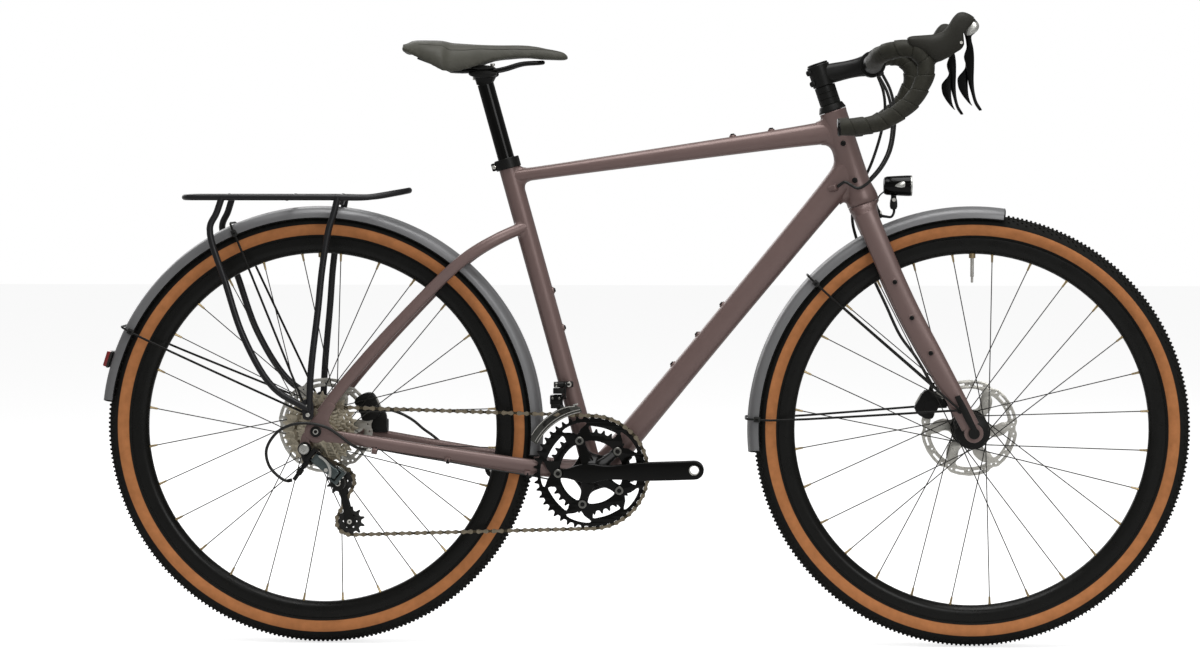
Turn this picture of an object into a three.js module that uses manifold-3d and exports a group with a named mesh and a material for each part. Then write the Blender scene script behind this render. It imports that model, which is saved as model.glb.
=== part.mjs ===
// Touring bicycle: aluminium frame, 47 mm tyres on 622 mm rims, disc brakes, mudguards and a rear rack.
// Millimetres. X points forward from the rear axle, Y to the left, Z up from the ground.
import * as THREE from "three";
import { mergeVertices } from "three/addons/utils/BufferGeometryUtils.js";
import Module from "manifold-3d";

const wasm = await Module();
wasm.setup();

// Wheels
const rimOuterRadius = 317;
const rimDepth = 27;
const rimInnerRadius = rimOuterRadius - rimDepth;
const tyreHeight = 41;
const tyreRadius = rimOuterRadius + tyreHeight;
const tyreWidth = 47;
const rimWidth = 26;
const spokeCount = 28;
const wheelSegments = 32;
const rearHubWidth = 142;
const frontHubWidth = 100;
const axleRadius = 6;
const rotorRadius = 80;
const rotorOffset = 42;
const rotorThickness = 1.8;

// Frame
const headAngle = 71.5;
const seatAngle = 74.5;
const forkRake = 51;
const crownAboveTyre = 35;
const forkLength = tyreRadius + crownAboveTyre;
const headTubeLength = 160;
const headTopRadius = 22;
const headBottomRadius = 26.5;
const steererRadius = 14.3;
const bracketAheadOfTyre = 92;
const bottomBracketForward = tyreRadius + bracketAheadOfTyre;
const bracketDrop = 68;
const bottomBracketHeight = tyreRadius - bracketDrop;
const frontTyreAheadOfBracket = 266;
const wheelBase = bottomBracketForward + frontTyreAheadOfBracket + tyreRadius;
const shellWidth = 68;
const shellRadius = 23;
const spindleRadius = 12;
const seatTubeLength = 533;
const seatTubeRadius = 16.5;
const seatpostRadius = 13.6;
const saddleHeight = 672;
const topTubeBelowSeatTop = 30;
const topTubeOnSeat = seatTubeLength - topTubeBelowSeatTop;
const seatstayBelowSeatTop = 115;
const topTubeBelowHead = 34;
const downTubeBelowHead = 98;
const downTubeBelowBracket = 12;

// Cockpit
const stemLength = 85;
const stemDrop = 9.5;
const stemClampHalf = 18;
const stemAboveHead = 61.5;
const steererBelowStem = 2;
const stemHeight = forkLength + headTubeLength + stemAboveHead;
const barHalfWidth = 212;
const barReach = 76;
const barDrop = 125;
const barRadius = 12;
const barClampRadius = 15.9;

// Drive train
const chainPitch = 12.7;
const easyCageAngle = -76;
const chainLine = 45.25;
const outerRingTeeth = 46;
const innerRingTeeth = 33;
const ringSpacing = 7;
const cassetteTeeth = [12, 13, 14, 15, 17, 19, 21, 24, 27, 30];
const sprocketInUse = 5;
const sprocketPitch = 3.95;
const pulleyTeeth = 11;
const pulleySpacing = 68.6;
const guidePulleyForward = 36.6;
const guidePulleyDrop = 84.1;
const guidePulleyHeight = tyreRadius - guidePulleyDrop;
const boltCircleRadius = 55;
const crankLength = 170;
const crankTilt = 2.6;

// Mudguards
const guardClearance = 10.5;
const guardRadius = tyreRadius + guardClearance;
const guardDepth = 20;
const guardWidth = 57;
const guardThickness = 2;
const frontGuardStart = 81.8;
const frontGuardEnd = 185.6;
const rearGuardStart = -7;
const rearGuardEnd = 172.7;

// Clearances
const gap = 0.3;
const runningGap = 0.4;
const facetGap = 1;
const overrun = 5;

const degree = Math.PI / 180;
const weld = 1e-4;
const half = 0.5;

// Frames of reference
const rearAxle = new THREE.Vector3(0, 0, tyreRadius);
const frontAxle = new THREE.Vector3(wheelBase, 0, tyreRadius);
const bracket = new THREE.Vector3(bottomBracketForward, 0, bottomBracketHeight);
const across = new THREE.Vector3(0, 1, 0);
const steeringFoot = new THREE.Vector3(wheelBase - forkRake / Math.sin(headAngle * degree), 0, tyreRadius);
const steeringTurn = (headAngle - 90) * degree;
const steeringMatrix = new THREE.Matrix4()
  .makeRotationY(steeringTurn)
  .setPosition(steeringFoot);
const steeringForward = new THREE.Vector3(1, 0, 0).applyAxisAngle(across, steeringTurn);
const seatUp = new THREE.Vector3(-Math.cos(seatAngle * degree), 0, Math.sin(seatAngle * degree));
const headBottom = forkLength;
const headTop = forkLength + headTubeLength;
const frontAxleDown = -forkRake / Math.tan(headAngle * degree);

function point(x, y, z) {
  return new THREE.Vector3(x, y, z);
}

// A place given forward of, left of and along the steering axis, in the bicycle's frame.
function onSteering(forward, left, up) {
  return point(forward, left, up).applyMatrix4(steeringMatrix);
}

function onSeatTube(distance) {
  return bracket.clone().addScaledVector(seatUp, distance);
}

function mirrored(points) {
  return points.map((p) => point(p.x, -p.y, p.z));
}

// Solids
function stripped(geometry) {
  const bare = new THREE.BufferGeometry();
  bare.setAttribute("position", geometry.getAttribute("position").clone());
  if (geometry.index) {
    bare.setIndex(geometry.index.clone());
  }
  return mergeVertices(bare, weld);
}

function outward(geometry) {
  const merged = stripped(geometry);
  const spots = merged.getAttribute("position");
  const corner = [point(0, 0, 0), point(0, 0, 0), point(0, 0, 0)];
  const kept = [];
  let volume = 0;
  for (let i = 0; i < merged.index.count; i += 3) {
    const [a, b, c] = [merged.index.getX(i), merged.index.getX(i + 1), merged.index.getX(i + 2)];
    if (a === b || b === c || a === c) {
      continue;
    }
    corner[0].fromBufferAttribute(spots, a);
    corner[1].fromBufferAttribute(spots, b);
    corner[2].fromBufferAttribute(spots, c);
    volume += corner[0].dot(corner[1].clone().cross(corner[2]));
    kept.push(a, b, c);
  }
  if (volume < 0) {
    kept.reverse();
  }
  merged.setIndex(kept);
  return merged;
}

function solidOf(geometry) {
  const merged = outward(geometry);
  const vertProperties = new Float32Array(merged.getAttribute("position").array);
  const triVerts = new Uint32Array(merged.index.array);
  return new wasm.Manifold(new wasm.Mesh({ numProp: 3, vertProperties, triVerts }));
}

function geometryOf(solid) {
  const mesh = solid.getMesh();
  const geometry = new THREE.BufferGeometry();
  geometry.setAttribute("position", new THREE.BufferAttribute(new Float32Array(mesh.vertProperties), 3));
  geometry.setIndex(Array.from(mesh.triVerts));
  return geometry;
}

function join(...pieces) {
  const [first, ...others] = pieces.map(solidOf);
  return geometryOf(others.reduce((whole, next) => whole.add(next), first));
}

function cut(body, ...tools) {
  return geometryOf(tools.map(solidOf).reduce((rest, tool) => rest.subtract(tool), solidOf(body)));
}

function common(body, tool) {
  return geometryOf(solidOf(body).intersect(solidOf(tool)));
}

function moved(geometry, x, y, z) {
  return geometry.clone().translate(x, y, z);
}

function turned(geometry, axis, angle, centre) {
  const turn = new THREE.Matrix4().makeTranslation(centre.x, centre.y, centre.z);
  turn.multiply(new THREE.Matrix4().makeRotationAxis(axis, angle));
  turn.multiply(new THREE.Matrix4().makeTranslation(-centre.x, -centre.y, -centre.z));
  return geometry.clone().applyMatrix4(turn);
}

// Puts a shape made along Y so that it starts at a place and points along a direction.
function aimed(geometry, from, direction) {
  const turn = new THREE.Quaternion().setFromUnitVectors(across, direction.clone().normalize());
  return geometry.clone().applyQuaternion(turn).translate(from.x, from.y, from.z);
}

function rod(from, to, radius, sides, endRadius = radius) {
  const along = to.clone().sub(from);
  const length = along.length();
  const shape = new THREE.CylinderGeometry(endRadius, radius, length, sides);
  return aimed(shape.translate(0, length * half, 0), from, along);
}

function block(centre, sizeX, sizeY, sizeZ) {
  return new THREE.BoxGeometry(sizeX, sizeY, sizeZ).translate(centre.x, centre.y, centre.z);
}

// A ring or a shaft from a profile of [radius, place along Y] that closes on itself or on the axis.
function revolve(profile, segments) {
  const points = profile.map(([radius, along]) => new THREE.Vector2(radius, along));
  const [first, last] = [points[0], points[points.length - 1]];
  if (first.x > 0 || last.x > 0) {
    points.push(first.clone());
  }
  return outward(new THREE.LatheGeometry(points, segments));
}

function disc(radius, from, to, segments) {
  return revolve([[0, from], [radius, from], [radius, to], [0, to]], segments);
}

function hoop(innerRadius, outerRadius, from, to, segments) {
  return revolve([[innerRadius, from], [outerRadius, from], [outerRadius, to], [innerRadius, to]], segments);
}

const uprightMatrix = new THREE.Matrix4().makeBasis(point(1, 0, 0), point(0, 0, 1), point(0, -1, 0));

// A plate whose outline is drawn in the side view and whose thickness runs along Y.
function sidePlate(outline, fromY, toY, holes = [], bevel = 0) {
  const shape = new THREE.Shape(outline.map(([x, z]) => new THREE.Vector2(x, z)));
  for (const hole of holes) {
    shape.holes.push(new THREE.Path(hole.map(([x, z]) => new THREE.Vector2(x, z))));
  }
  const extrusion = new THREE.ExtrudeGeometry(shape, {
    depth: toY - fromY - 2 * bevel,
    bevelEnabled: bevel > 0,
    bevelSize: bevel,
    bevelThickness: bevel,
    bevelOffset: -bevel,
    bevelSegments: 1,
    curveSegments: 1,
  });
  return extrusion.applyMatrix4(uprightMatrix).translate(0, toY - bevel, 0);
}

// The same kind of plate pushed out all round, for cutting room for another piece.
function grownPlate(outline, fromY, toY, extra) {
  const shape = new THREE.Shape(outline.map(([x, z]) => new THREE.Vector2(x, z)));
  const extrusion = new THREE.ExtrudeGeometry(shape, {
    depth: toY - fromY,
    bevelEnabled: true,
    bevelSize: extra,
    bevelThickness: extra,
    bevelSegments: 1,
    curveSegments: 1,
  });
  return extrusion.applyMatrix4(uprightMatrix).translate(0, toY, 0);
}

function circle(centreX, centreZ, radius, count, phase = 0) {
  const around = (i) => phase + (2 * Math.PI * i) / count;
  return Array.from({ length: count }, (_, i) => [
    centreX + radius * Math.cos(around(i)),
    centreZ + radius * Math.sin(around(i)),
  ]);
}

// Joins closed rings of points into one skin with flat ends.
function loft(rings) {
  const count = rings[0].length;
  const places = rings.flat().flatMap((p) => [p.x, p.y, p.z]);
  const faces = [];
  for (let r = 0; r + 1 < rings.length; r++) {
    for (let i = 0; i < count; i++) {
      const [a, b] = [r * count + i, r * count + ((i + 1) % count)];
      faces.push(a, b, b + count, a, b + count, a + count);
    }
  }
  const cap = capFaces(rings[0]);
  const lastStart = (rings.length - 1) * count;
  for (const [a, b, c] of cap) {
    faces.push(c, b, a);
  }
  for (const [a, b, c] of cap) {
    faces.push(lastStart + a, lastStart + b, lastStart + c);
  }
  const geometry = new THREE.BufferGeometry();
  geometry.setAttribute("position", new THREE.Float32BufferAttribute(places, 3));
  geometry.setIndex(faces);
  return outward(geometry);
}

function capFaces(ring) {
  const normal = point(0, 0, 0);
  for (let i = 0; i < ring.length; i++) {
    normal.add(ring[i].clone().cross(ring[(i + 1) % ring.length]));
  }
  normal.normalize();
  const right = ring[1].clone().sub(ring[0]).cross(normal).normalize();
  const up = normal.clone().cross(right);
  const flat = ring.map((p) => new THREE.Vector2(p.dot(right), p.dot(up)));
  return THREE.ShapeUtils.triangulateShape(flat, []);
}

// A tube through stations of { at, wide, high }: wide is across the bicycle, high is in the side view.
function tube(stations, sides) {
  const rings = stations.map((station, i) => {
    const before = stations[Math.max(i - 1, 0)].at;
    const after = stations[Math.min(i + 1, stations.length - 1)].at;
    const along = after.clone().sub(before).normalize();
    const left = across.clone().addScaledVector(along, -along.y).normalize();
    const up = along.clone().cross(left);
    return Array.from({ length: sides }, (_, k) => {
      const turn = (2 * Math.PI * (k + half)) / sides;
      return station.at
        .clone()
        .addScaledVector(left, station.wide * Math.cos(turn))
        .addScaledVector(up, station.high * Math.sin(turn));
    });
  });
  return loft(rings);
}

function smoothPath(points) {
  return new THREE.CatmullRomCurve3(points, false, "centripetal");
}

function bentTube(points, radius, sides, steps) {
  const section = new THREE.Shape(circle(0, 0, radius, sides).map(([x, y]) => new THREE.Vector2(x, y)));
  const extrudePath = smoothPath(points);
  return outward(new THREE.ExtrudeGeometry(section, { steps, extrudePath, bevelEnabled: false }));
}

// A round wire with a corner at every point given.
function wire(points, radius, sides) {
  const start = points[1].clone().sub(points[0]);
  let normal = point(-start.z, start.x, start.y).cross(start).normalize();
  const rings = points.map((place, i) => {
    const into = place.clone().sub(points[Math.max(i - 1, 0)]).normalize();
    const out = points[Math.min(i + 1, points.length - 1)].clone().sub(place).normalize();
    const along = into.add(out).normalize();
    normal = normal.clone().addScaledVector(along, -normal.dot(along)).normalize();
    const side = along.clone().cross(normal);
    return Array.from({ length: sides }, (_, k) => {
      const turn = (2 * Math.PI * k) / sides;
      return place
        .clone()
        .addScaledVector(normal, radius * Math.cos(turn))
        .addScaledVector(side, radius * Math.sin(turn));
    });
  });
  return loft(rings);
}

// Materials
function finish(color, roughness, metalness) {
  return new THREE.MeshStandardMaterial({ color, roughness, metalness });
}

const paint = finish("#7d696c", 0.45, 0.3);
const satinBlack = finish("#1c1c1c", 0.5, 0.3);
const glossBlack = finish("#121212", 0.2, 0.3);
const blackRubber = finish("#262622", 0.85, 0);
const tyreRubber = finish("#232321", 0.9, 0);
const guardGrey = finish("#5c5c5e", 0.5, 0.2);
const silver = finish("#b9b4a8", 0.35, 0.9);
const darkSteel = finish("#7b756c", 0.4, 0.9);
const discSteel = finish("#8d8d8d", 0.35, 0.95);
const redLens = finish("#7a1512", 0.2, 0);
const clearLens = finish("#d8dde0", 0.05, 0);
const gripTape = finish("#2d2c26", 0.8, 0);

const bicycle = new THREE.Group();

function add(name, geometry, material) {
  const mesh = new THREE.Mesh(outward(geometry), material);
  mesh.name = name;
  bicycle.add(mesh);
  return mesh;
}

// Frame
const dropout = {
  thickness: 7,
  radius: 19,
  eyeletRadius: 7,
  eyeletBack: -12,
  eyeletUp: 28,
  hangerBack: -18.2,
  hangerDown: -28.1,
  hangerRadius: 10,
};
const dropoutInner = rearHubWidth * half + gap;
const dropoutOuter = dropoutInner + dropout.thickness;

const chainstay = {
  sides: 8,
  // Forward share of the bottom bracket's place, distance from the middle, half width and half height.
  places: [
    { forward: 0.03, side: 74, wide: 4.5, high: 9, drop: 3 },
    { forward: 0.22, side: 60, wide: 8, high: 10.5, drop: 5 },
    { forward: 0.44, side: 49, wide: 8.5, high: 11.5, drop: 7 },
    { forward: 0.64, side: 39.5, wide: 8.5, high: 12.5, drop: 8 },
    { forward: 0.78, side: 33.5, wide: 8, high: 13, drop: 8 },
    { forward: 0.86, side: 28, wide: 8, high: 13.5, drop: 7 },
    { forward: 0.96, side: 22, wide: 9, high: 13.5, drop: 3 },
  ],
};

function chainstayTube(side, extra) {
  const stations = chainstay.places.map((place) => ({
    at: rearAxle
      .clone()
      .lerp(bracket, place.forward)
      .add(point(0, side * place.side, -place.drop)),
    wide: place.wide + extra,
    high: place.high + extra,
  }));
  return tube(stations, chainstay.sides);
}

const seatstay = {
  sides: 8,
  wide: 7,
  high: 9.5,
  // Places behind the seat tube's foot, as shares of the way from the rear axle to the junction.
  places: [
    { forward: 0.025, up: 0.085, side: 74, wide: 4.4 },
    { forward: 0.15, up: 0.25, side: 69, wide: 6 },
    { forward: 0.37, up: 0.5, side: 60, wide: 7 },
    { forward: 0.71, up: 0.84, side: 43, wide: 7 },
    { forward: 0.86, up: 0.935, side: 31, wide: 8 },
    { forward: 1, up: 1, side: 9, wide: 8 },
  ],
};

function seatstayPlace(place, side) {
  const top = onSeatTube(seatTubeLength - seatstayBelowSeatTop);
  return point(place.forward * top.x, side * place.side, tyreRadius + place.up * (top.z - tyreRadius));
}

function seatstayTube(side) {
  const stations = seatstay.places.map((place) => ({
    at: seatstayPlace(place, side),
    wide: place.wide,
    high: seatstay.high,
  }));
  return tube(stations, seatstay.sides);
}

function dropoutPlate(side) {
  const outline = [];
  const start = 200;
  const steps = 6;
  const sweep = 215;
  for (let i = 0; i <= steps; i++) {
    const angle = (start - (sweep * i) / steps) * degree;
    outline.push([dropout.radius * Math.cos(angle), tyreRadius - dropout.radius * Math.sin(angle)]);
  }
  const spread = 2.2;
  outline.push([dropout.radius * spread, tyreRadius - dropout.radius * half]);
  outline.push([dropout.radius * spread, tyreRadius + dropout.radius * half]);
  outline.push([dropout.radius * half, tyreRadius + dropout.radius * spread]);
  outline.push([-dropout.radius * half, tyreRadius + dropout.radius * spread * 0.8]);
  const [low, high] = side > 0 ? [dropoutInner, dropoutOuter] : [-dropoutOuter, -dropoutInner];
  const eyelet = sidePlate(
    circle(dropout.eyeletBack, tyreRadius + dropout.eyeletUp, dropout.eyeletRadius, 8),
    low,
    high,
  );
  return join(sidePlate(outline, low, high), eyelet);
}

function hangerOutline() {
  return [
    [dropout.radius * 0.6, tyreRadius - dropout.radius * 0.7],
    [-dropout.radius * 0.9, tyreRadius],
    [dropout.hangerBack - dropout.hangerRadius, tyreRadius + dropout.hangerDown],
    [dropout.hangerBack - dropout.hangerRadius * half, tyreRadius + dropout.hangerDown - dropout.hangerRadius],
    [dropout.hangerBack + dropout.hangerRadius * half, tyreRadius + dropout.hangerDown - dropout.hangerRadius],
    [dropout.hangerBack + dropout.hangerRadius * 1.1, tyreRadius + dropout.hangerDown],
  ];
}

function hangerPlate() {
  return sidePlate(hangerOutline(), -dropoutOuter, -dropoutInner);
}

const topTube = { seatHigh: 11, headHigh: 18, seatWide: 15, headWide: 17, sides: 8 };
const downTube = { bracketHigh: 23, middleHigh: 21, headHigh: 24, bracketWide: 24, headWide: 20, sides: 8 };
const bridge = { radius: 6, seatSide: 41, chainSide: 36 };
const boss = { radius: 5.5, height: 1.2, spacing: 64, sides: 5 };
const bearingSeat = 12;
const seatBoreDepth = 240;

function topTubeLine() {
  return [onSeatTube(topTubeOnSeat), onSteering(0, 0, headTop - topTubeBelowHead)];
}

function downTubeLine() {
  const top = onSteering(0, 0, headTop - downTubeBelowHead);
  const along = top.clone().sub(bracket).normalize();
  const below = point(along.z, 0, -along.x).multiplyScalar(downTubeBelowBracket);
  return [bracket.clone().add(below), top];
}

function topTubeSolid() {
  const [seatEnd, headEnd] = topTubeLine();
  return tube(
    [
      { at: seatEnd, wide: topTube.seatWide, high: topTube.seatHigh },
      { at: headEnd, wide: topTube.headWide, high: topTube.headHigh },
    ],
    topTube.sides,
  );
}

function downTubeSolid() {
  const [low, high] = downTubeLine();
  return tube(
    [
      { at: low, wide: downTube.bracketWide, high: downTube.bracketHigh },
      { at: low.clone().lerp(high, half), wide: downTube.headWide, high: downTube.middleHigh },
      { at: high, wide: downTube.headWide, high: downTube.headHigh },
    ],
    downTube.sides,
  );
}

function headTubeSolid() {
  const rise = headTubeLength;
  const flare = 22;
  const profile = [
    [0, 0],
    [headBottomRadius, 0],
    [headBottomRadius, flare * half],
    [headTopRadius, flare * 1.5],
    [headTopRadius, rise],
    [0, rise],
  ];
  return aimed(revolve(profile, 12), onSteering(0, 0, headBottom), onSteering(0, 0, 1).sub(steeringFoot));
}

function headTubeBore() {
  const rise = headTubeLength;
  const wide = steererRadius + 3;
  const narrow = steererRadius + facetGap;
  const profile = [
    [0, -overrun],
    [narrow, -overrun],
    [narrow, bearingSeat],
    [wide, bearingSeat],
    [wide, rise - bearingSeat],
    [narrow, rise - bearingSeat],
    [narrow, rise + overrun],
    [0, rise + overrun],
  ];
  return aimed(revolve(profile, 12), onSteering(0, 0, headBottom), onSteering(0, 0, 1).sub(steeringFoot));
}

// A small threaded boss that stands out of a tube's skin.
function bossAt(place, normal, buried) {
  const from = place.clone().addScaledVector(normal, -buried);
  return rod(from, place.clone().addScaledVector(normal, boss.height), boss.radius, boss.sides);
}

function frameBosses() {
  const [low, high] = downTubeLine();
  const along = high.clone().sub(low).normalize();
  const above = point(-along.z, 0, along.x);
  const forward = point(seatUp.z, 0, -seatUp.x);
  const [seatEnd, headEnd] = topTubeLine();
  const topAlong = headEnd.clone().sub(seatEnd).normalize();
  const topAbove = point(-topAlong.z, 0, topAlong.x);
  const topLength = headEnd.distanceTo(seatEnd);
  const downLength = high.distanceTo(low);
  const bosses = [];
  const seatFirstShare = 0.45;
  for (let i = 0; i < 2; i++) {
    const place = onSeatTube(seatFirstShare * seatTubeLength + i * boss.spacing);
    bosses.push(bossAt(place.addScaledVector(forward, seatTubeRadius), forward, seatTubeRadius * half));
  }
  const downFirstShare = 0.335;
  for (let i = 0; i < 3; i++) {
    const place = low.clone().addScaledVector(along, downFirstShare * downLength + i * boss.spacing);
    bosses.push(bossAt(place.addScaledVector(above, downTube.middleHigh), above, downTube.middleHigh * half));
  }
  const topFirstShare = 0.68;
  for (let i = 0; i < 2; i++) {
    const place = seatEnd.clone().addScaledVector(topAlong, topFirstShare * topLength + i * boss.spacing);
    bosses.push(bossAt(place.addScaledVector(topAbove, topTube.headHigh), topAbove, topTube.headHigh));
  }
  return bosses;
}

const port = { share: 0.912, rise: 9.1, length: 13, radius: 5.5, out: 3 };

// The oval mouth in the side of the down tube where a housing goes in.
function portPlace(side) {
  const [low, high] = downTubeLine();
  return low.lerp(high, port.share).add(point(0, side * (downTube.headWide - port.out), port.rise));
}

function portEnd(side) {
  const outward = point(0, 3 * side * port.out, 0);
  return portPlace(side).addScaledVector(steeringForward, port.length).add(outward);
}

function cablePort(side) {
  return rod(portPlace(side), portEnd(side), port.radius * 0.8, 8, port.radius);
}

const cableStop = { forwardShare: 0.2, radius: 5, length: 9, side: 64, below: 6 };

function chainstayStopFace() {
  const place = rearAxle.clone().lerp(bracket, cableStop.forwardShare);
  const lowest = chainstay.places[1];
  return place.add(point(0, -cableStop.side, -lowest.drop - lowest.high - cableStop.below * half));
}

function chainstayStop() {
  const along = bracket.clone().sub(rearAxle).normalize();
  const place = chainstayStopFace();
  return rod(place, place.clone().addScaledVector(along, cableStop.length), cableStop.radius, 8);
}

const bridgeReach = guardRadius + runningGap + bridge.radius;

// A short tube between two stays, just clear of the mudguard.
function guardBridge(angle, side) {
  const place = rearAxle.clone().add(
    point(bridgeReach * Math.cos(angle), 0, bridgeReach * Math.sin(angle)),
  );
  return rod(place.clone().add(point(0, -side, 0)), place.clone().add(point(0, side, 0)), bridge.radius, 8);
}

// The angle at which the seatstays pass over the mudguard.
function seatBridgeAngle() {
  const spots = seatstay.places.map((place) => seatstayPlace(place, 0).sub(rearAxle));
  const next = spots.findIndex((spot) => spot.length() > bridgeReach);
  const [inner, outer] = [spots[next - 1], spots[next]];
  const share = (bridgeReach - inner.length()) / (outer.length() - inner.length());
  const spot = inner.clone().lerp(outer, share);
  return Math.atan2(spot.z, spot.x);
}

const chainBridgeAngle = -8.5 * degree;

function mainFrame() {
  const seatTube = rod(bracket, onSeatTube(seatTubeLength), seatTubeRadius, 12);
  const shell = moved(disc(shellRadius, -shellWidth * half, shellWidth * half, 14), bracket.x, 0, bracket.z);
  let frame = join(
    headTubeSolid(),
    topTubeSolid(),
    downTubeSolid(),
    seatTube,
    shell,
    chainstayTube(1, 0),
    chainstayTube(-1, 0),
    seatstayTube(1),
    seatstayTube(-1),
    dropoutPlate(1),
    dropoutPlate(-1),
    hangerPlate(),
    guardBridge(seatBridgeAngle(), bridge.seatSide),
    guardBridge(chainBridgeAngle, bridge.chainSide),
    cablePort(1),
    cablePort(-1),
    chainstayStop(),
    ...frameBosses(),
  );
  const spindleBore = moved(
    disc(spindleRadius + facetGap, -shellWidth, shellWidth, 12),
    bracket.x,
    0,
    bracket.z,
  );
  const postBore = rod(
    onSeatTube(seatTubeLength - seatBoreDepth),
    onSeatTube(seatTubeLength + overrun),
    seatpostRadius + gap,
    12,
  );
  const axleBore = moved(disc(axleRadius + gap, -rearHubWidth, rearHubWidth, 12), 0, 0, tyreRadius);
  frame = cut(frame, headTubeBore(), spindleBore, postBore, axleBore);
  return frame;
}

add("main_frame", mainFrame(), paint);

// Seat clamp
const seatClamp = { height: 17, wall: 4, slot: 3, boltRadius: 3, boltBack: 6, below: 1 };

function seatClampRing() {
  const inner = seatTubeRadius + gap;
  const outer = inner + seatClamp.wall;
  const ring = hoop(inner, outer, 0, seatClamp.height, 12);
  const place = onSeatTube(seatTubeLength - seatClamp.height + seatClamp.below);
  const backward = point(-seatUp.z, 0, seatUp.x);
  const body = aimed(ring, place, seatUp);
  const lugAt = place
    .clone()
    .addScaledVector(seatUp, seatClamp.height * half)
    .addScaledVector(backward, outer + seatClamp.boltBack * half);
  const lugs = rod(
    lugAt.clone().add(point(0, -outer * half, 0)),
    lugAt.clone().add(point(0, outer * half, 0)),
    seatClamp.height * 0.4,
    8,
  );
  const bore = rod(
    place.clone().addScaledVector(seatUp, -seatClamp.height),
    place.clone().addScaledVector(seatUp, seatClamp.height * 2),
    inner,
    12,
  );
  return cut(join(body, lugs), bore);
}

add("seat_clamp", seatClampRing(), satinBlack);

// Wheels
function tyre() {
  const bead = rimWidth * half - 3.6;
  const wall = tyreWidth * half;
  const skin = 3.5;
  const profile = [
    [rimOuterRadius - 7, -bead],
    [rimOuterRadius + 1, -bead - 3.5],
    [rimOuterRadius + 14, -wall],
    [tyreRadius - 8, -wall * 0.72],
    [tyreRadius, 0],
    [tyreRadius - 8, wall * 0.72],
    [rimOuterRadius + 14, wall],
    [rimOuterRadius + 1, bead + 3.5],
    [rimOuterRadius - 7, bead],
    [rimOuterRadius + 14, bead + skin],
    [rimOuterRadius + 14, -bead - skin],
  ];
  return revolve(profile, wheelSegments);
}

function rim() {
  const side = rimWidth * half;
  const flange = 2.8;
  const profile = [
    [rimInnerRadius, -side * 0.4],
    [rimInnerRadius, side * 0.4],
    [rimInnerRadius + 9, side],
    [rimOuterRadius, side],
    [rimOuterRadius - 9, side - flange - 1.4],
    [rimOuterRadius - 9, -side + flange + 1.4],
    [rimOuterRadius, -side],
    [rimInnerRadius + 9, -side],
  ];
  const valveLength = 46;
  const valveRadius = 3;
  const valve = rod(
    point(0, 0, rimInnerRadius + 4),
    point(0, 0, rimInnerRadius + 4 - valveLength),
    valveRadius,
    5,
    valveRadius * 0.8,
  );
  return join(revolve(profile, wheelSegments), valve);
}

const spoke = { radius: 1.2, sides: 3, hubRadius: 26, lean: 1.6, crossing: 77.1, rimSide: 2 };

function spokes(rightFlange, leftFlange) {
  const pieces = [];
  const step = 360 / spokeCount;
  for (let i = 0; i < spokeCount; i++) {
    const rimAngle = (i + half) * step;
    const onRight = i % 2 === 0;
    const turn = Math.floor(i / 2) % 2 === 0 ? 1 : -1;
    const hubAngle = rimAngle + turn * spoke.crossing;
    const flange = onRight ? rightFlange : leftFlange;
    const end = rimInnerRadius * Math.cos(Math.PI / wheelSegments) - 2 * gap;
    const from = point(
      spoke.hubRadius * Math.cos(hubAngle * degree),
      flange + turn * spoke.lean,
      spoke.hubRadius * Math.sin(hubAngle * degree),
    );
    const angle = rimAngle * degree;
    const to = point(end * Math.cos(angle), onRight ? -spoke.rimSide : spoke.rimSide, end * Math.sin(angle));
    pieces.push(rod(from, to, spoke.radius, spoke.sides));
  }
  return pieces;
}

const hub = {
  flangeRadius: 29,
  flangeHalf: 3,
  shellRadius: 14,
  splineRadius: 17,
  capRadius: 10,
  segments: 10,
};

function hubShell(rightEnd, rightFlange, leftFlange, leftEnd) {
  const bore = axleRadius + runningGap;
  const profile = [
    [bore, rightEnd],
    [hub.capRadius, rightEnd],
    [hub.capRadius, rightFlange - hub.flangeHalf * 1.5],
    [hub.flangeRadius, rightFlange - hub.flangeHalf],
    [hub.flangeRadius, rightFlange + hub.flangeHalf],
    [hub.shellRadius, rightFlange + hub.flangeHalf * 2],
    [hub.shellRadius, leftFlange - hub.flangeHalf * 2],
    [hub.flangeRadius, leftFlange - hub.flangeHalf],
    [hub.flangeRadius, leftFlange + hub.flangeHalf],
    [hub.splineRadius, leftFlange + hub.flangeHalf * 1.5],
    [hub.splineRadius, rotorOffset + rotorThickness * 2],
    [hub.capRadius, rotorOffset + rotorThickness * 2],
    [hub.capRadius, leftEnd],
    [bore, leftEnd],
  ];
  const shell = revolve(profile, hub.segments);
  return join(shell, ...spokes(rightFlange, leftFlange));
}

function rotor() {
  const outline = circle(0, 0, rotorRadius, 24);
  const bandInner = rotorRadius - 15;
  const centreRadius = hub.splineRadius + 9;
  const holes = [circle(0, 0, hub.splineRadius + 1, 12)];
  const arms = 5;
  const armHalf = 4;
  for (let i = 0; i < arms; i++) {
    const start = (2 * Math.PI * i) / arms;
    const end = (2 * Math.PI * (i + 1)) / arms;
    const at = (radius, angle) => [radius * Math.cos(angle), radius * Math.sin(angle)];
    holes.push([
      at(centreRadius, start + armHalf / centreRadius),
      at(bandInner, start + armHalf / bandInner),
      at(bandInner, (start + end) * half),
      at(bandInner, end - armHalf / bandInner),
      at(centreRadius, end - armHalf / centreRadius),
    ]);
  }
  return sidePlate(outline, rotorOffset - rotorThickness * half, rotorOffset + rotorThickness * half, holes);
}

const rearFlanges = [-21, 31];
const frontFlanges = [-34, 27];
const cassetteInner = chainLine - (cassetteTeeth.length - 1 - sprocketInUse) * sprocketPitch;

function onAxle(geometry, axle) {
  return moved(geometry, axle.x, 0, axle.z);
}

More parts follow.
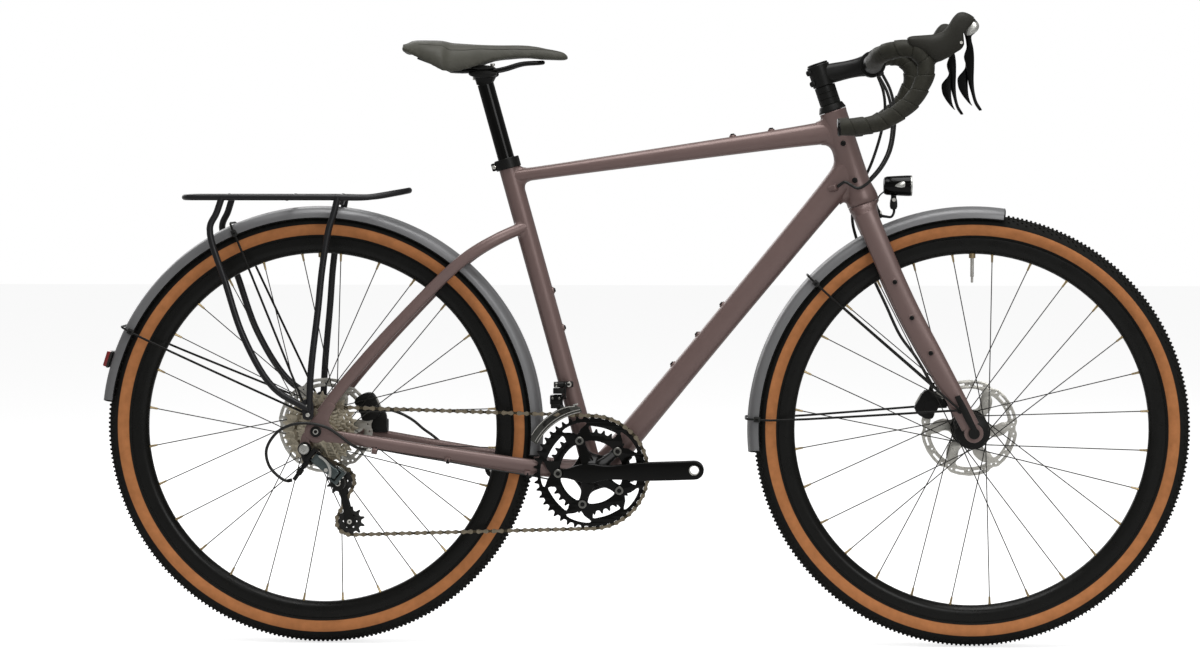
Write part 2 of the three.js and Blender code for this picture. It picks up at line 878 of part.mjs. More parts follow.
add("front_tyre", onAxle(tyre(), frontAxle), tyreRubber);
add("front_rim", onAxle(rim(), frontAxle), satinBlack);
add(
  "front_hub",
  onAxle(hubShell(-frontHubWidth * half, frontFlanges[0], frontFlanges[1], frontHubWidth * half), frontAxle),
  satinBlack,
);
add("front_rotor", onAxle(rotor(), frontAxle), discSteel);
add("rear_tyre", onAxle(tyre(), rearAxle), tyreRubber);
add("rear_rim", onAxle(rim(), rearAxle), satinBlack);
add(
  "rear_hub",
  onAxle(hubShell(-cassetteInner + 2.2, rearFlanges[0], rearFlanges[1], rearHubWidth * half), rearAxle),
  satinBlack,
);
add("rear_rotor", onAxle(rotor(), rearAxle), discSteel);

// Axles
const axleHead = { radius: 9, length: 4 };

function throughAxle(fromY, toY) {
  const head = disc(axleHead.radius, fromY - axleHead.length, fromY, 10);
  return join(disc(axleRadius, fromY - half, toY, 10), head);
}

const fork = {
  legOuter: 65.6,
  legWide: 7.5,
  legSide: 58,
  sides: 8,
  dropoutRadius: 15.5,
  eyeletRadius: 6,
  eyeletBack: 23,
  eyeletUp: 38,
};
const frontEyelet = point(wheelBase - fork.eyeletBack, 0, tyreRadius + fork.eyeletUp);
add("rear_axle", onAxle(throughAxle(-dropoutOuter - gap, dropoutOuter + 1), rearAxle), satinBlack);
add("front_axle", onAxle(throughAxle(-fork.legOuter - gap, fork.legOuter + 1), frontAxle), satinBlack);

// Fork
const crown = {
  low: 40,
  shoulder: 21,
  seam: 0.4,
  half: 50,
  deep: 20,
  back: 2,
  neck: 7,
  neckShare: 0.62,
  neckOut: 3,
  sides: 12,
};
const legPlaces = [
  { up: 0.9593 * forkLength, forward: -3, side: 38, wide: 12, high: 19 },
  { up: 0.8906 * forkLength, forward: -1, side: 42, wide: 11, high: 18.5 },
  { up: 0.654 * forkLength, forward: 6.5, side: 47, wide: 10, high: 18.3 },
  { up: 0.4885 * forkLength, forward: 14.5, side: 49.8, wide: 9, high: 18.2 },
  { up: 0.3282 * forkLength, forward: 25.5, side: 52.6, wide: 8.3, high: 17.8 },
  { up: 0.1221 * forkLength, forward: 40.6, side: 56.4, wide: 7.8, high: 15.6 },
  { up: frontAxleDown, forward: forkRake, side: fork.legSide, wide: fork.legWide, high: 15.5 },
];

function forkLeg(side, extra) {
  const stations = legPlaces.map((place) => ({
    at: onSteering(place.forward, side * place.side, place.up),
    wide: place.wide + extra,
    high: place.high + extra,
  }));
  const last = legPlaces[legPlaces.length - 1];
  const end = disc(fork.dropoutRadius + extra, -last.wide - extra, last.wide + extra, 12);
  return join(tube(stations, fork.sides), moved(end, frontAxle.x, side * fork.legSide, frontAxle.z));
}

function crownSolid(extra) {
  const ringAt = (down, wide, deep) =>
    Array.from({ length: crown.sides }, (_, k) => {
      const turn = (2 * Math.PI * k) / crown.sides;
      const forward = (deep + extra) * Math.cos(turn) - crown.back;
      return onSteering(forward, (wide + extra) * Math.sin(turn), forkLength - down);
    });
  const race = headBottomRadius - crown.seam;
  return loft([
    ringAt(crown.low, crown.half, crown.deep),
    ringAt(crown.shoulder, crown.half, crown.deep),
    ringAt(crown.neck, crown.half * crown.neckShare, crown.deep + crown.neckOut),
    ringAt(crown.seam, race, race),
  ]);
}

function steererTube() {
  const bottom = onSteering(0, 0, forkLength - crown.shoulder);
  return rod(bottom, onSteering(0, 0, stemHeight + stemClampHalf - steererBelowStem), steererRadius, 12);
}

function forkBosses() {
  const bosses = [];
  const lowest = legPlaces[4].up;
  for (const side of [1, -1]) {
    for (let i = 0; i < 3; i++) {
      const up = lowest + i * boss.spacing;
      const high = legPlaces.findLast((place) => place.up > up);
      const low = legPlaces[legPlaces.indexOf(high) + 1];
      const share = (up - low.up) / (high.up - low.up);
      const forward = low.forward + share * (high.forward - low.forward);
      const out = low.side + low.wide + share * (high.side + high.wide - low.side - low.wide);
      const from = onSteering(forward, side * (out - low.wide), up);
      bosses.push(rod(from, onSteering(forward, side * (out + boss.height), up), boss.radius, boss.sides));
    }
  }
  return bosses;
}

const guardClearWide = guardWidth * half + 0.8;

// The ear on the outside of a leg where the mudguard stays are bolted.
function forkEyelet(side) {
  const place = point(frontEyelet.x, side * fork.legSide, frontEyelet.z);
  return rod(place, place.clone().setY(side * fork.legOuter), fork.eyeletRadius, 8);
}

function forkSolid() {
  const wheelRoom = onAxle(
    disc(guardRadius + 3, -guardClearWide, guardClearWide, 24),
    frontAxle,
  );
  const axleBore = onAxle(disc(axleRadius + gap, -rearHubWidth, rearHubWidth, 12), frontAxle);
  const hubHalf = frontHubWidth * half + gap;
  const hubRoom = onAxle(disc(fork.dropoutRadius * 2, -hubHalf, hubHalf, 16), frontAxle);
  const body = join(
    crownSolid(0),
    steererTube(),
    forkLeg(1, 0),
    forkLeg(-1, 0),
    forkEyelet(1),
    forkEyelet(-1),
    ...forkBosses(),
  );
  return cut(body, wheelRoom, axleBore, hubRoom);
}

add("fork", forkSolid(), paint);

// Headset cover and spacers

function headsetCover() {
  const inner = steererRadius + facetGap;
  const rise = stemHeight - stemClampHalf - headTop - 2 * gap;
  const cone = 11;
  const spacer = steererRadius + 2.7;
  const profile = [
    [inner, 0],
    [headTopRadius + half, 0],
    [headTopRadius + half, 2.5],
    [spacer + 1, cone],
    [spacer, cone],
    [spacer, rise],
    [inner, rise],
  ];
  const up = onSteering(0, 0, 1).sub(steeringFoot);
  return aimed(revolve(profile, 14), onSteering(0, 0, headTop + gap), up);
}

add("headset_cover", headsetCover(), satinBlack);

// Stem and bar
const barCentre = onSteering(stemLength, 0, stemHeight - stemDrop);
const stem = {
  clampRadius: 18.5,
  capRadius: 17,
  capHeight: 3,
  armRadius: 16,
  barClampOuter: 21.5,
  barClampWide: 21,
};

function stemBarRing() {
  const ring = hoop(barClampRadius + 2 * gap, stem.barClampOuter, -stem.barClampWide, stem.barClampWide, 12);
  return moved(ring, barCentre.x, 0, barCentre.z);
}

function frontHalf(extra) {
  const size = stem.barClampOuter * 4;
  const box = new THREE.BoxGeometry(size, size, size);
  return box.translate(stemLength + size * half + extra, 0, stemHeight - stemDrop).applyMatrix4(steeringMatrix);
}

function stemSolid() {
  const low = stemHeight - stemClampHalf;
  const high = stemHeight + stemClampHalf;
  const clamp = rod(onSteering(0, 0, low), onSteering(0, 0, high), stem.clampRadius, 10);
  const capTop = rod(onSteering(0, 0, high), onSteering(0, 0, high + stem.capHeight), stem.capRadius, 10);
  const arm = rod(
    onSteering(0, 0, stemHeight),
    onSteering(stemLength - barClampRadius, 0, stemHeight - stemDrop * 0.8),
    stem.armRadius,
    8,
    stem.armRadius * 0.9,
  );
  const bore = rod(onSteering(0, 0, low - overrun), onSteering(0, 0, high - 1.5), steererRadius + gap, 12);
  const barBore = moved(
    disc(barClampRadius + 2 * gap, -barHalfWidth, barHalfWidth, 12),
    barCentre.x,
    0,
    barCentre.z,
  );
  return cut(join(clamp, capTop, arm, stemBarRing()), bore, barBore, frontHalf(-gap * half));
}

add("stem", stemSolid(), satinBlack);
add("stem_faceplate", common(stemBarRing(), frontHalf(gap * half)), satinBlack);

// Bar centre line: forward, across and up, as shares of reach, half width and drop.
const barShares = [
  [0, 0, 0],
  [0, 0.28, 0],
  [0.01, 0.57, 0.03],
  [0.09, 0.78, 0.08],
  [0.36, 0.905, 0.136],
  [0.7, 0.948, 0.14],
  [0.95, 0.958, 0.024],
  [1, 0.967, -0.152],
  [0.895, 0.976, -0.328],
  [0.737, 0.981, -0.496],
  [0.447, 0.986, -0.648],
  [0.04, 0.99, -0.784],
  [-0.434, 0.995, -0.832],
  [-0.796, 1, -0.842],
];

function barPoints(side) {
  return barShares.map(([forward, out, up]) =>
    point(barCentre.x + forward * barReach, side * out * barHalfWidth, barCentre.z + up * barDrop),
  );
}

const barSteps = 28;
const barSides = 7;
const barCurve = smoothPath([...barPoints(-1).reverse(), ...barPoints(1).slice(1)]);
barCurve.arcLengthDivisions = 400;
const barFrames = barCurve.computeFrenetFrames(barSteps, false);
const barLength = barCurve.getLength();

// One ring of points round the bar at a step, with part steps in between.
function barRing(step, radius, sides) {
  const low = Math.min(Math.floor(step), barSteps - 1);
  const share = step - low;
  const normal = barFrames.normals[low].clone().lerp(barFrames.normals[low + 1], share).normalize();
  const tangent = barFrames.tangents[low].clone().lerp(barFrames.tangents[low + 1], share).normalize();
  normal.addScaledVector(tangent, -normal.dot(tangent)).normalize();
  const side = tangent.clone().cross(normal);
  const centre = barCurve.getPointAt(Math.min(step / barSteps, 1));
  return Array.from({ length: sides }, (_, k) => {
    const turn = (2 * Math.PI * k) / sides;
    return centre
      .clone()
      .addScaledVector(normal, radius * Math.cos(turn))
      .addScaledVector(side, radius * Math.sin(turn));
  });
}

function barRadiusAt(step) {
  const fromMiddle = Math.abs(step / barSteps - half) * barLength;
  const clampEnd = 32;
  const taperEnd = 62;
  const share = Math.min(Math.max((fromMiddle - clampEnd) / (taperEnd - clampEnd), 0), 1);
  return barClampRadius + share * (barRadius - barClampRadius);
}

function handlebar() {
  const rings = [];
  for (let step = 0; step <= barSteps; step++) {
    rings.push(barRing(step, barRadiusAt(step), barSides));
  }
  return loft(rings);
}

add("handlebar", handlebar(), satinBlack);

const tape = { bare: 72, bore: 12.4, low: 13.5, high: 14.5, plug: 3, wrapShare: 0.82 };

function tapeSteps(side) {
  const first = Math.ceil(barSteps * (half + tape.bare / barLength));
  const steps = [];
  for (let step = first; step < barSteps; step++) {
    steps.push(side > 0 ? step : barSteps - step);
  }
  steps.push(side > 0 ? barSteps : 0);
  return steps;
}

// Rings that rise over each turn of tape and step down at its end.
function tapeRings(side, low, high) {
  return tapeSteps(side)
    .slice(0, -1)
    .flatMap((step) => [
      barRing(step, low, barSides),
      barRing(step + tape.wrapShare * side, high, barSides),
    ]);
}

// Bar tape: a sleeve on the bar whose skin steps down at the end of each turn of tape.
function barTape(side) {
  const steps = tapeSteps(side);
  const outer = tapeRings(side, tape.low, tape.high);
  const inner = steps.slice(0, -1).map((step) => barRing(step, tape.bore, barSides));
  const endStep = steps[steps.length - 1];
  const outDirection = barFrames.tangents[endStep].clone().multiplyScalar(side);
  const endRing = (radius, out) =>
    barRing(endStep, radius, barSides).map((p) => p.addScaledVector(outDirection, out));
  outer.push(endRing(tape.low, 0));
  inner.push(endRing(tape.bore, gap));
  outer.push(endRing(tape.low, tape.plug));
  return cut(loft(outer), loft([extendedRing(inner), ...inner]));
}

// A copy of the first ring, pushed out past the mouth.
function extendedRing(rings) {
  const centreOf = (ring) => ring.reduce((sum, p) => sum.add(p), point(0, 0, 0)).divideScalar(ring.length);
  const away = centreOf(rings[0]).sub(centreOf(rings[1])).normalize().multiplyScalar(overrun);
  return rings[0].map((p) => p.clone().add(away));
}

add("bar_tape_right", barTape(-1), gripTape);
add("bar_tape_left", barTape(1), gripTape);

// Hoods and levers, drawn in the side view from the lever pivot, as shares of the lever's length.
const lever = {
  length: 137,
  side: 0.955 * barHalfWidth,
  forward: 1.92 * barReach,
  up: 0.425 * barDrop,
  wide: 7,
  travel: 20,
  pinRadius: 2,
  paddleThick: 3,
};
const leverShares = [
  [0.073, 0.051],
  [0.102, -0.026],
  [0.022, -0.131],
  [0.049, -0.299],
  [0.042, -0.62],
  [0.075, -0.847],
  [0.141, -0.945],
  [0.112, -0.973],
  [0.061, -0.922],
  [-0.033, -0.62],
  [-0.039, -0.469],
  [-0.088, -0.343],
  [-0.047, -0.241],
  [-0.044, -0.073],
  [-0.078, -0.02],
  [-0.07, 0.05],
  [-0.02, 0.085],
];
const hingeShare = [-0.03, 0.02];
const paddleShares = [
  [-0.066, -0.365],
  [-0.033, -0.485],
  [-0.031, -0.818],
  [-0.086, -0.731],
  [-0.121, -0.594],
  [-0.095, -0.453],
];
const hoodShares = [
  [-0.727, -0.117],
  [-0.384, -0.091],
  [-0.264, -0.034],
  [-0.191, 0.136],
  [-0.106, 0.162],
  [-0.026, 0.139],
  [0.066, 0.073],
  [-0.053, -0.069],
  [-0.058, -0.241],
  [-0.188, -0.326],
  [-0.325, -0.394],
  [-0.399, -0.434],
  [-0.56, -0.29],
  [-0.7, -0.22],
];
const hood = { wide: 17.5, bevel: 4 };
const leverPivot = point(barCentre.x + lever.forward, 0, barCentre.z + lever.up);
const hinge = point(hingeShare[0], 0, hingeShare[1]).multiplyScalar(lever.length).add(leverPivot);

function fromPivot(shares) {
  return shares.map(([x, z]) => [leverPivot.x + x * lever.length, leverPivot.z + z * lever.length]);
}

function leverPlate(extra) {
  const outline = fromPivot(leverShares);
  const bore = circle(hinge.x, hinge.z, lever.pinRadius + gap, 8);
  return extra > 0
    ? grownPlate(outline, -lever.wide, lever.wide, extra)
    : sidePlate(outline, -lever.wide, lever.wide, [bore]);
}


// Signed to the inboard side of a lever on the given side of the bicycle.
function paddlePlate(side, extra) {
  const near = lever.wide + gap;
  const centre = -side * (near + lever.paddleThick * half);
  const outline = fromPivot(paddleShares);
  const thick = lever.paddleThick * half;
  const plate = extra > 0 ? grownPlate(outline, -thick, thick, extra) : sidePlate(outline, -thick, thick);
  return moved(plate, 0, centre, 0);
}

// The room that a hood leaves for the bar and its tape.
function barRoom(side) {
  return loft(tapeRings(side, tape.high + runningGap, tape.high + runningGap));
}

function hoodSolid(side) {
  const blank = moved(
    sidePlate(fromPivot(hoodShares), -hood.wide, hood.wide, [], hood.bevel),
    0,
    side * lever.side,
    0,
  );
  const sweeps = 4;
  const rooms = [];
  for (let i = 0; i <= sweeps; i++) {
    const angle = ((lever.travel + 1) * i * degree) / sweeps;
    rooms.push(moved(turned(leverPlate(runningGap), across, angle, hinge), 0, side * lever.side, 0));
    rooms.push(moved(turned(paddlePlate(side, runningGap), across, angle, hinge), 0, side * lever.side, 0));
  }
  const pinHalf = lever.wide + lever.paddleThick * 2;
  const pin = moved(disc(lever.pinRadius, -pinHalf, pinHalf, 8), hinge.x, side * lever.side, hinge.z);
  return join(cut(blank, barRoom(side), ...rooms), pin);
}

for (const [word, side] of [["right", -1], ["left", 1]]) {
  add(`hood_${word}`, hoodSolid(side), blackRubber);
  add(`brake_lever_${word}`, moved(leverPlate(0), 0, side * lever.side, 0), satinBlack);
  add(`shift_lever_${word}`, moved(paddlePlate(side, 0), 0, side * lever.side, 0), satinBlack);
}

// Seatpost with its rail clamp
const seatTop = onSeatTube(saddleHeight);
const rail = { radius: 3.5, gauge: 22, aboveSeat: 11.4, sides: 6, steps: 20 };
const railHeight = seatTop.z + rail.aboveSeat;
const railHead = { length: 46, half: 28, low: 11, plate: 3.5, neck: 12 };
const postInsert = 120;

function seatpostSolid() {
  const bottom = onSeatTube(seatTubeLength - postInsert);
  const railUnder = railHeight - rail.radius - gap;
  const railOver = railHeight + rail.radius + gap;
  const top = onSeatTube(saddleHeight - railHead.low * half);
  const post = rod(bottom, top, seatpostRadius, 12);
  const cradle = block(
    point(top.x, 0, railUnder - railHead.low * half),
    railHead.length,
    railHead.half * 2,
    railHead.low,
  );
  const neck = block(point(top.x, 0, railHeight), railHead.neck, railHead.neck * 2, 2 * (rail.radius + gap) + 2);
  const lid = block(
    point(top.x, 0, railOver + railHead.plate * half),
    railHead.length * 0.8,
    railHead.half * 2,
    railHead.plate,
  );
  return join(post, cradle, neck, lid);
}

add("seatpost", seatpostSolid(), satinBlack);

// Saddle
const saddle = { length: 272, back: 132.4, rise: 49, halfWide: 75, thick: 12 };
const saddleTop = railHeight + saddle.rise;
// Stations from tail to nose: place along, half width, and top and skirt below the highest point,
// these two as shares of the rise.
const saddleShares = [
  { along: 0, wide: 0.62, top: 0.1837, skirt: 0.3061 },
  { along: 0.06, wide: 0.9, top: 0.0204, skirt: 0.449 },
  { along: 0.17, wide: 1, top: 0.0306, skirt: 0.7755 },
  { along: 0.3, wide: 0.92, top: 0.1122, skirt: 1.102 },
  { along: 0.42, wide: 0.68, top: 0.1531, skirt: 0.9388 },
  { along: 0.55, wide: 0.42, top: 0.1735, skirt: 0.6327 },
  { along: 0.7, wide: 0.3, top: 0.1878, skirt: 0.551 },
  { along: 0.85, wide: 0.26, top: 0.2347, skirt: 0.6122 },
  { along: 0.96, wide: 0.2, top: 0.3367, skirt: 0.6327 },
  { along: 1, wide: 0.09, top: 0.4694, skirt: 0.6122 },
];
const saddleUnder = 26;

function saddleSolid() {
  const arc = 8;
  const rings = saddleShares.map((station) => {
    const x = seatTop.x - saddle.back + station.along * saddle.length;
    const wide = station.wide * saddle.halfWide;
    const top = saddleTop - station.top * saddle.rise;
    const skirt = saddleTop - station.skirt * saddle.rise;
    const ring = [];
    for (let k = 0; k <= arc; k++) {
      const turn = (Math.PI * k) / arc;
      const drop = (1 - Math.sin(turn)) ** 1.6;
      ring.push(point(x, wide * Math.cos(turn), top - drop * (top - skirt)));
    }
    const under = Math.max(top - saddleUnder, skirt - 1);
    const inner = Math.max(wide - saddle.thick, wide * 0.35);
    for (let k = 0; k <= 4; k++) {
      const turn = Math.PI - (Math.PI * k) / 4;
      const rise = Math.max(Math.sin(turn), 0) ** 0.6;
      ring.push(point(x, inner * Math.cos(turn), skirt + rise * (under - skirt) * 0.9 - 0.4));
    }
    return ring;
  });
  return loft(rings);
}

// Places of a rail from its tail: forward of the post and up as shares of the saddle's length,
// out as a share of the gauge.
const railShares = [
  { forward: -0.4426, out: 1.227, up: 0.0993 },
  { forward: -0.3912, out: 1.18, up: 0.0809 },
  { forward: -0.314, out: 1.09, up: 0.0515 },
  { forward: -0.1669, out: 1, up: 0.0018 },
  { forward: -0.0897, out: 1, up: 0 },
  { forward: 0.0721, out: 1, up: 0 },
  { forward: 0.1309, out: 0.955, up: 0.011 },
  { forward: 0.2338, out: 0.682, up: 0.0404 },
  { forward: 0.3368, out: 0.364, up: 0.0478 },
  { forward: 0.3588, out: 0, up: 0.0496 },
];

function railTube(shares, radius, steps) {
  const drawn = shares.map((share) =>
    point(
      seatTop.x + share.forward * saddle.length,
      share.out * rail.gauge,
      railHeight + share.up * saddle.length,
    ),
  );
  return bentTube([...mirrored(drawn), ...drawn.slice(0, -1).reverse()], radius, rail.sides, steps);
}

add("saddle_rails", railTube(railShares.slice(1), rail.radius, rail.steps), satinBlack);

const railRoom = railTube(railShares, rail.radius + runningGap * 2, rail.steps + 2);
add("saddle_cushion", cut(saddleSolid(), railRoom), blackRubber);

// Mudguards
function guard(axle, startAngle, endAngle, steps) {
  const side = guardWidth * half;
  const wall = guardThickness;
  const section = [
    [-side, guardRadius - guardDepth],
    [-side, guardRadius - guardDepth * half],
    [-side * 0.5, guardRadius],
    [side * 0.5, guardRadius],
    [side, guardRadius - guardDepth * half],
    [side, guardRadius - guardDepth],
    [side - wall, guardRadius - guardDepth],
    [side - wall, guardRadius - guardDepth * half],
    [side * 0.5 - wall * half, guardRadius - wall],
    [-side * 0.5 + wall * half, guardRadius - wall],
    [-side + wall, guardRadius - guardDepth * half],
    [-side + wall, guardRadius - guardDepth],
  ];
  const rings = [];
  for (let i = 0; i <= steps; i++) {
    const angle = (startAngle + ((endAngle - startAngle) * i) / steps) * degree;
    rings.push(
      section.map(([y, radius]) =>
        point(axle.x + radius * Math.cos(angle), y, axle.z + radius * Math.sin(angle)),
      ),
    );
  }
  return loft(rings);
}

add("front_mudguard", guard(frontAxle, frontGuardStart, frontGuardEnd, 11), guardGrey);
add("rear_mudguard", guard(rearAxle, rearGuardStart, rearGuardEnd, 19), guardGrey);

// Mudguard stays: each wheel's two hoops meet at the eyelets.
const stay = { radius: 1.9, eyeletRadius: 5.5, plate: 1.8, clip: 0.6 };

function stayHoop(axle, eyelet, eyeletSide, angle) {
  const radius = guardRadius - guardDepth * half;
  const outside = guardWidth * half + stay.radius + stay.clip;
  const over = guardRadius + stay.radius + stay.clip;
  const at = (r, y) => point(axle.x + r * Math.cos(angle * degree), y, axle.z + r * Math.sin(angle * degree));
  const toward = at(radius, outside).sub(eyelet).setY(0).normalize();
  const straight = 14;
  const right = [
    point(eyelet.x, -eyeletSide, eyelet.z),
    point(eyelet.x, -eyeletSide, eyelet.z).addScaledVector(toward, straight),
    at(radius - 2 * guardDepth, -outside - 2),
    at(radius, -outside),
    at(over - 1, -outside + 2),
    at(over, -outside + 8),
  ];
  const left = right.map((p) => point(p.x, -p.y, p.z)).reverse();
  return [wire([...right, ...left], stay.radius, 4)];
}

function stays(axle, eyelet, eyeletSide, angles) {
  const pieces = angles.flatMap((angle) => stayHoop(axle, eyelet, eyeletSide, angle));
  for (const side of [1, -1]) {
    const inner = eyeletSide - stay.plate;
    const outer = eyeletSide + stay.plate;
    const [low, high] = side > 0 ? [inner, outer] : [-outer, -inner];
    pieces.push(moved(disc(stay.eyeletRadius, low, high, 8), eyelet.x, 0, eyelet.z));
  }
  return join(...pieces);
}

const rearEyelet = point(dropout.eyeletBack, 0, tyreRadius + dropout.eyeletUp);
const rearStaySide = dropoutOuter + gap + stay.plate;
const frontStaySide = fork.legOuter + gap + stay.plate;
add("rear_mudguard_stays", stays(rearAxle, rearEyelet, rearStaySide, [113.5, 153]), satinBlack);
add("front_mudguard_stays", stays(frontAxle, frontEyelet, frontStaySide, [136.6, 177]), satinBlack);

// Rear rack
const rack = {
  overGuard: 14.5,
  tubeRadius: 5,
  legRadius: 5.5,
  sides: 5,
  halfWide: 52,
  kneeOut: 8,
  middleOut: 22,
  foot: 4.4,
  rear: -222,
  bend: 80,
};
const deckHeight = tyreRadius + guardRadius + rack.overGuard;
// Places of a leg forward, as shares of the deck's end, and down from the deck,
// as shares of the way to the foot.
const rackLegShares = [
  { end: rack.rear, top: 0.707, knee: 0.793, middle: 0.5315, kneeDown: 0.147, middleDown: 0.666 },
  { end: rack.bend, top: 0.425, knee: 0.25, middle: 0.05, kneeDown: 0.153, middleDown: 0.522 },
];
const rackFootSide = rearStaySide + stay.plate + gap + rack.foot * half;

function rackDeck() {
  const right = [
    point(rack.rear, -rack.halfWide * 0.6, deckHeight),
    point(rack.rear + 10, -rack.halfWide * 0.93, deckHeight),
    point(rack.rear + 40, -rack.halfWide, deckHeight),
    point(rack.bend - 60, -rack.halfWide, deckHeight),
    point(rack.bend, -rack.halfWide * 0.85, deckHeight),
    point(rack.bend + 45, -rack.halfWide * 0.45, deckHeight + 7),
    point(rack.bend + 66, 0, deckHeight + 11),
  ];
  const left = mirrored(right).slice(0, -1).reverse();
  const loop = new THREE.CatmullRomCurve3([...right, ...left], true, "centripetal");
  const section = new THREE.Shape(
    circle(0, 0, rack.tubeRadius, rack.sides).map(([x, y]) => new THREE.Vector2(x, y)),
  );
  return outward(new THREE.ExtrudeGeometry(section, { steps: 22, extrudePath: loop, bevelEnabled: false }));
}

function rackLeg(side, share) {
  const foot = point(rearEyelet.x + 2, side * rackFootSide, rearEyelet.z + 8);
  const tall = deckHeight - foot.z;
  const middle = point(
    share.middle * share.end,
    side * (rack.halfWide + rack.middleOut),
    deckHeight - share.middleDown * tall,
  );
  const points = [
    point(share.top * share.end, side * (rack.halfWide + 1), deckHeight),
    point(share.knee * share.end, side * (rack.halfWide + rack.kneeOut), deckHeight - share.kneeDown * tall),
    middle,
    point((middle.x + foot.x) * half - 4, side * (rackFootSide + 1), (middle.z + foot.z) * half - 22),
    foot,
  ];
  return bentTube(points, rack.legRadius, rack.sides, 6);
}

function rackFootPlate(side) {
  const outline = [
    [rearEyelet.x - 7, rearEyelet.z - 7],
    [rearEyelet.x + 7, rearEyelet.z - 7],
    [rearEyelet.x + 9, rearEyelet.z + 20],
    [rearEyelet.x - 9, rearEyelet.z + 20],
  ];
  const inner = rackFootSide - rack.foot * half;
  const outer = rackFootSide + rack.foot * half;
  return side > 0 ? sidePlate(outline, inner, outer) : sidePlate(outline, -outer, -inner);
}

function rackSolid() {
  const cross = [rack.rear + 60, rack.bend - 130, rack.bend - 50].map((x) =>
    rod(point(x, -rack.halfWide, deckHeight), point(x, rack.halfWide, deckHeight), rack.tubeRadius * 0.8, 6),
  );
  const mount = block(
    point(rack.bend - 50, 0, (deckHeight + tyreRadius + guardRadius) * half),
    22,
    26,
    deckHeight - tyreRadius - guardRadius + 4,
  );
  const pieces = [rackDeck(), ...cross, mount];
  for (const side of [1, -1]) {
    pieces.push(...rackLegShares.map((share) => rackLeg(side, share)), rackFootPlate(side));
  }
  const guardRoom = onAxle(disc(guardRadius + 2, -guardWidth, guardWidth, 60), rearAxle);
  const footRoom = rearStaySide + stay.plate + gap;
  const innerRoom = moved(disc(60, -footRoom, footRoom, 12), 0, 0, tyreRadius + 10);
  return cut(join(...pieces), guardRoom, innerRoom);
}

add("rear_rack", rackSolid(), satinBlack);

// Rear light on the mudguard
const rearLight = { angle: 162.3, deep: 12, tall: 28, wide: 30 };

function rearLightSolid() {
  const body = new THREE.BoxGeometry(rearLight.deep, rearLight.wide, rearLight.tall);
  body.translate(guardRadius + rearLight.deep * half - 1, 0, 0).rotateY(-rearLight.angle * degree);
  const room = guard(point(0, 0, 0), rearLight.angle - 8, rearLight.angle + 8, 4);
  const roomOuter = disc(guardRadius + gap, -rearLight.wide, rearLight.wide, 120);
  return moved(cut(body, roomOuter, room), rearAxle.x, 0, rearAxle.z);
}

add("rear_light", rearLightSolid(), redLens);

// Chain path
function pitchRadius(teeth) {
  return chainPitch / (2 * Math.sin(Math.PI / teeth));
}

// Straight run that touches two circles; a turn is +1 when the chain goes clockwise in the side view.
function tangentRun(from, fromRadius, fromTurn, to, toRadius, toTurn) {
  const way = to.clone().sub(from);
  const distance = way.length();
  const base = Math.atan2(way.y, way.x);
  const offset = Math.asin((fromTurn * fromRadius - toTurn * toRadius) / distance);
  const direction = base - offset;
  const normal = direction + Math.PI * half;
  const out = new THREE.Vector2(Math.cos(normal), Math.sin(normal));
  const start = from.clone().addScaledVector(out, fromTurn * fromRadius);
  const end = to.clone().addScaledVector(out, toTurn * toRadius);
  return { start, end, direction };
}

function chainStops(cageAngle) {
  const guide = new THREE.Vector2(guidePulleyForward, guidePulleyHeight);
  const tension = guide.clone().add(
    new THREE.Vector2(Math.cos(cageAngle), Math.sin(cageAngle)).multiplyScalar(pulleySpacing),
  );
  return [
    { centre: new THREE.Vector2(rearAxle.x, rearAxle.z), teeth: cassetteTeeth[sprocketInUse], turn: 1 },
    { centre: new THREE.Vector2(bracket.x, bracket.z), teeth: outerRingTeeth, turn: 1 },
    { centre: tension, teeth: pulleyTeeth, turn: 1 },
    { centre: guide, teeth: pulleyTeeth, turn: -1 },
  ];
}

// Legs of the chain's loop: straight runs and wraps, with their lengths counted in links.
function chainLegs(cageAngle) {
  const stops = chainStops(cageAngle);
  const runs = stops.map((stop, i) => {
    const next = stops[(i + 1) % stops.length];
    return tangentRun(
      stop.centre,
      pitchRadius(stop.teeth),
      stop.turn,
      next.centre,
      pitchRadius(next.teeth),
      next.turn,
    );
  });
  const legs = [];
  for (let i = 0; i < stops.length; i++) {
    const run = runs[i];
    legs.push({ run, links: run.start.distanceTo(run.end) / chainPitch });
    const stop = stops[(i + 1) % stops.length];
    const next = runs[(i + 1) % stops.length];
    const full = 2 * Math.PI;
    const turned360 = ((((run.direction - next.direction) * stop.turn) % full) + full) % full;
    const startAngle = Math.atan2(run.end.y - stop.centre.y, run.end.x - stop.centre.x);
    legs.push({ stop, startAngle, sweep: turned360, links: (turned360 * stop.teeth) / full });
  }
  return legs;
}

function linkTotal(cageAngle) {
  return chainLegs(cageAngle).reduce((sum, leg) => sum + leg.links, 0);
}

// The chain has an even number of links, and its cage hangs about as drawn.
const chainLinks = 2 * Math.round(linkTotal(easyCageAngle * degree) * half);

// The cage swings until the chain closes on a whole number of links.
function settledCageAngle() {
  let low = -130 * degree;
  let high = -20 * degree;
  const rounds = 50;
  for (let i = 0; i < rounds; i++) {
    const middle = (low + high) * half;
    if (linkTotal(middle) > chainLinks) {
      low = middle;
    } else {
      high = middle;
    }
  }
  return (low + high) * half;
}

const cageAngle = settledCageAngle();
const legs = chainLegs(cageAngle);
const [, , tensionStop, guideStop] = chainStops(cageAngle);

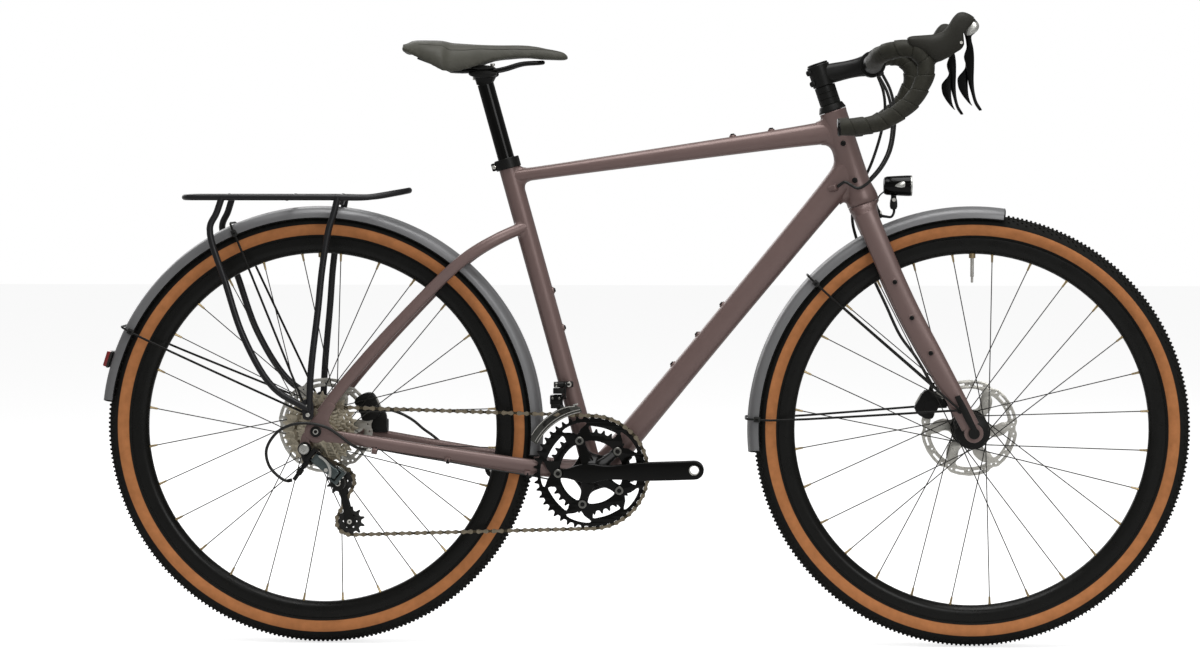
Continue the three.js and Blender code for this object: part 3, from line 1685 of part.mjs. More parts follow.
// A place on the loop for a count of links from its start, with the way along it.
function chainPlace(count) {
  let left = count;
  for (const leg of legs) {
    if (left <= leg.links || leg === legs[legs.length - 1]) {
      if (leg.run) {
        const spot = leg.run.start.clone().lerp(leg.run.end, left / leg.links);
        return { spot, direction: leg.run.direction };
      }
      const angle = leg.startAngle - leg.stop.turn * (left / leg.links) * leg.sweep;
      const radius = pitchRadius(leg.stop.teeth);
      const spot = leg.stop.centre.clone().add(
        new THREE.Vector2(Math.cos(angle), Math.sin(angle)).multiplyScalar(radius),
      );
      return { spot, direction: angle - leg.stop.turn * Math.PI * half };
    }
    left -= leg.links;
  }
  return null;
}

// Angle of the first roller that seats on a sprocket, for its teeth.
function rollerAngle(stop) {
  let passed = 0;
  for (const leg of legs) {
    if (leg.stop && leg.stop.centre.equals(stop.centre)) {
      const into = Math.ceil(passed) - passed;
      return leg.startAngle - stop.turn * (into * 2 * Math.PI) / stop.teeth;
    }
    passed += leg.links;
  }
  return 0;
}

const chain = {
  halfHigh: 3.7,
  pinHalf: 2.1,
  innerGap: 1.25,
  innerOuter: 2.05,
  outerGap: 1.85,
  outerOuter: 2.75,
};

// Tells whether the chain lies on a sprocket at a count of links, with a margin for its teeth.
function isSeated(count) {
  let passed = 0;
  for (const leg of legs) {
    const into = count - passed;
    const margin = leg.stop && leg.stop.teeth > innerRingTeeth ? 3 : 1.6;
    if (leg.stop && into > -margin && into < leg.links + margin) {
      return true;
    }
    passed += leg.links;
  }
  return false;
}

// The chain: link plates joined at every roller where it is seated on teeth, and a plain bar between.
function chainSolid() {
  const places = [];
  const faces = [];
  const perStation = 8;
  const open = [];
  for (let link = 0; link < chainLinks; link++) {
    const seatedBefore = isSeated(link - half);
    const seatedAfter = isSeated(link + half);
    if (!seatedBefore && !seatedAfter) {
      continue;
    }
    const { spot } = chainPlace(link);
    const next = chainPlace((link + half) % chainLinks).spot;
    const last = chainPlace((link - half + chainLinks) % chainLinks).spot;
    const along = next.clone().sub(last).normalize();
    const up = new THREE.Vector2(-along.y, along.x);
    for (const way of [-1, 1]) {
      const outerLink = (way > 0 ? link : link + 1) % 2 === 0;
      const near = outerLink ? chain.outerGap : chain.innerGap;
      const far = outerLink ? chain.outerOuter : chain.innerOuter;
      const middle = spot.clone().addScaledVector(along, way * chain.pinHalf);
      for (const [out, rise] of [
        [-far, -1],
        [-far, 1],
        [-near, 1],
        [near, 1],
        [far, 1],
        [far, -1],
        [near, -1],
        [-near, -1],
      ]) {
        const place = middle.clone().addScaledVector(up, rise * chain.halfHigh);
        places.push(place.x, out - chainLine, place.y);
      }
    }
    open.push(false, seatedAfter);
  }
  const count = open.length;
  const quad = (a, b, c, d) => faces.push(a, b, c, a, c, d);
  for (let station = 0; station < count; station++) {
    const a = station * perStation;
    const b = ((station + 1) % count) * perStation;
    quad(a, b, b + 1, a + 1);
    quad(a + 4, b + 4, b + 5, a + 5);
    quad(a + 1, b + 1, b + 2, a + 2);
    quad(a + 3, b + 3, b + 4, a + 4);
    quad(a + 5, b + 5, b + 6, a + 6);
    quad(a + 7, b + 7, b, a);
    if (open[station]) {
      quad(a + 2, b + 2, b + 7, a + 7);
      quad(a + 3, a + 6, b + 6, b + 3);
      continue;
    }
    quad(a + 2, b + 2, b + 3, a + 3);
    quad(a + 6, b + 6, b + 7, a + 7);
    if (open[(station - 1 + count) % count]) {
      quad(a + 2, a + 3, a + 6, a + 7);
    }
    if (open[(station + 1) % count]) {
      quad(b + 2, b + 7, b + 6, b + 3);
    }
  }
  const geometry = new THREE.BufferGeometry();
  geometry.setAttribute("position", new THREE.Float32BufferAttribute(places, 3));
  geometry.setIndex(faces);
  return outward(geometry);
}

add("chain", chainSolid(), darkSteel);

// Sprockets and rings
const tooth = { seatHalf: 2.2, seatDepth: 4.3, tipHalf: 5.6, tipHeight: 2.6, half: 0.9 };

// A tooth gap is centred on every roller; plain teeth keep one point at the tip and one at the root.
function toothOutline(teeth, firstRoller, detailed) {
  const radius = pitchRadius(teeth);
  const outline = [];
  for (let i = 0; i < teeth; i++) {
    const angle = firstRoller + (2 * Math.PI * i) / teeth;
    const at = (r, along) => [r * Math.cos(angle + along / radius), r * Math.sin(angle + along / radius)];
    if (detailed) {
      outline.push(at(radius - tooth.seatDepth, -tooth.seatHalf));
      outline.push(at(radius - tooth.seatDepth, tooth.seatHalf));
      outline.push(at(radius + tooth.tipHeight, chainPitch * half));
    } else {
      outline.push(at(radius + tooth.tipHeight * half, chainPitch * half));
    }
  }
  return outline;
}

const sprocketCornerShare = 0.5;

function cassetteSolid() {
  const core = 17;
  const bore = axleRadius + runningGap;
  const pieces = [];
  cassetteTeeth.forEach((teeth, i) => {
    const place = -chainLine + (i - sprocketInUse) * sprocketPitch;
    const inUse = i === sprocketInUse;
    const outline = inUse
      ? toothOutline(teeth, rollerAngle(chainStops(cageAngle)[0]), true)
      : circle(0, 0, pitchRadius(teeth) + tooth.tipHeight * half, Math.round(teeth * sprocketCornerShare));
    pieces.push(sidePlate(outline, place - tooth.half, place + tooth.half));
  });
  const outerEnd = -rearHubWidth * half;
  const lockEnd = -chainLine - sprocketInUse * sprocketPitch - tooth.half - 3;
  const innerEnd = -cassetteInner + tooth.half + half;
  pieces.push(disc(core, lockEnd, innerEnd, 10));
  pieces.push(disc(hub.capRadius, outerEnd, lockEnd + 1, 10));
  return cut(join(...pieces), disc(bore, -rearHubWidth, rearHubWidth, 10));
}

add("cassette", onAxle(cassetteSolid(), rearAxle), silver);

const ringTab = { outer: 72, inner: 47, half: 9 };

function chainring(teeth, phase, place, holeRadius, detailed) {
  const hole = [];
  const tabs = 5;
  for (let i = 0; i < tabs; i++) {
    const angle = crankTilt * degree + Math.PI / tabs + (2 * Math.PI * i) / tabs;
    const at = (radius, along) => [
      radius * Math.cos(angle + along / radius),
      radius * Math.sin(angle + along / radius),
    ];
    if (holeRadius > boltCircleRadius) {
      hole.push(at(holeRadius, -ringTab.half * 1.6));
      hole.push(at(ringTab.inner, -ringTab.half));
      hole.push(at(ringTab.inner, ringTab.half));
      hole.push(at(holeRadius, ringTab.half * 1.6));
      hole.push(at(holeRadius, holeRadius * Math.PI / tabs));
    } else {
      hole.push(at(holeRadius, 0));
      hole.push(at(holeRadius, (holeRadius * 2 * Math.PI) / (3 * tabs)));
      hole.push(at(holeRadius, (holeRadius * 4 * Math.PI) / (3 * tabs)));
    }
  }
  const outline = toothOutline(teeth, phase, detailed);
  return moved(sidePlate(outline, place - tooth.half, place + tooth.half, [hole]), bracket.x, 0, bracket.z);
}

const ringStop = chainStops(cageAngle)[1];
const outerRing = chainring(outerRingTeeth, rollerAngle(ringStop), -chainLine, ringTab.outer, true);
const innerRing = chainring(innerRingTeeth, 0, -chainLine + ringSpacing, ringTab.inner, false);
add("chainring_outer", outerRing, glossBlack);
add("chainring_inner", innerRing, satinBlack);

// Cranks
const crank = {
  hubInner: 36.6,
  hubOuter: 60,
  hubRadius: 19,
  armSide: 58,
  eyeSide: 80,
  wide: 7,
  high: 15,
  eyeRadius: 15.5,
};
const pedalThreadRadius = 7.1;

function crankArm(side) {
  const forward = side < 0 ? 1 : -1;
  const along = point(Math.cos(crankTilt * degree) * forward, 0, Math.sin(crankTilt * degree) * forward);
  const at = (share, out) =>
    bracket.clone().addScaledVector(along, crankLength * share).add(point(0, side * out, 0));
  const stations = [
    { at: at(0, crank.armSide), wide: crank.wide + 1.5, high: crank.high + 3 },
    { at: at(0.25, crank.armSide + 3), wide: crank.wide + 1, high: crank.high },
    { at: at(0.7, crank.eyeSide - 4), wide: crank.wide, high: crank.high - 2.5 },
    { at: at(1, crank.eyeSide), wide: crank.wide, high: crank.high - 1 },
  ];
  const eye = at(1, crank.eyeSide);
  const pad = moved(disc(crank.eyeRadius, -crank.wide, crank.wide, 12), eye.x, eye.y, eye.z);
  const [low, high] = side < 0 ? [-crank.hubOuter, -crank.hubInner] : [crank.hubInner, crank.hubOuter];
  const hubDisc = moved(disc(crank.hubRadius, low, high, 12), bracket.x, 0, bracket.z);
  const thread = moved(disc(pedalThreadRadius, -crank.eyeSide, crank.eyeSide, 8), eye.x, eye.y, eye.z);
  return cut(join(tube(stations, 8), pad, hubDisc), thread);
}

function spider() {
  const outer = -chainLine + tooth.half + gap;
  const inner = -chainLine + ringSpacing - tooth.half - gap;
  const outline = [];
  const arms = 5;
  const root = 17;
  const tip = boltCircleRadius + 7;
  for (let i = 0; i < arms; i++) {
    const angle = crankTilt * degree + Math.PI / arms + (2 * Math.PI * i) / arms;
    const at = (radius, along) => [
      radius * Math.cos(angle + along / radius),
      radius * Math.sin(angle + along / radius),
    ];
    outline.push(at(root + 4, -10));
    outline.push(at(tip, -6));
    outline.push(at(tip, 6));
    outline.push(at(root + 4, 10));
  }
  return moved(sidePlate(outline, outer, inner), bracket.x, 0, bracket.z);
}

function rightCrank() {
  const shaft = disc(spindleRadius, -crank.hubInner - 2, crank.hubOuter - 2, 12);
  const spindle = moved(shaft, bracket.x, 0, bracket.z);
  return join(crankArm(-1), spider(), spindle);
}

function leftCrank() {
  const bore = moved(disc(spindleRadius + gap, 0, crank.hubOuter - 2 + gap, 12), bracket.x, 0, bracket.z);
  return cut(crankArm(1), bore);
}

add("crank_right", rightCrank(), glossBlack);
add("crank_left", leftCrank(), glossBlack);

// Rear derailleur
const guideAt = point(guideStop.centre.x, 0, guideStop.centre.y);
const tensionAt = point(tensionStop.centre.x, 0, tensionStop.centre.y);
const linkWay = point(0.78, 0, -0.6258).normalize();
const linkAxis = point(-linkWay.z, 0, linkWay.x);
const mech = {
  outerY: -87,
  innerY: -69,
  linkHalf: 2,
  linkWide: 9,
  linkLength: 44,
  pinRadius: 3.6,
  blockBack: 12,
  blockRim: 4,
  blockOut: 92,
  blockIn: 64,
  reach: 19.5,
  mountBack: 1,
  mountDrop: 42.5,
};
const mountPivot = point(-mech.mountBack, 0, tyreRadius - mech.mountDrop);
const knucklePivot = mountPivot.clone().addScaledVector(linkWay, mech.linkLength);

function mechLink(place, extra) {
  const box = new THREE.BoxGeometry(
    mech.linkLength,
    2 * (mech.linkHalf + extra),
    2 * (mech.linkWide + extra),
  ).translate(mech.linkLength * half, 0, 0);
  const frameTurn = new THREE.Matrix4().makeBasis(linkWay, across, linkWay.clone().cross(across));
  box.applyMatrix4(frameTurn).translate(mountPivot.x, place, mountPivot.z);
  const ends = [mountPivot, knucklePivot].map((pivot) => {
    const centre = pivot.clone().setY(place);
    const reach = mech.linkWide + extra;
    return rod(
      centre.clone().addScaledVector(linkAxis, -reach),
      centre.clone().addScaledVector(linkAxis, reach),
      mech.pinRadius + extra,
      10,
    );
  });
  return join(box, ...ends);
}

// The fan that both links sweep round a pivot; the links lie forward of it or behind it.
function linkRooms(pivot, wayForward) {
  const radius = mech.pinRadius + runningGap;
  const length = mech.linkLength + radius * 2;
  const swing = mech.reach * degree;
  const quarter = Math.PI * half;
  const outline = [];
  for (let i = 0; i <= 4; i++) {
    const angle = quarter + swing + ((Math.PI - 2 * swing) * i) / 4;
    outline.push([radius * Math.cos(angle), radius * Math.sin(angle)]);
  }
  for (const turn of [-swing, swing]) {
    const across = turn < 0 ? -radius : radius;
    outline.push([
      length * Math.cos(turn) - across * Math.sin(turn),
      length * Math.sin(turn) + across * Math.cos(turn),
    ]);
  }
  const reach = mech.linkWide + runningGap;
  const fan = sidePlate(outline, -reach, reach);
  const ahead = linkWay.clone().multiplyScalar(wayForward);
  const basis = new THREE.Matrix4().makeBasis(ahead, linkAxis, point(0, 1, 0));
  return [mech.outerY, mech.innerY].map((place) => {
    const room = fan.clone().applyMatrix4(basis);
    return room.translate(pivot.x, place, pivot.z);
  });
}

function pivotBlock(pivot, wayBack) {
  const deep = mech.blockBack + mech.pinRadius;
  const box = new THREE.BoxGeometry(deep, mech.blockOut - mech.blockIn, 2 * (mech.linkWide + mech.blockRim));
  box.translate(-wayBack * (deep * half - mech.pinRadius), 0, 0);
  const frameTurn = new THREE.Matrix4().makeBasis(linkWay, across, linkWay.clone().cross(across));
  return box.applyMatrix4(frameTurn).translate(pivot.x, -(mech.blockOut + mech.blockIn) * half, pivot.z);
}

const hangerAt = point(dropout.hangerBack, 0, tyreRadius + dropout.hangerDown);
const barrel = {
  from: rearAxle.clone().add(point(-14, -84, -49)),
  to: rearAxle.clone().add(point(-36, -81, -79)),
  radius: 5,
};

function derailleurMount() {
  const boltStart = -dropoutOuter - gap;
  const knob = moved(disc(11, -mech.blockOut - 2, boltStart, 14), hangerAt.x, 0, hangerAt.z);
  const body = join(knob, pivotBlock(mountPivot, 1), rod(barrel.from, barrel.to, barrel.radius, 8));
  const hangerRoom = grownPlate(hangerOutline(), -dropoutOuter, -dropoutInner, gap);
  const dropoutRoom = moved(disc(dropout.radius + gap, boltStart, 0, 24), rearAxle.x, 0, rearAxle.z);
  const cogFace = -chainLine - sprocketInUse * sprocketPitch - tooth.half - gap;
  const cogRadius = pitchRadius(cassetteTeeth[0]) + tooth.tipHeight;
  const cogRoom = moved(disc(cogRadius, cogFace, 0, 24), rearAxle.x, 0, rearAxle.z);
  return cut(body, hangerRoom, dropoutRoom, cogRoom, ...linkRooms(mountPivot, 1));
}

function derailleurKnuckle() {
  const barrelRadius = 12;
  const inner = -chainLine - 9.2 - gap;
  const hubBarrel = moved(disc(barrelRadius, -mech.blockOut + 4, inner, 14), guideAt.x, 0, guideAt.z);
  return cut(join(hubBarrel, pivotBlock(knucklePivot, -1)), ...linkRooms(knucklePivot, -1));
}

add("derailleur_mount", derailleurMount(), darkSteel);
add("derailleur_outer_link", mechLink(mech.outerY, 0), satinBlack);
add("derailleur_inner_link", mechLink(mech.innerY, 0), satinBlack);
add("derailleur_knuckle", derailleurKnuckle(), darkSteel);

const cage = { inside: 7, plate: 2, endRadius: 9, waist: 6, pinRadius: 2.6 };

function cagePlate(fromY, toY) {
  const way = tensionAt.clone().sub(guideAt).normalize();
  const cross = point(-way.z, 0, way.x);
  const at = (share, out) => {
    const spot = guideAt.clone().lerp(tensionAt, share).addScaledVector(cross, out);
    return [spot.x, spot.z];
  };
  const r = cage.endRadius / pulleySpacing;
  const outline = [
    at(-r, cage.endRadius * half),
    at(0, cage.endRadius),
    at(0.25, cage.waist),
    at(0.75, cage.waist),
    at(1, cage.endRadius),
    at(1 + r, cage.endRadius * half),
    at(1 + r, -cage.endRadius * half),
    at(1, -cage.endRadius),
    at(0.75, -cage.waist),
    at(0.25, -cage.waist),
    at(0, -cage.endRadius),
    at(-r, -cage.endRadius * half),
  ];
  return sidePlate(outline, fromY, toY);
}

function cageSolid() {
  const outer = -chainLine - cage.inside;
  const inner = -chainLine + cage.inside;
  const pins = [guideAt, tensionAt].map((spot) =>
    moved(disc(cage.pinRadius, outer - half, inner + half, 8), spot.x, 0, spot.z),
  );
  return join(cagePlate(outer - cage.plate, outer), cagePlate(inner, inner + cage.plate), ...pins);
}

add("derailleur_cage", cageSolid(), satinBlack);

function pulley(stop) {
  const phase = rollerAngle(stop);
  const teeth = toothOutline(pulleyTeeth, phase, true);
  const wheel = sidePlate(teeth, -chainLine - tooth.half, -chainLine + tooth.half);
  const boss = disc(7, -chainLine - cage.inside + gap, -chainLine + cage.inside - gap, 6);
  const bore = disc(cage.pinRadius + 2 * gap, -2 * chainLine, 0, 8);
  return moved(cut(join(wheel, boss), bore), stop.centre.x, 0, stop.centre.y);
}

add("guide_pulley", pulley(guideStop), satinBlack);
add("tension_pulley", pulley(tensionStop), satinBlack);

// Front derailleur
const front = {
  pivot: bracket.clone().add(point(-54, -31, 143)),
  foot: bracket.clone().add(point(-54, -31, 123)),
  cageInner: 99.8,
  cageOuter: 117,
  from: 99,
  to: 153,
  offset: 5.5,
  plate: 1.2,
};

function roundBracket(radius, angle) {
  return [bracket.x + radius * Math.cos(angle), bracket.z + radius * Math.sin(angle)];
}

function frontCagePlate(place) {
  const steps = 5;
  const outline = [];
  for (let i = 0; i <= steps; i++) {
    const angle = (front.from + ((front.to - front.from) * i) / steps) * degree;
    outline.push(roundBracket(front.cageInner, angle));
  }
  for (let i = steps; i >= 0; i--) {
    const angle = (front.from + ((front.to - front.from) * i) / steps) * degree;
    outline.push(roundBracket(front.cageOuter, angle));
  }
  return sidePlate(outline, place - front.plate * half, place + front.plate * half);
}

function frontCage() {
  const middle = -chainLine;
  const bridgeAt = (angle, wide) => {
    const radius = front.cageOuter - 2;
    const [x, z] = roundBracket(radius, angle * degree);
    const spot = point(x, middle, z);
    return block(spot, wide, 2 * front.offset, 3);
  };
  const arm = block(
    point(front.foot.x, (front.foot.y + middle + front.offset) * half, front.foot.z - 13),
    14,
    Math.abs(front.foot.y - middle - front.offset) + 3,
    18,
  );
  const eye = rod(
    front.foot.clone().add(point(-8, 0, 0)),
    front.foot.clone().add(point(8, 0, 0)),
    4,
    8,
  );
  const web = block(front.foot.clone().add(point(0, 0, -5)), 14, 5, 9);
  return join(
    frontCagePlate(middle - front.offset),
    frontCagePlate(middle + front.offset),
    bridgeAt(front.from + 4, 8),
    bridgeAt(front.to - 3, 4),
    arm,
    web,
    eye,
  );
}

add("front_derailleur_cage", frontCage(), silver);

function frontLink() {
  const top = front.pivot.clone();
  const eyes = [top, front.foot].map((spot) =>
    rod(spot.clone().add(point(8.6, 0, 0)), spot.clone().add(point(12, 0, 0)), 4.5, 8),
  );
  const web = block(point(top.x + 10.3, top.y, (top.z + front.foot.z) * half), 3.4, 6, top.z - front.foot.z);
  return join(...eyes, web);
}

add("front_derailleur_link", frontLink(), silver);

function frontMount() {
  const seat = onSeatTube((front.pivot.z - bracket.z) / seatUp.z);
  const arm = block(point((seat.x + front.pivot.x) * half, -seatTubeRadius - 3, front.pivot.z), 34, 12, 10);
  const eye = rod(
    front.pivot.clone().add(point(-8, 0, 0)),
    front.pivot.clone().add(point(8, 0, 0)),
    5,
    8,
  );
  const web = block(point(front.pivot.x, front.pivot.y + 5, front.pivot.z), 14, 10, 8);
  const tubeRoom = rod(bracket, onSeatTube(seatTubeLength), seatTubeRadius + gap, 12);
  return cut(join(arm, eye, web), tubeRoom);
}

add("front_derailleur_mount", frontMount(), silver);

// Brake calipers on the left, over the discs
const caliper = { along: 44, inner: 62, outer: 96, near: 31, far: 52, slot: 2.1 };
const rearFoot = rearAxle.clone().add(point(88, 60, -1));
const frontFoot = frontAxle.clone().add(point(-52, 53, 46));
const caliperRoom = disc(rotorRadius + 2, rotorOffset - caliper.slot, rotorOffset + caliper.slot, 36);

function caliperBlock(angle) {
  const middle = (caliper.inner + caliper.outer) * half;
  const box = new THREE.BoxGeometry(caliper.outer - caliper.inner, caliper.far - caliper.near, caliper.along);
  box.translate(middle, (caliper.far + caliper.near) * half, 0).rotateY(-angle * degree);
  const slot = new THREE.BoxGeometry(caliper.outer, 2 * caliper.slot, caliper.along * 2);
  slot.translate(rotorRadius + 3 - caliper.outer * half, rotorOffset, 0).rotateY(-angle * degree);
  return cut(box, slot);
}

function rearCaliper() {
  const body = moved(caliperBlock(24), rearAxle.x, 0, rearAxle.z);
  const foot = block(rearFoot, 30, 26, 24);
  return cut(join(body, foot), chainstayTube(1, gap), onAxle(caliperRoom, rearAxle));
}

function frontCaliper() {
  const body = moved(caliperBlock(150), frontAxle.x, 0, frontAxle.z);
  const foot = block(frontFoot, 34, 12, 30);
  return cut(join(body, foot), forkLeg(1, gap), onAxle(caliperRoom, frontAxle));
}

add("rear_caliper", rearCaliper(), satinBlack);
add("front_caliper", frontCaliper(), satinBlack);

// Headlight on the fork crown
const crownFront = onSteering(crown.deep - crown.back + gap, 0, forkLength - crown.shoulder - 4);
const lamp = {
  pivot: crownFront.clone().add(point(24.2, 0, 24.2)),
  back: crownFront.x + 7.2,
  front: crownFront.x + 54.2,
  middle: crownFront.z + 47.2,
  radius: 17,
  armHalf: 4,
};

function lampBody() {
  const profile = [
    [0, 0],
    [lamp.radius * 0.55, 0],
    [lamp.radius * 0.85, (lamp.front - lamp.back) * 0.3],
    [lamp.radius, (lamp.front - lamp.back) * 0.75],
    [lamp.radius, lamp.front - lamp.back],
    [lamp.radius - 3, lamp.front - lamp.back],
    [lamp.radius - 4, lamp.front - lamp.back - 8],
    [0, lamp.front - lamp.back - 8],
  ];
  const shell = aimed(revolve(profile, 10), point(lamp.back, 0, lamp.middle), point(1, 0, 0));
  const ear = block(point(lamp.pivot.x, 0, lamp.pivot.z + 3), 8, 2 * lamp.armHalf - 1, 13);
  return join(shell, ear);
}

function lampLens() {
  const radius = lamp.radius - 3 - gap;
  const profile = [
    [0, 0],
    [radius - 1, 0],
    [radius, 7],
    [radius * 0.5, 8.4],
    [0, 8.8],
  ];
  return aimed(revolve(profile, 10), point(lamp.front - 8 + gap, 0, lamp.middle), point(1, 0, 0));
}

function lampBracket() {
  const foot = block(point(crownFront.x + 4, 0, crownFront.z - 2), 5, 16, 16);
  const shelf = block(point(crownFront.x + 14, 0, crownFront.z - 4), 24, 14, 4);
  const top = lamp.pivot.z + 3.5;
  const bottom = crownFront.z - 6;
  const ears = [1, -1].map((side) =>
    block(
      point(lamp.pivot.x, side * (lamp.armHalf + 1.3), (top + bottom) * half),
      8,
      3,
      top - bottom,
    ),
  );
  return cut(join(foot, shelf, ...ears), crownSolid(gap));
}

add("headlight", lampBody(), satinBlack);
add("headlight_lens", lampLens(), clearLens);
add("headlight_bracket", lampBracket(), satinBlack);

// Housings and hoses, whose routes are lists of points
const housingRadius = 2.5;

// A place before and beside the steering axis, at a share of the stem's height.
function fromStem(forward, left, upShare) {
  return onSteering(forward, left, upShare * stemHeight);
}

function fromAxle(axle, forward, left, up) {
  return axle.clone().add(point(forward, left, up));
}

function gearHousing(side) {
  const mouth = portEnd(side);
  return bentTube(
    [
      fromStem(91.8, side * 62, 0.9556),
      fromStem(96.9, side * 56, 0.9031),
      fromStem(94, side * 48, 0.8532),
      fromStem(83.4, side * 42, 0.7989),
      fromStem(64.5, side * 40, 0.7457),
      fromStem(35.4, side * 41, 0.6963),
      fromStem(-0.7, side * 40, 0.6645),
      mouth.clone().add(point(12, side * 5, 8)),
      mouth.clone().add(point(1, side * 0.5, 0.7)),
    ],
    housingRadius,
    5,
    13,
  );
}

add("gear_housing_right", gearHousing(-1), blackRubber);
add("gear_housing_left", gearHousing(1), blackRubber);

function frontHose() {
  return bentTube(
    [
      fromStem(91.8, 84, 0.9556),
      fromStem(92.1, 76, 0.9057),
      fromStem(82.9, 66, 0.8506),
      fromStem(65.2, 60, 0.8002),
      fromStem(37.6, 60, 0.738),
      fromStem(5.3, 66, 0.6784),
      fromStem(-21.3, 72, 0.6156),
      fromStem(-27, 68, 0.5467),
      fromStem(-23.3, 59, 0.4623),
      fromStem(-16.1, 54, 0.364),
      fromStem(-8.9, 53, 0.2657),
      fromAxle(frontAxle, -89, 52, 118),
      fromAxle(frontAxle, -71, 50, 88),
      fromAxle(frontAxle, -62, 48, 70),
      fromAxle(frontAxle, -64.6, 47, 63.8),
    ],
    housingRadius,
    5,
    18,
  );
}

add("front_brake_hose", frontHose(), blackRubber);

function rearHousing() {
  const stop = chainstayStopFace();
  return bentTube(
    [
      stop.clone().add(point(-1.2, 0, 0.2)),
      stop.clone().add(point(-9, 0, 1.5)),
      stop.clone().add(point(-18, -7, 3.5)),
      fromAxle(rearAxle, 60, -80, -22),
      fromAxle(rearAxle, 17.6, -86, 8),
      fromAxle(rearAxle, -29, -90, 14),
      fromAxle(rearAxle, -60.5, -90, 1),
      fromAxle(rearAxle, -80, -88, -28),
      fromAxle(rearAxle, -77, -86, -54),
      fromAxle(rearAxle, -62, -83, -73),
      fromAxle(rearAxle, -48, -81, -81),
      barrel.to.clone().add(point(-3.4, 0, -0.5)),
    ],
    housingRadius,
    5,
    20,
  );
}

add("rear_gear_housing", rearHousing(), blackRubber);

// The origin is on the ground, in the middle of the object's box.
const reach = new THREE.Box3().setFromObject(bicycle);
bicycle.position.x = -(reach.min.x + reach.max.x) * half;

export default bicycle;
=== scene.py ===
# Touring bicycle with mudguards, rack and lights, seen from the side of its chain.
import bpy
import bmesh
import math
from mathutils import Matrix, Vector
from mathutils.bvhtree import BVHTree


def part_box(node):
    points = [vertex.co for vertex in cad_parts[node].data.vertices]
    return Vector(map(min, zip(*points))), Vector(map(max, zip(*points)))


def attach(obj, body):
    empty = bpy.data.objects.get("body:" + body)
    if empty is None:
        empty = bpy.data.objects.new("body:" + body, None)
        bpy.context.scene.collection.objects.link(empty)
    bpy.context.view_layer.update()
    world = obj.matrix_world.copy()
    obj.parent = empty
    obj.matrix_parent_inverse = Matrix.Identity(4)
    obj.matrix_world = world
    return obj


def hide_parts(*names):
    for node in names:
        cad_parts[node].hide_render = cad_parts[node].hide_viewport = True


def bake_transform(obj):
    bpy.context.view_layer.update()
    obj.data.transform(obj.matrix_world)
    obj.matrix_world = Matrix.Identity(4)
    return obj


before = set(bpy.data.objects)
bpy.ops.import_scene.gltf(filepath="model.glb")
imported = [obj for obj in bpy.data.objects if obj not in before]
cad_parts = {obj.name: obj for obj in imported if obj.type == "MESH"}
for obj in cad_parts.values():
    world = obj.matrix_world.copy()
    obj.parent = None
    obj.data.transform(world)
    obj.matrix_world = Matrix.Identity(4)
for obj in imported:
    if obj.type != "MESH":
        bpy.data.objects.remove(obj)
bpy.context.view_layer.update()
bpy.context.scene.view_settings.view_transform = "Standard"

# Places are written in millimetres: X forward of the rear axle, Y to the left, Z above the ground.
middleX = 533.104248
wheel = {"base": 1074, "radius": 358, "spokes": 28}
headAngle, seatAngle, rake, crankLength = 71.5, 74.5, 51, 170
rearAxle = (0, wheel["radius"])
frontAxle = (wheel["base"], wheel["radius"])
bracket = (450, 290)
headTilt = math.radians(headAngle - 90)
steeringFoot = wheel["base"] - rake / math.sin(math.radians(headAngle))
seatWay = (-math.cos(math.radians(seatAngle)), math.sin(math.radians(seatAngle)))


def at(x, y, z):
    return Vector(((x - middleX) / 1000, y / 1000, z / 1000))


def centreOf(spot, y=0):
    return at(spot[0], y, spot[1])


def onSteering(forward, left, up):
    # A place by its distances in front of the steering axis, to the left and above the axle's height.
    c, s = math.cos(headTilt), math.sin(headTilt)
    return at(steeringFoot + forward * c + up * s, left, wheel["radius"] - forward * s + up * c)


def onSeatTube(distance, left=0, forward=0):
    x = bracket[0] + seatWay[0] * distance + seatWay[1] * forward
    return at(x, left, bracket[1] + seatWay[1] * distance - seatWay[0] * forward)


steeringUp = (onSteering(0, 0, 1) - onSteering(0, 0, 0)).normalized()
steeringForward = Vector((math.cos(headTilt), 0, -math.sin(headTilt)))
seatUp = Vector((seatWay[0], 0, seatWay[1]))
across = Vector((0, 1, 0))


# Finishes
def tone(code, share=1.0):
    parts = [int(code[i:i + 2], 16) / 255 for i in (1, 3, 5)]
    return tuple(min(1, share * (c / 12.92 if c <= 0.04045 else ((c + 0.055) / 1.055) ** 2.4)) for c in parts) + (1.0,
            )


def node(tree, kind, values=None, **props):
    made = tree.nodes.new(kind)
    for key, value in props.items():
        setattr(made, key, value)
    for key, value in (values or {}).items():
        if isinstance(value, bpy.types.NodeSocket):
            tree.links.new(value, made.inputs[key])
        else:
            made.inputs[key].default_value = value
    return made


def radiusField(tree, place, centre):
    # Distance from a wheel's axle, in metres.
    x, _, z = centreOf(centre)
    moved = node(tree, "ShaderNodeVectorMath", {0: place, 1: (x, 0, z)}, operation="SUBTRACT")
    flat = node(tree, "ShaderNodeVectorMath", {0: moved.outputs[0], 1: (1, 0, 1)}, operation="MULTIPLY")
    return node(tree, "ShaderNodeVectorMath", {0: flat.outputs[0]}, operation="LENGTH").outputs["Value"]


def noise(tree, place, scale, detail):
    return node(tree, "ShaderNodeTexNoise", {"Vector": place, "Scale": scale, "Detail": detail}).outputs[0]


def ranged(tree, value, start, end, low=0.0, high=1.0):
    limits = {"Value": value, "From Min": start, "From Max": end, "To Min": low, "To Max": high}
    return node(tree, "ShaderNodeMapRange", limits).outputs[0]


def mixed(tree, share, first, second):
    return node(tree, "ShaderNodeMix", {"Factor": share, "A": first, "B": second}, data_type="RGBA").outputs["Result"]


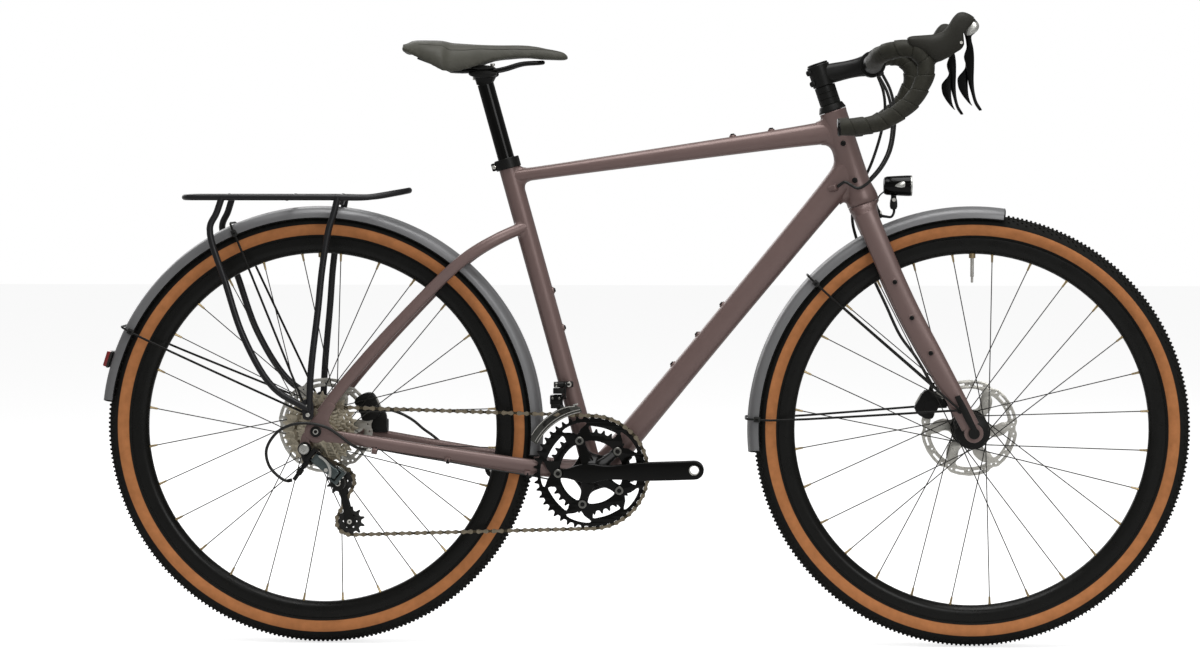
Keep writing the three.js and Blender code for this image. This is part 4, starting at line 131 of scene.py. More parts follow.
def grainField(tree, place, look):
    kind, size = look["grain"], 1000 / look["grainSize"]
    if kind == "cells":
        cells = node(tree, "ShaderNodeTexVoronoi", {"Vector": place, "Scale": size}, feature="DISTANCE_TO_EDGE")
        return ranged(tree, cells.outputs[0], 0.0, 0.25)
    if kind == "rings":
        radius = radiusField(tree, place, look["centre"])
        return noise(tree, node(tree, "ShaderNodeCombineXYZ", {"X": radius}).outputs[0], size, 2)
    if kind == "brushed":
        place = node(tree, "ShaderNodeMapping", {"Vector": place, "Scale": look["stretch"]}).outputs[0]
    return noise(tree, place, size, 3)


def makeFinish(name, look):
    # Sizes are in millimetres; a band is (inner radius, outer radius, colour) about a wheel's axle.
    smudgeSize, bandBlur = 18, 0.4
    material = bpy.data.materials.new(name)
    material.use_nodes = True
    tree = material.node_tree
    shader = tree.nodes["Principled BSDF"]
    settings = {"Metallic": look.get("metal", 0), "Specular IOR Level": look.get("shine", 0.5),
                "Coat Weight": look.get("coat", 0), "Coat Roughness": look.get("coatRough", 0.1),
                "Sheen Weight": look.get("sheen", 0), "Sheen Roughness": 0.4}
    for label, value in settings.items():
        shader.inputs[label].default_value = value
    place = node(tree, "ShaderNodeTexCoord").outputs["Object"]
    mottle = look.get("mottle", 0.08)
    even = ranged(tree, noise(tree, place, 1000 / look.get("mottleSize", 30), 5), 0.3, 0.7)
    result = mixed(tree, even, tone(look["colour"], 1 - mottle), tone(look["colour"], 1 + mottle))
    for start, end, code in look.get("bands", []):
        radius = radiusField(tree, place, look["centre"])
        rise = ranged(tree, radius, (start - bandBlur) / 1000, (start + bandBlur) / 1000)
        fall = ranged(tree, radius, (end + bandBlur) / 1000, (end - bandBlur) / 1000)
        share = node(tree, "ShaderNodeMath", {0: rise, 1: fall}, operation="MULTIPLY").outputs[0]
        result = mixed(tree, share, result, mixed(tree, even, tone(code, 0.88), tone(code, 1.1)))
    tree.links.new(result, shader.inputs["Base Color"])
    rough, spread = look["rough"], look.get("roughSpread", 0.06)
    smudge = noise(tree, place, 1000 / smudgeSize, 4)
    tree.links.new(ranged(tree, smudge, 0.3, 0.7, max(0.02, rough - spread), rough + spread),
                   shader.inputs["Roughness"])
    if "grain" in look:
        values = {"Height": grainField(tree, place, look), "Strength": look.get("grainStrength", 0.4),
                  "Distance": look["grainDepth"] / 1000}
        tree.links.new(node(tree, "ShaderNodeBump", values).outputs[0], shader.inputs["Normal"])
    return material


looks = {
    "framePaint": dict(colour="#745f5b", rough=0.4, metal=0.35, coat=0.25, coatRough=0.3, mottle=0.03, mottleSize=60,
                       grain="noise", grainSize=0.5, grainDepth=0.03, grainStrength=0.15, roughSpread=0.04),
    "satinBlack": dict(colour="#0d0d0b", rough=0.42, shine=0.24, mottle=0.1, grain="noise", grainSize=0.6,
                       grainDepth=0.03, grainStrength=0.2),
    "glossBlack": dict(colour="#030302", rough=0.16, shine=0.16, coat=0.06, coatRough=0.06, mottle=0.08,
                       roughSpread=0.04),
    "rimBlack": dict(colour="#10100e", rough=0.3, metal=0.2, mottle=0.1, roughSpread=0.05, shine=0.25),
    "hoodRubber": dict(colour="#25241e", rough=0.62, mottle=0.1, grain="cells", grainSize=0.9, grainDepth=0.05,
                       shine=0.25),
    "barTape": dict(colour="#2b2a22", rough=0.6, mottle=0.18, mottleSize=12, grain="cells", grainSize=1.3,
                    grainDepth=0.12, sheen=0.1, shine=0.25),
    "saddleCover": dict(colour="#43423a", rough=0.58, mottle=0.07, grain="cells", grainSize=0.8, grainDepth=0.06,
                        sheen=0.12, shine=0.35),
    "darkPlastic": dict(colour="#1a1a18", rough=0.5, mottle=0.1, grain="noise", grainSize=0.5, grainDepth=0.04,
                        shine=0.4),
    "cableSleeve": dict(colour="#161614", rough=0.38, mottle=0.08, shine=0.4),
    "guardGrey": dict(colour="#747475", rough=0.42, metal=0.25, coat=0.15, coatRough=0.25, mottle=0.06, mottleSize=80,
                      grain="noise", grainSize=0.7, grainDepth=0.03, grainStrength=0.2),
    "rackBlack": dict(colour="#1b1b1d", rough=0.36, metal=0.35, mottle=0.08, grain="noise", grainSize=0.5,
                      grainDepth=0.05),
    "sprocketSteel": dict(colour="#b9b09c", rough=0.34, metal=0.9, mottle=0.14, mottleSize=9, grain="rings",
                          grainSize=0.5, grainDepth=0.03, centre=rearAxle),
    "chainSteel": dict(colour="#8d8371", rough=0.36, metal=0.95, mottle=0.2, mottleSize=7, grain="noise",
                       grainSize=0.4, grainDepth=0.03),
    "mechGrey": dict(colour="#454f4f", rough=0.24, metal=0.6, coat=0.4, coatRough=0.12, mottle=0.12),
    "brightSteel": dict(colour="#d6d4cd", rough=0.3, metal=0.95, mottle=0.1, mottleSize=12, grain="brushed",
                        grainSize=0.5, stretch=(0.1, 1, 1), grainDepth=0.02),
    "spokeSteel": dict(colour="#3a3936", rough=0.35, metal=0.8, mottle=0.1),
    "brass": dict(colour="#a99672", rough=0.35, metal=0.9, mottle=0.1),
    "redLens": dict(colour="#7d1312", rough=0.15, coat=0.5, mottle=0.05, grain="cells", grainSize=2.2,
                    grainDepth=0.2),
    "boltSteel": dict(colour="#7b7a75", rough=0.3, metal=0.9, mottle=0.1, mottleSize=10),
    "chainDark": dict(colour="#4b4436", rough=0.4, metal=0.9, mottle=0.2, mottleSize=7),
    "mechSteel": dict(colour="#4c4c48", rough=0.28, metal=0.85, mottle=0.12, mottleSize=8),
    "silverPlate": dict(colour="#c4c4bf", rough=0.25, metal=0.85, mottle=0.05, mottleSize=8),
}
finishes = {name: makeFinish(name, look) for name, look in looks.items()}
for word, centre in (("Front", frontAxle), ("Rear", rearAxle)):
    finishes["tyre" + word] = makeFinish("tyre" + word, dict(
        colour="#191917", rough=0.78, mottle=0.12, mottleSize=14, centre=centre, shine=0.15,
        bands=[(321, 338.5, "#b5774a")], grain="noise", grainSize=0.9, grainDepth=0.08, roughSpread=0.05))
    finishes["disc" + word] = makeFinish("disc" + word, dict(
        colour="#c9c7bf", rough=0.32, metal=0.95, mottle=0.08, mottleSize=10, centre=centre,
        grain="rings", grainSize=0.35, grainDepth=0.03))
finishes["clearLens"] = makeFinish("clearLens", dict(
    colour="#cfd4d6", rough=0.06, coat=0.6, mottle=0.04, grain="cells", grainSize=4, grainDepth=0.3))
glassShader = finishes["clearLens"].node_tree.nodes["Principled BSDF"]
glassShader.inputs["Transmission Weight"].default_value = 0.5
print("finishes:", len(finishes))


# Shapes
def linked(name, data):
    made = bpy.data.objects.new(name, data)
    bpy.context.scene.collection.objects.link(made)
    return made


def evaluatedMesh(made):
    bpy.context.view_layer.update()
    return bpy.data.meshes.new_from_object(made.evaluated_get(bpy.context.evaluated_depsgraph_get()))


def welded(mesh):
    form = bmesh.new()
    form.from_mesh(mesh)
    bmesh.ops.remove_doubles(form, verts=form.verts, dist=1e-6)
    bmesh.ops.recalc_face_normals(form, faces=form.faces)
    return form


def asMesh(form, name="shape"):
    mesh = bpy.data.meshes.new(name)
    form.to_mesh(mesh)
    form.free()
    return mesh


def meshOf(verts, faces):
    mesh = bpy.data.meshes.new("shape")
    mesh.from_pydata([tuple(v) for v in verts], [], faces)
    return mesh


def skin(rings, loop=False):
    count, verts, faces = len(rings[0]), [v for ring in rings for v in ring], []
    for r in range(len(rings) if loop else len(rings) - 1):
        a, b = r * count, (r + 1) % len(rings) * count
        for i in range(count):
            j = (i + 1) % count
            faces.append((a + i, a + j, b + j, b + i))
    if not loop:
        faces.append(tuple(range(count - 1, -1, -1)))
        faces.append(tuple(range(len(verts) - count, len(verts))))
    return meshOf(verts, faces)


def smoothed(points, steps=6, loop=False):
    # A smooth row of points through the given ones; numbers after the first three follow along.
    rows = [tuple(p) for p in points]
    count, result = len(rows), []
    beyond = lambda end, inside: tuple(2 * a - b for a, b in zip(end, inside))
    before = lambda i: rows[i - 1] if loop or i > 0 else beyond(rows[0], rows[1])
    after = lambda i: rows[(i + 2) % count] if loop or i + 2 < count else beyond(rows[-1], rows[-2])
    gapOf = lambda a, b: max(math.dist(a[:3], b[:3]), 1e-9) ** 0.5
    for i in range(count if loop else count - 1):
        p0, p1, p2, p3 = before(i), rows[i], rows[(i + 1) % count], after(i)
        d1, d2, d3 = gapOf(p0, p1), gapOf(p1, p2), gapOf(p2, p3)
        for k in range(steps):
            t, spot = k / steps, []
            for a, b, c, d in zip(p0, p1, p2, p3):
                m1 = ((b - a) / d1 - (c - a) / (d1 + d2) + (c - b) / d2) * d2
                m2 = ((c - b) / d2 - (d - b) / (d2 + d3) + (d - c) / d3) * d2
                held = (2 * t**3 - 3 * t**2 + 1) * b + (t**3 - 2 * t**2 + t) * m1
                spot.append(held + (3 * t**2 - 2 * t**3) * c + (t**3 - t**2) * m2)
            result.append(tuple(spot))
    if not loop:
        result.append(rows[-1])
    return result


def pathFrames(path, loop=False):
    # Way, side and up at each point, turned as little as possible along the path.
    path = [Vector(p[:3]) for p in path]
    count, side, frames = len(path), None, []
    for i, spot in enumerate(path):
        last = path[i - 1] if loop or i > 0 else spot
        following = path[(i + 1) % count] if loop or i + 1 < count else spot
        way = (following - last).normalized()
        if side is None:
            side = across if abs(way.y) < 0.7 else Vector((0, 0, 1))
        side = (side - way * side.dot(way)).normalized()
        frames.append((spot, way, side, way.cross(side)))
    return frames


def squared(turn, squareness):
    # Cosine and sine of a turn, drawn towards the corners of a square.
    return [math.copysign(abs(v) ** (2 / squareness), v) for v in (math.cos(turn), math.sin(turn))]


def tube(path, radius, sides=16, loop=False, squareness=2.0):
    # radius is a number, or one (across, upright) pair for each point.
    rings = []
    for i, (spot, _, side, up) in enumerate(pathFrames(path, loop)):
        wide, high = radius[i] if isinstance(radius, list) else (radius, radius)
        ring = []
        for k in range(sides):
            c, s = squared(2 * math.pi * k / sides, squareness)
            ring.append(spot + side * (wide / 1000 * c) + up * (high / 1000 * s))
        rings.append(ring)
    return skin(rings, loop)


def ovalTube(stations, steps=8, sides=40, squareness=2.0):
    # Stations are (place, half width, half height).
    rows = smoothed([(*place, wide, high) for place, wide, high in stations], steps)
    return tube(rows, [row[3:] for row in rows], sides, squareness=squareness)


def rod(start, end, radius, sides=24, ease=0.0, endRadius=None):
    # A straight shaft with its ends eased off.
    way, length = (end - start).normalized(), (end - start).length * 1000
    last = radius if endRadius is None else endRadius
    profile = [(0, 0), (radius - ease, 0), (radius, ease), (last, length - ease), (last - ease, length), (0, length)]
    return lathe(profile, start, way, sides)


def lathe(profile, centre, axis=across, segments=48):
    side = Vector((1, 0, 0)) if abs(axis.x) < 0.7 else Vector((0, 0, 1))
    side = (side - axis * side.dot(axis)).normalized()
    up = axis.cross(side)
    rings = []
    for radius, along in profile:
        ring = []
        for k in range(segments):
            turn = 2 * math.pi * k / segments
            out = side * math.cos(turn) + up * math.sin(turn)
            ring.append(centre + axis * (along / 1000) + out * (radius / 1000))
        rings.append(ring)
    return skin(rings, loop=profile[0][0] > 0 and profile[-1][0] > 0)


def sleeve(bore, radius, low, high, ease, step=None):
    # The profile of a collar with eased rims; step is the rims' height where it isn't their width.
    step = ease if step is None else step
    return [(bore, low), (radius - ease, low), (radius, low + step), (radius, high - step), (radius - ease, high),
            (bore, high)]


def flatArea(ring):
    return sum(a[0] * b[1] - b[0] * a[1] for a, b in zip(ring, ring[1:] + ring[:1]))


def plate(outline, near, far, holes=(), bevel=0.0, centre=None):
    # A flat plate drawn in the side view, from one side of the bicycle to the other.
    curve = bpy.data.curves.new("outline", "CURVE")
    curve.dimensions, curve.fill_mode = "2D", "BOTH"
    curve.extrude, curve.bevel_depth, curve.bevel_resolution = (abs(far - near) / 2 - bevel) / 1000, bevel / 1000, 1
    curve.offset = -bevel / 1000
    shift = centre or (0, 0)
    for k, ring in enumerate([outline, *holes]):
        ring = list(ring) if (flatArea(list(ring)) > 0) == (k == 0) else list(ring)[::-1]
        line = curve.splines.new("POLY")
        line.points.add(len(ring) - 1)
        line.use_cyclic_u = True
        for spot, (x, z) in zip(line.points, ring):
            spot.co = ((x + shift[0]) / 1000, (z + shift[1]) / 1000, 0, 1)
    carrier = linked("outline", curve)
    mesh = evaluatedMesh(carrier)
    bpy.data.objects.remove(carrier)
    bpy.data.curves.remove(curve)
    mesh.transform(Matrix.Translation((-middleX / 1000, (near + far) / 2000, 0)) @ Matrix.Rotation(math.pi / 2, 4,
            "X"))
    return mesh


def block(centre, sizes, bevel=1.0, turn=None):
    # A box with eased edges; turn is a rotation about its middle.
    form = bmesh.new()
    bmesh.ops.create_cube(form, size=1)
    bmesh.ops.scale(form, vec=[s / 1000 for s in sizes], verts=form.verts)
    if bevel:
        bmesh.ops.bevel(form, geom=list(form.edges), offset=bevel / 1000, segments=2, affect="EDGES", profile=0.6)
    mesh = asMesh(form)
    mesh.transform(Matrix.Translation(centre) @ (turn.to_4x4() if turn else Matrix.Identity(4)))
    return mesh


def pitched(angle):
    return Matrix.Rotation(math.radians(angle), 3, "Y")


def turned(mesh, angle, centre):
    copy = mesh.copy()
    copy.transform(Matrix.Translation(centre) @ pitched(angle).to_4x4() @ Matrix.Translation(-centre))
    return copy


def mirrored(mesh):
    copy = mesh.copy()
    copy.transform(Matrix.Diagonal((1, -1, 1, 1)))
    return copy


def carve(mesh, cutter):
    target, tool = linked("carve", mesh), linked("carve", asMesh(welded(cutter)))
    cut = target.modifiers.new("cut", "BOOLEAN")
    cut.operation, cut.object, cut.solver = "DIFFERENCE", tool, "EXACT"
    result = evaluatedMesh(target)
    for made in (target, tool):
        bpy.data.objects.remove(made)
    return result


def circle(radius, count=24, x=0, z=0, start=0.0):
    turns = [start + 2 * math.pi * k / count for k in range(count)]
    return [(x + radius * math.cos(turn), z + radius * math.sin(turn)) for turn in turns]


def polar(radius, angle, along=0.0):
    turn = math.radians(angle) + along / radius
    return (radius * math.cos(turn), radius * math.sin(turn))


def spotAround(axle, radius, angle):
    x, z = polar(radius, angle)
    return (axle[0] + x, axle[1] + z)


def aroundAxle(axle, radius, angle, y=0):
    return centreOf(spotAround(axle, radius, angle), y)


def roundedRing(points, steps=4):
    return smoothed(points, steps, loop=True)


def bothSides(points):
    return points + [(x, -y, z) for x, y, z in reversed(points[:-1])]


def piece(name, parts, body, stands=(), crease=32):
    whole, used = bmesh.new(), []
    for mesh, finish in parts:
        if finish not in used:
            used.append(finish)
        form = welded(mesh)
        for face in form.faces:
            face.material_index, face.smooth = used.index(finish), True
        shape = asMesh(form, "part")
        whole.from_mesh(shape)
        bpy.data.meshes.remove(shape)
    mesh = asMesh(whole, name)
    for finish in used:
        mesh.materials.append(finishes[finish])
    mesh.set_sharp_from_angle(angle=math.radians(crease))
    made = linked(name, mesh)
    if body:
        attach(made, body)
    if stands:
        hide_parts(*stands)
    return made


# Node trees that repeat a small shape
def newTree(name, numbers):
    tree = bpy.data.node_groups.new(name, "GeometryNodeTree")
    for label, kind in [("Places", "Geometry"), ("Unit", "Object"), ("Finish", "Material"), *numbers]:
        tree.interface.new_socket(label, in_out="INPUT", socket_type="NodeSocket" + kind)
    tree.interface.new_socket("Result", in_out="OUTPUT", socket_type="NodeSocketGeometry")
    return tree, tree.nodes.new("NodeGroupInput").outputs


def finishTree(tree, given, places, rotation, chosen=None):
    unit = node(tree, "GeometryNodeObjectInfo", {"Object": given["Unit"]}).outputs["Geometry"]
    spread = node(tree, "GeometryNodeInstanceOnPoints", {"Points": places, "Instance": unit, "Rotation": rotation})
    if chosen:
        tree.links.new(chosen, spread.inputs["Selection"])
    real = node(tree, "GeometryNodeRealizeInstances", {"Geometry": spread.outputs[0]})
    painted = node(tree, "GeometryNodeSetMaterial", {"Geometry": real.outputs[0], "Material": given["Finish"]})
    out = tree.nodes.new("NodeGroupOutput")
    tree.links.new(painted.outputs[0], out.inputs[0])
    return tree


def makeRingTree():
    # Copies stand evenly round an axle; the unit's own X points outwards.
    tree, given = newTree("roundAnAxle", [("Count", "Int"), ("FirstAngle", "Float")])
    points = node(tree, "GeometryNodePoints", {"Count": given["Count"]})
    index = node(tree, "GeometryNodeInputIndex").outputs[0]
    step = node(tree, "ShaderNodeMath", {0: -2 * math.pi, 1: given["Count"]}, operation="DIVIDE").outputs[0]
    angle = node(tree, "ShaderNodeMath", {0: index, 1: step, 2: given["FirstAngle"]}, operation="MULTIPLY_ADD")
    euler = node(tree, "ShaderNodeCombineXYZ", {"Y": angle.outputs[0]})
    turn = node(tree, "FunctionNodeEulerToRotation", {0: euler.outputs[0]})
    return finishTree(tree, given, points.outputs[0], turn.outputs[0])


def makeRowTree(name, pivot):
    # Copies stand at given points, with the unit's X along each point's way; Every and Phase pick which.
    tree, given = newTree(name, [("Every", "Int"), ("Phase", "Int")])
    way = node(tree, "GeometryNodeInputNamedAttribute", {"Name": "way"}, data_type="FLOAT_VECTOR").outputs[0]
    turn = node(tree, "FunctionNodeAlignRotationToVector", {"Vector": way}, axis="X", pivot_axis=pivot)
    index = node(tree, "GeometryNodeInputIndex").outputs[0]
    rest = node(tree, "ShaderNodeMath", {0: index, 1: given["Every"]}, operation="FLOORED_MODULO").outputs[0]
    same = node(tree, "FunctionNodeCompare", {0: rest, 1: given["Phase"]}, data_type="FLOAT", operation="EQUAL")
    points = node(tree, "GeometryNodeMeshToPoints", {"Mesh": given["Places"]})
    return finishTree(tree, given, points.outputs[0], turn.outputs[0], same.outputs[0])


ringTree = makeRingTree()
rowTree = makeRowTree("alongARow", "Y")
studTree = makeRowTree("atPlaces", "AUTO")


def runTree(tree, unitMesh, finish, values, places=None):
    unit = linked("unit", unitMesh)
    carrier = linked("carrier", places or bpy.data.meshes.new("empty"))
    modifier = carrier.modifiers.new("repeat", "NODES")
    modifier.node_group = tree
    values = {"Unit": unit, "Finish": finishes[finish], **values}
    for item in tree.interface.items_tree:
        if item.in_out == "INPUT" and item.name in values:
            modifier[item.identifier] = values[item.name]
    mesh = evaluatedMesh(carrier)
    for made in (unit, carrier):
        bpy.data.objects.remove(made)
    return mesh


def repeatedRound(unitMesh, finish, count, first, centre, side=0.0):
    # Repeats a unit drawn in millimetres from an axle.
    mesh = runTree(ringTree, unitMesh, finish, {"Count": count, "FirstAngle": -math.radians(first)})
    mesh.transform(Matrix.Translation(centreOf(centre, side)))
    return mesh, finish


def inRow(unitMesh, finish, rows, every=1, phase=0, tree=None):
    places = meshOf([spot for spot, _ in rows], [])
    places.attributes.new("way", "FLOAT_VECTOR", "POINT").data.foreach_set("vector",
            [v for _, way in rows for v in way])
    return runTree(tree or studTree, unitMesh, finish, {"Every": every, "Phase": phase}, places), finish


def small(mesh):
    # A unit is drawn about the rear axle's foot; this puts it about its own zero.
    mesh.transform(Matrix.Translation((middleX / 1000, 0, 0)))
    return mesh


def boltUnit(radius, height, socket):
    # A button head with a hexagon socket, standing along X.
    profile = [(0, -2), (radius, -2), (radius, height * 0.35), (radius * 0.82, height * 0.85), (socket + 0.3, height)]
    profile += [(socket, height), (socket * 0.9, height * 0.3), (0, height * 0.3)]
    return lathe(profile, Vector(), Vector((1, 0, 0)), 12)


def bolts(finish, rows, radius=3.6, height=3.0):
    return inRow(boltUnit(radius, height, radius * 0.48), finish, rows)


# Camera, stage and lamps
view = {"spot": (0.1631, -5.0506, 0.7965), "yaw": 0.0463, "pitch": -0.0540, "lens": 91.86}
cameraData = bpy.data.cameras.new("sideView")
cameraData.lens, cameraData.sensor_width, cameraData.clip_end = view["lens"], 36, 60
camera = linked("sideView", cameraData)
camera.location = view["spot"]
level = math.cos(view["pitch"])
aim = Vector((-math.sin(view["yaw"]) * level, math.cos(view["yaw"]) * level, math.sin(view["pitch"])))
camera.rotation_euler = aim.to_track_quat("-Z", "Y").to_euler()
bpy.context.scene.camera = camera

studio = {"ambient": 0.36, "mirrored": 0.34, "floorGlow": 0.72, "floorTone": 0.62}
world = bpy.data.worlds.new("studio")
bpy.context.scene.world = world
world.use_nodes = True
worldTree = world.node_tree
rays = node(worldTree, "ShaderNodeLightPath").outputs
seen = node(worldTree, "ShaderNodeMath", {0: rays["Is Camera Ray"], 1: rays["Is Transmission Ray"]},
            operation="MAXIMUM")
mirror = ranged(worldTree, rays["Is Glossy Ray"], 0.0, 1.0, studio["ambient"], studio["mirrored"])
strength = node(worldTree, "ShaderNodeMix", {"Factor": seen.outputs[0], "A": mirror, "B": 1.0})
backdrop = worldTree.nodes["Background"]
worldTree.links.new(strength.outputs[0], backdrop.inputs["Strength"])
backdrop.inputs["Color"].default_value = (1, 1, 1, 1)

floorMesh = meshOf([(-15, -15, 0), (15, -15, 0), (15, 15, 0), (-15, 15, 0)], [(0, 1, 2, 3)])
floor = linked("floor", floorMesh)
floorPaint = bpy.data.materials.new("floorPaint")
floorPaint.use_nodes = True
floorTree = floorPaint.node_tree
floorShader = floorTree.nodes["Principled BSDF"]
floorShader.inputs["Base Color"].default_value = (studio["floorTone"],) * 3 + (1,)
floorShader.inputs["Roughness"].default_value = 0.9
floorShader.inputs["Specular IOR Level"].default_value = 0
cameraRay = node(floorTree, "ShaderNodeLightPath").outputs["Is Camera Ray"]
none, glow = (node(floorTree, "ShaderNodeEmission", {"Strength": power}).outputs[0] for power in (0.0,
        studio["floorGlow"]))
pick = node(floorTree, "ShaderNodeMixShader", {"Fac": cameraRay, 1: none, 2: glow})
both = node(floorTree, "ShaderNodeAddShader", {0: floorShader.outputs[0], 1: pick.outputs[0]})
floorTree.links.new(both.outputs[0], floorTree.nodes["Material Output"].inputs["Surface"])
floorMesh.materials.append(floorPaint)

lamps = {
    "overhead": {"spot": (0.1, -0.6, 3.6), "aim": (0.0, 0.0, 0.4), "size": 2.4, "power": 84},
    "front": {"spot": (1.8, -3.6, 2.2), "aim": (0.1, 0.0, 0.5), "size": 1.8, "power": 40},
    "behind": {"spot": (-1.6, 3.0, 2.0), "aim": (0.0, 0.0, 0.5), "size": 2.4, "power": 34},
}
for name, lamp in lamps.items():
    data = bpy.data.lights.new(name, "AREA")
    data.size, data.energy = lamp["size"], lamp["power"]
    carrier = linked(name, data)
    carrier.location = lamp["spot"]
    carrier.rotation_euler = (Vector(lamp["aim"]) - Vector(lamp["spot"])).to_track_quat("-Z", "Y").to_euler()
print("stage ready")


# Wheels
tyre = {
    "half": [(312, 9.2), (317.5, 12.6), (321, 16.6), (326, 20.9), (331.5, 23.2), (337, 23.4), (342.5, 21.7),
             (347.5, 18.3),
             (351.6, 13.6), (354.2, 8), (355.4, 2.7)],
    "segments": 144, "rows": 150, "reach": 357.9, "knob": 1.9, "knobTop": 1.5, "knobHeight": 2.4,
    "spots": [[-15.4, -9.4, -3.1, 3.1, 9.4, 15.4], [-18.4, -12.4, -6.2, 0, 6.2, 12.4, 18.4]],
}


def wholeSection(half):
    # A wheel's section from its right edge to its left one.
    return smoothed([(r, -y) for r, y in half] + half[::-1], 2)


def treadRow(spots):
    # One row of knobs across the crown, each standing square to the rubber.
    outline = wholeSection(tyre["half"])
    verts, faces = [], []
    for spot in spots:
        low, high = next((a, b) for a, b in zip(outline, outline[1:]) if a[1] <= spot <= b[1] and a[0] > 340)
        share = (spot - low[1]) / (high[1] - low[1])
        radius = low[0] + share * (high[0] - low[0])
        slope = Vector((high[1] - low[1], low[0] - high[0])).normalized()
        start = len(verts)
        top = min(tyre["knobHeight"], (tyre["reach"] - radius) / max(slope.x, 0.3))
        for lift, size in ((-1.0, tyre["knob"]), (top, tyre["knobTop"])):
            for k in range(6):
                turn = math.pi * k / 3
                shift = size * math.cos(turn)
                out, side = lift * slope.x - shift * slope.y, lift * slope.y + shift * slope.x
                verts.append(((radius + out) / 1000, (spot + side) / 1000, size * math.sin(turn) / 1000))
        faces += [(start + k, start + (k + 1) % 6, start + 6 + (k + 1) % 6, start + 6 + k) for k in range(6)]
        faces += [tuple(start + 5 - k for k in range(6)), tuple(start + 6 + k for k in range(6))]
    return meshOf(verts, faces)


def makeTyre(name, centre, body):
    parts = [(lathe(wholeSection(tyre["half"]), centreOf(centre), across, tyre["segments"]), "tyre" + name.title())]
    for k, spots in enumerate(tyre["spots"]):
        parts.append(repeatedRound(treadRow(spots), "tyre" + name.title(), tyre["rows"], k * 180 / tyre["rows"],
                                   centre))
    piece(name + "Tyre", parts, body, [name + "_tyre"], 50)


rim = {"half": [(309, 9.4), (315.6, 10.6), (317, 11.8), (316.4, 13), (311, 13), (303, 12.8), (298, 11.2),
                (293.5, 7.4), (290.6, 3.4)]}


def makeRim(name, centre, body):
    parts = [(lathe(wholeSection(rim["half"]), centreOf(centre), across, 144), "rimBlack")]
    stem = [(0, -47), (1.7, -47), (2.0, -45.5), (2.0, -38), (2.9, -37), (2.9, 2), (0, 2)]
    collar = [(3, -7), (5.4, -6.4), (5.4, 1), (3, 1)]
    for profile, finish in ((stem, "brightSteel"), (collar, "brass")):
        parts.append((lathe(profile, at(centre[0], 0, centre[1] + 290), Vector((0, 0, 1)), 16), finish))
    piece(name + "Rim", parts, body, [name + "_rim"], 40)


def spokeLine(flange, turn, rimSide):
    # Head, tip and way of the spoke whose hole in the rim is in front of the axle.
    flangeRadius, rimRadius, hubAngle = 26, 291, math.radians(turn * 77.1)
    head = Vector((flangeRadius * math.cos(hubAngle), flange, flangeRadius * math.sin(hubAngle))) / 1000
    tip = Vector((rimRadius, rimSide, 0)) / 1000
    return head, tip, (tip - head).normalized()


def spokeUnit(flange, turn, rimSide):
    head, tip, way = spokeLine(flange + turn * 1.6, turn, rimSide)
    path = [head - across * (turn * 3.4 / 1000), head + across * (turn * 0.3 / 1000), head + way * 0.004,
            head + way * 0.02, head + way * 0.04, tip - way * 0.02, tip]
    return tube(path, [(w, w) for w in (1.7, 1.05, 1.0, 1.0, 0.85, 0.85, 1.0)], 6)


def nippleUnit(flange, turn, rimSide):
    _, tip, way = spokeLine(flange, turn, rimSide)
    return lathe([(0, -13), (1.5, -13), (1.7, -11), (1.9, -3), (2.3, -2), (2.3, 1), (0, 1)], tip, way, 8)


def makeHub(name, centre, body, rightEnd, flanges, leftEnd):
    right, left = flanges
    profile = [(6.6, rightEnd), (10, rightEnd), (10.5, rightEnd + 1), (11.5, right - 5), (17, right - 4),
               (22, right - 2.4), (28.6, right - 1.9), (29, right - 1.2), (29, right + 1.2), (28.6, right + 1.9),
               (22, right + 2.6), (16.5, right + 6), (14.2, right + 12), (13.4, (right + left) / 2),
               (14.2, left - 12), (16.5, left - 6), (22, left - 2.6), (28.6, left - 1.9), (29, left - 1.2),
               (29, left + 1.2), (28.6, left + 1.9), (22, left + 2.4), (17.5, left + 4), (17.2, 43.8), (19, 44.2),
               (19, 46.2), (14, 46.8), (12, leftEnd - 6), (10, leftEnd), (6.6, leftEnd)]
    parts = [(lathe(profile, centreOf(centre)), "satinBlack")]
    step = 360 / wheel["spokes"]
    for group in range(4):
        flange, turn, rimSide = (right, left)[group % 2], (1, -1)[group // 2], (-2, 2)[group % 2]
        first = (group + 0.5) * step
        for unit, finish in ((spokeUnit, "spokeSteel"), (nippleUnit, "brass")):
            parts.append(repeatedRound(unit(flange, turn, rimSide), finish, wheel["spokes"] // 4, first, centre))
    piece(name + "Hub", parts, body, [name + "_hub"], 40)


rotor = {
    "side": 42, "thick": 1.8, "lobes": 6,
    "lobe": [(0, 76.6), (0.04, 76.8), (0.09, 79), (0.14, 80), (0.3, 80), (0.5, 80), (0.7, 80), (0.86, 80), (0.91, 79),
             (0.96, 76.8)],
    "window": [(33, 12), (33, 36), (45, 40), (59, 50), (64.5, 56), (65.5, 40), (65.5, 22), (64, 10), (54, 10),
               (42, 6)],
}


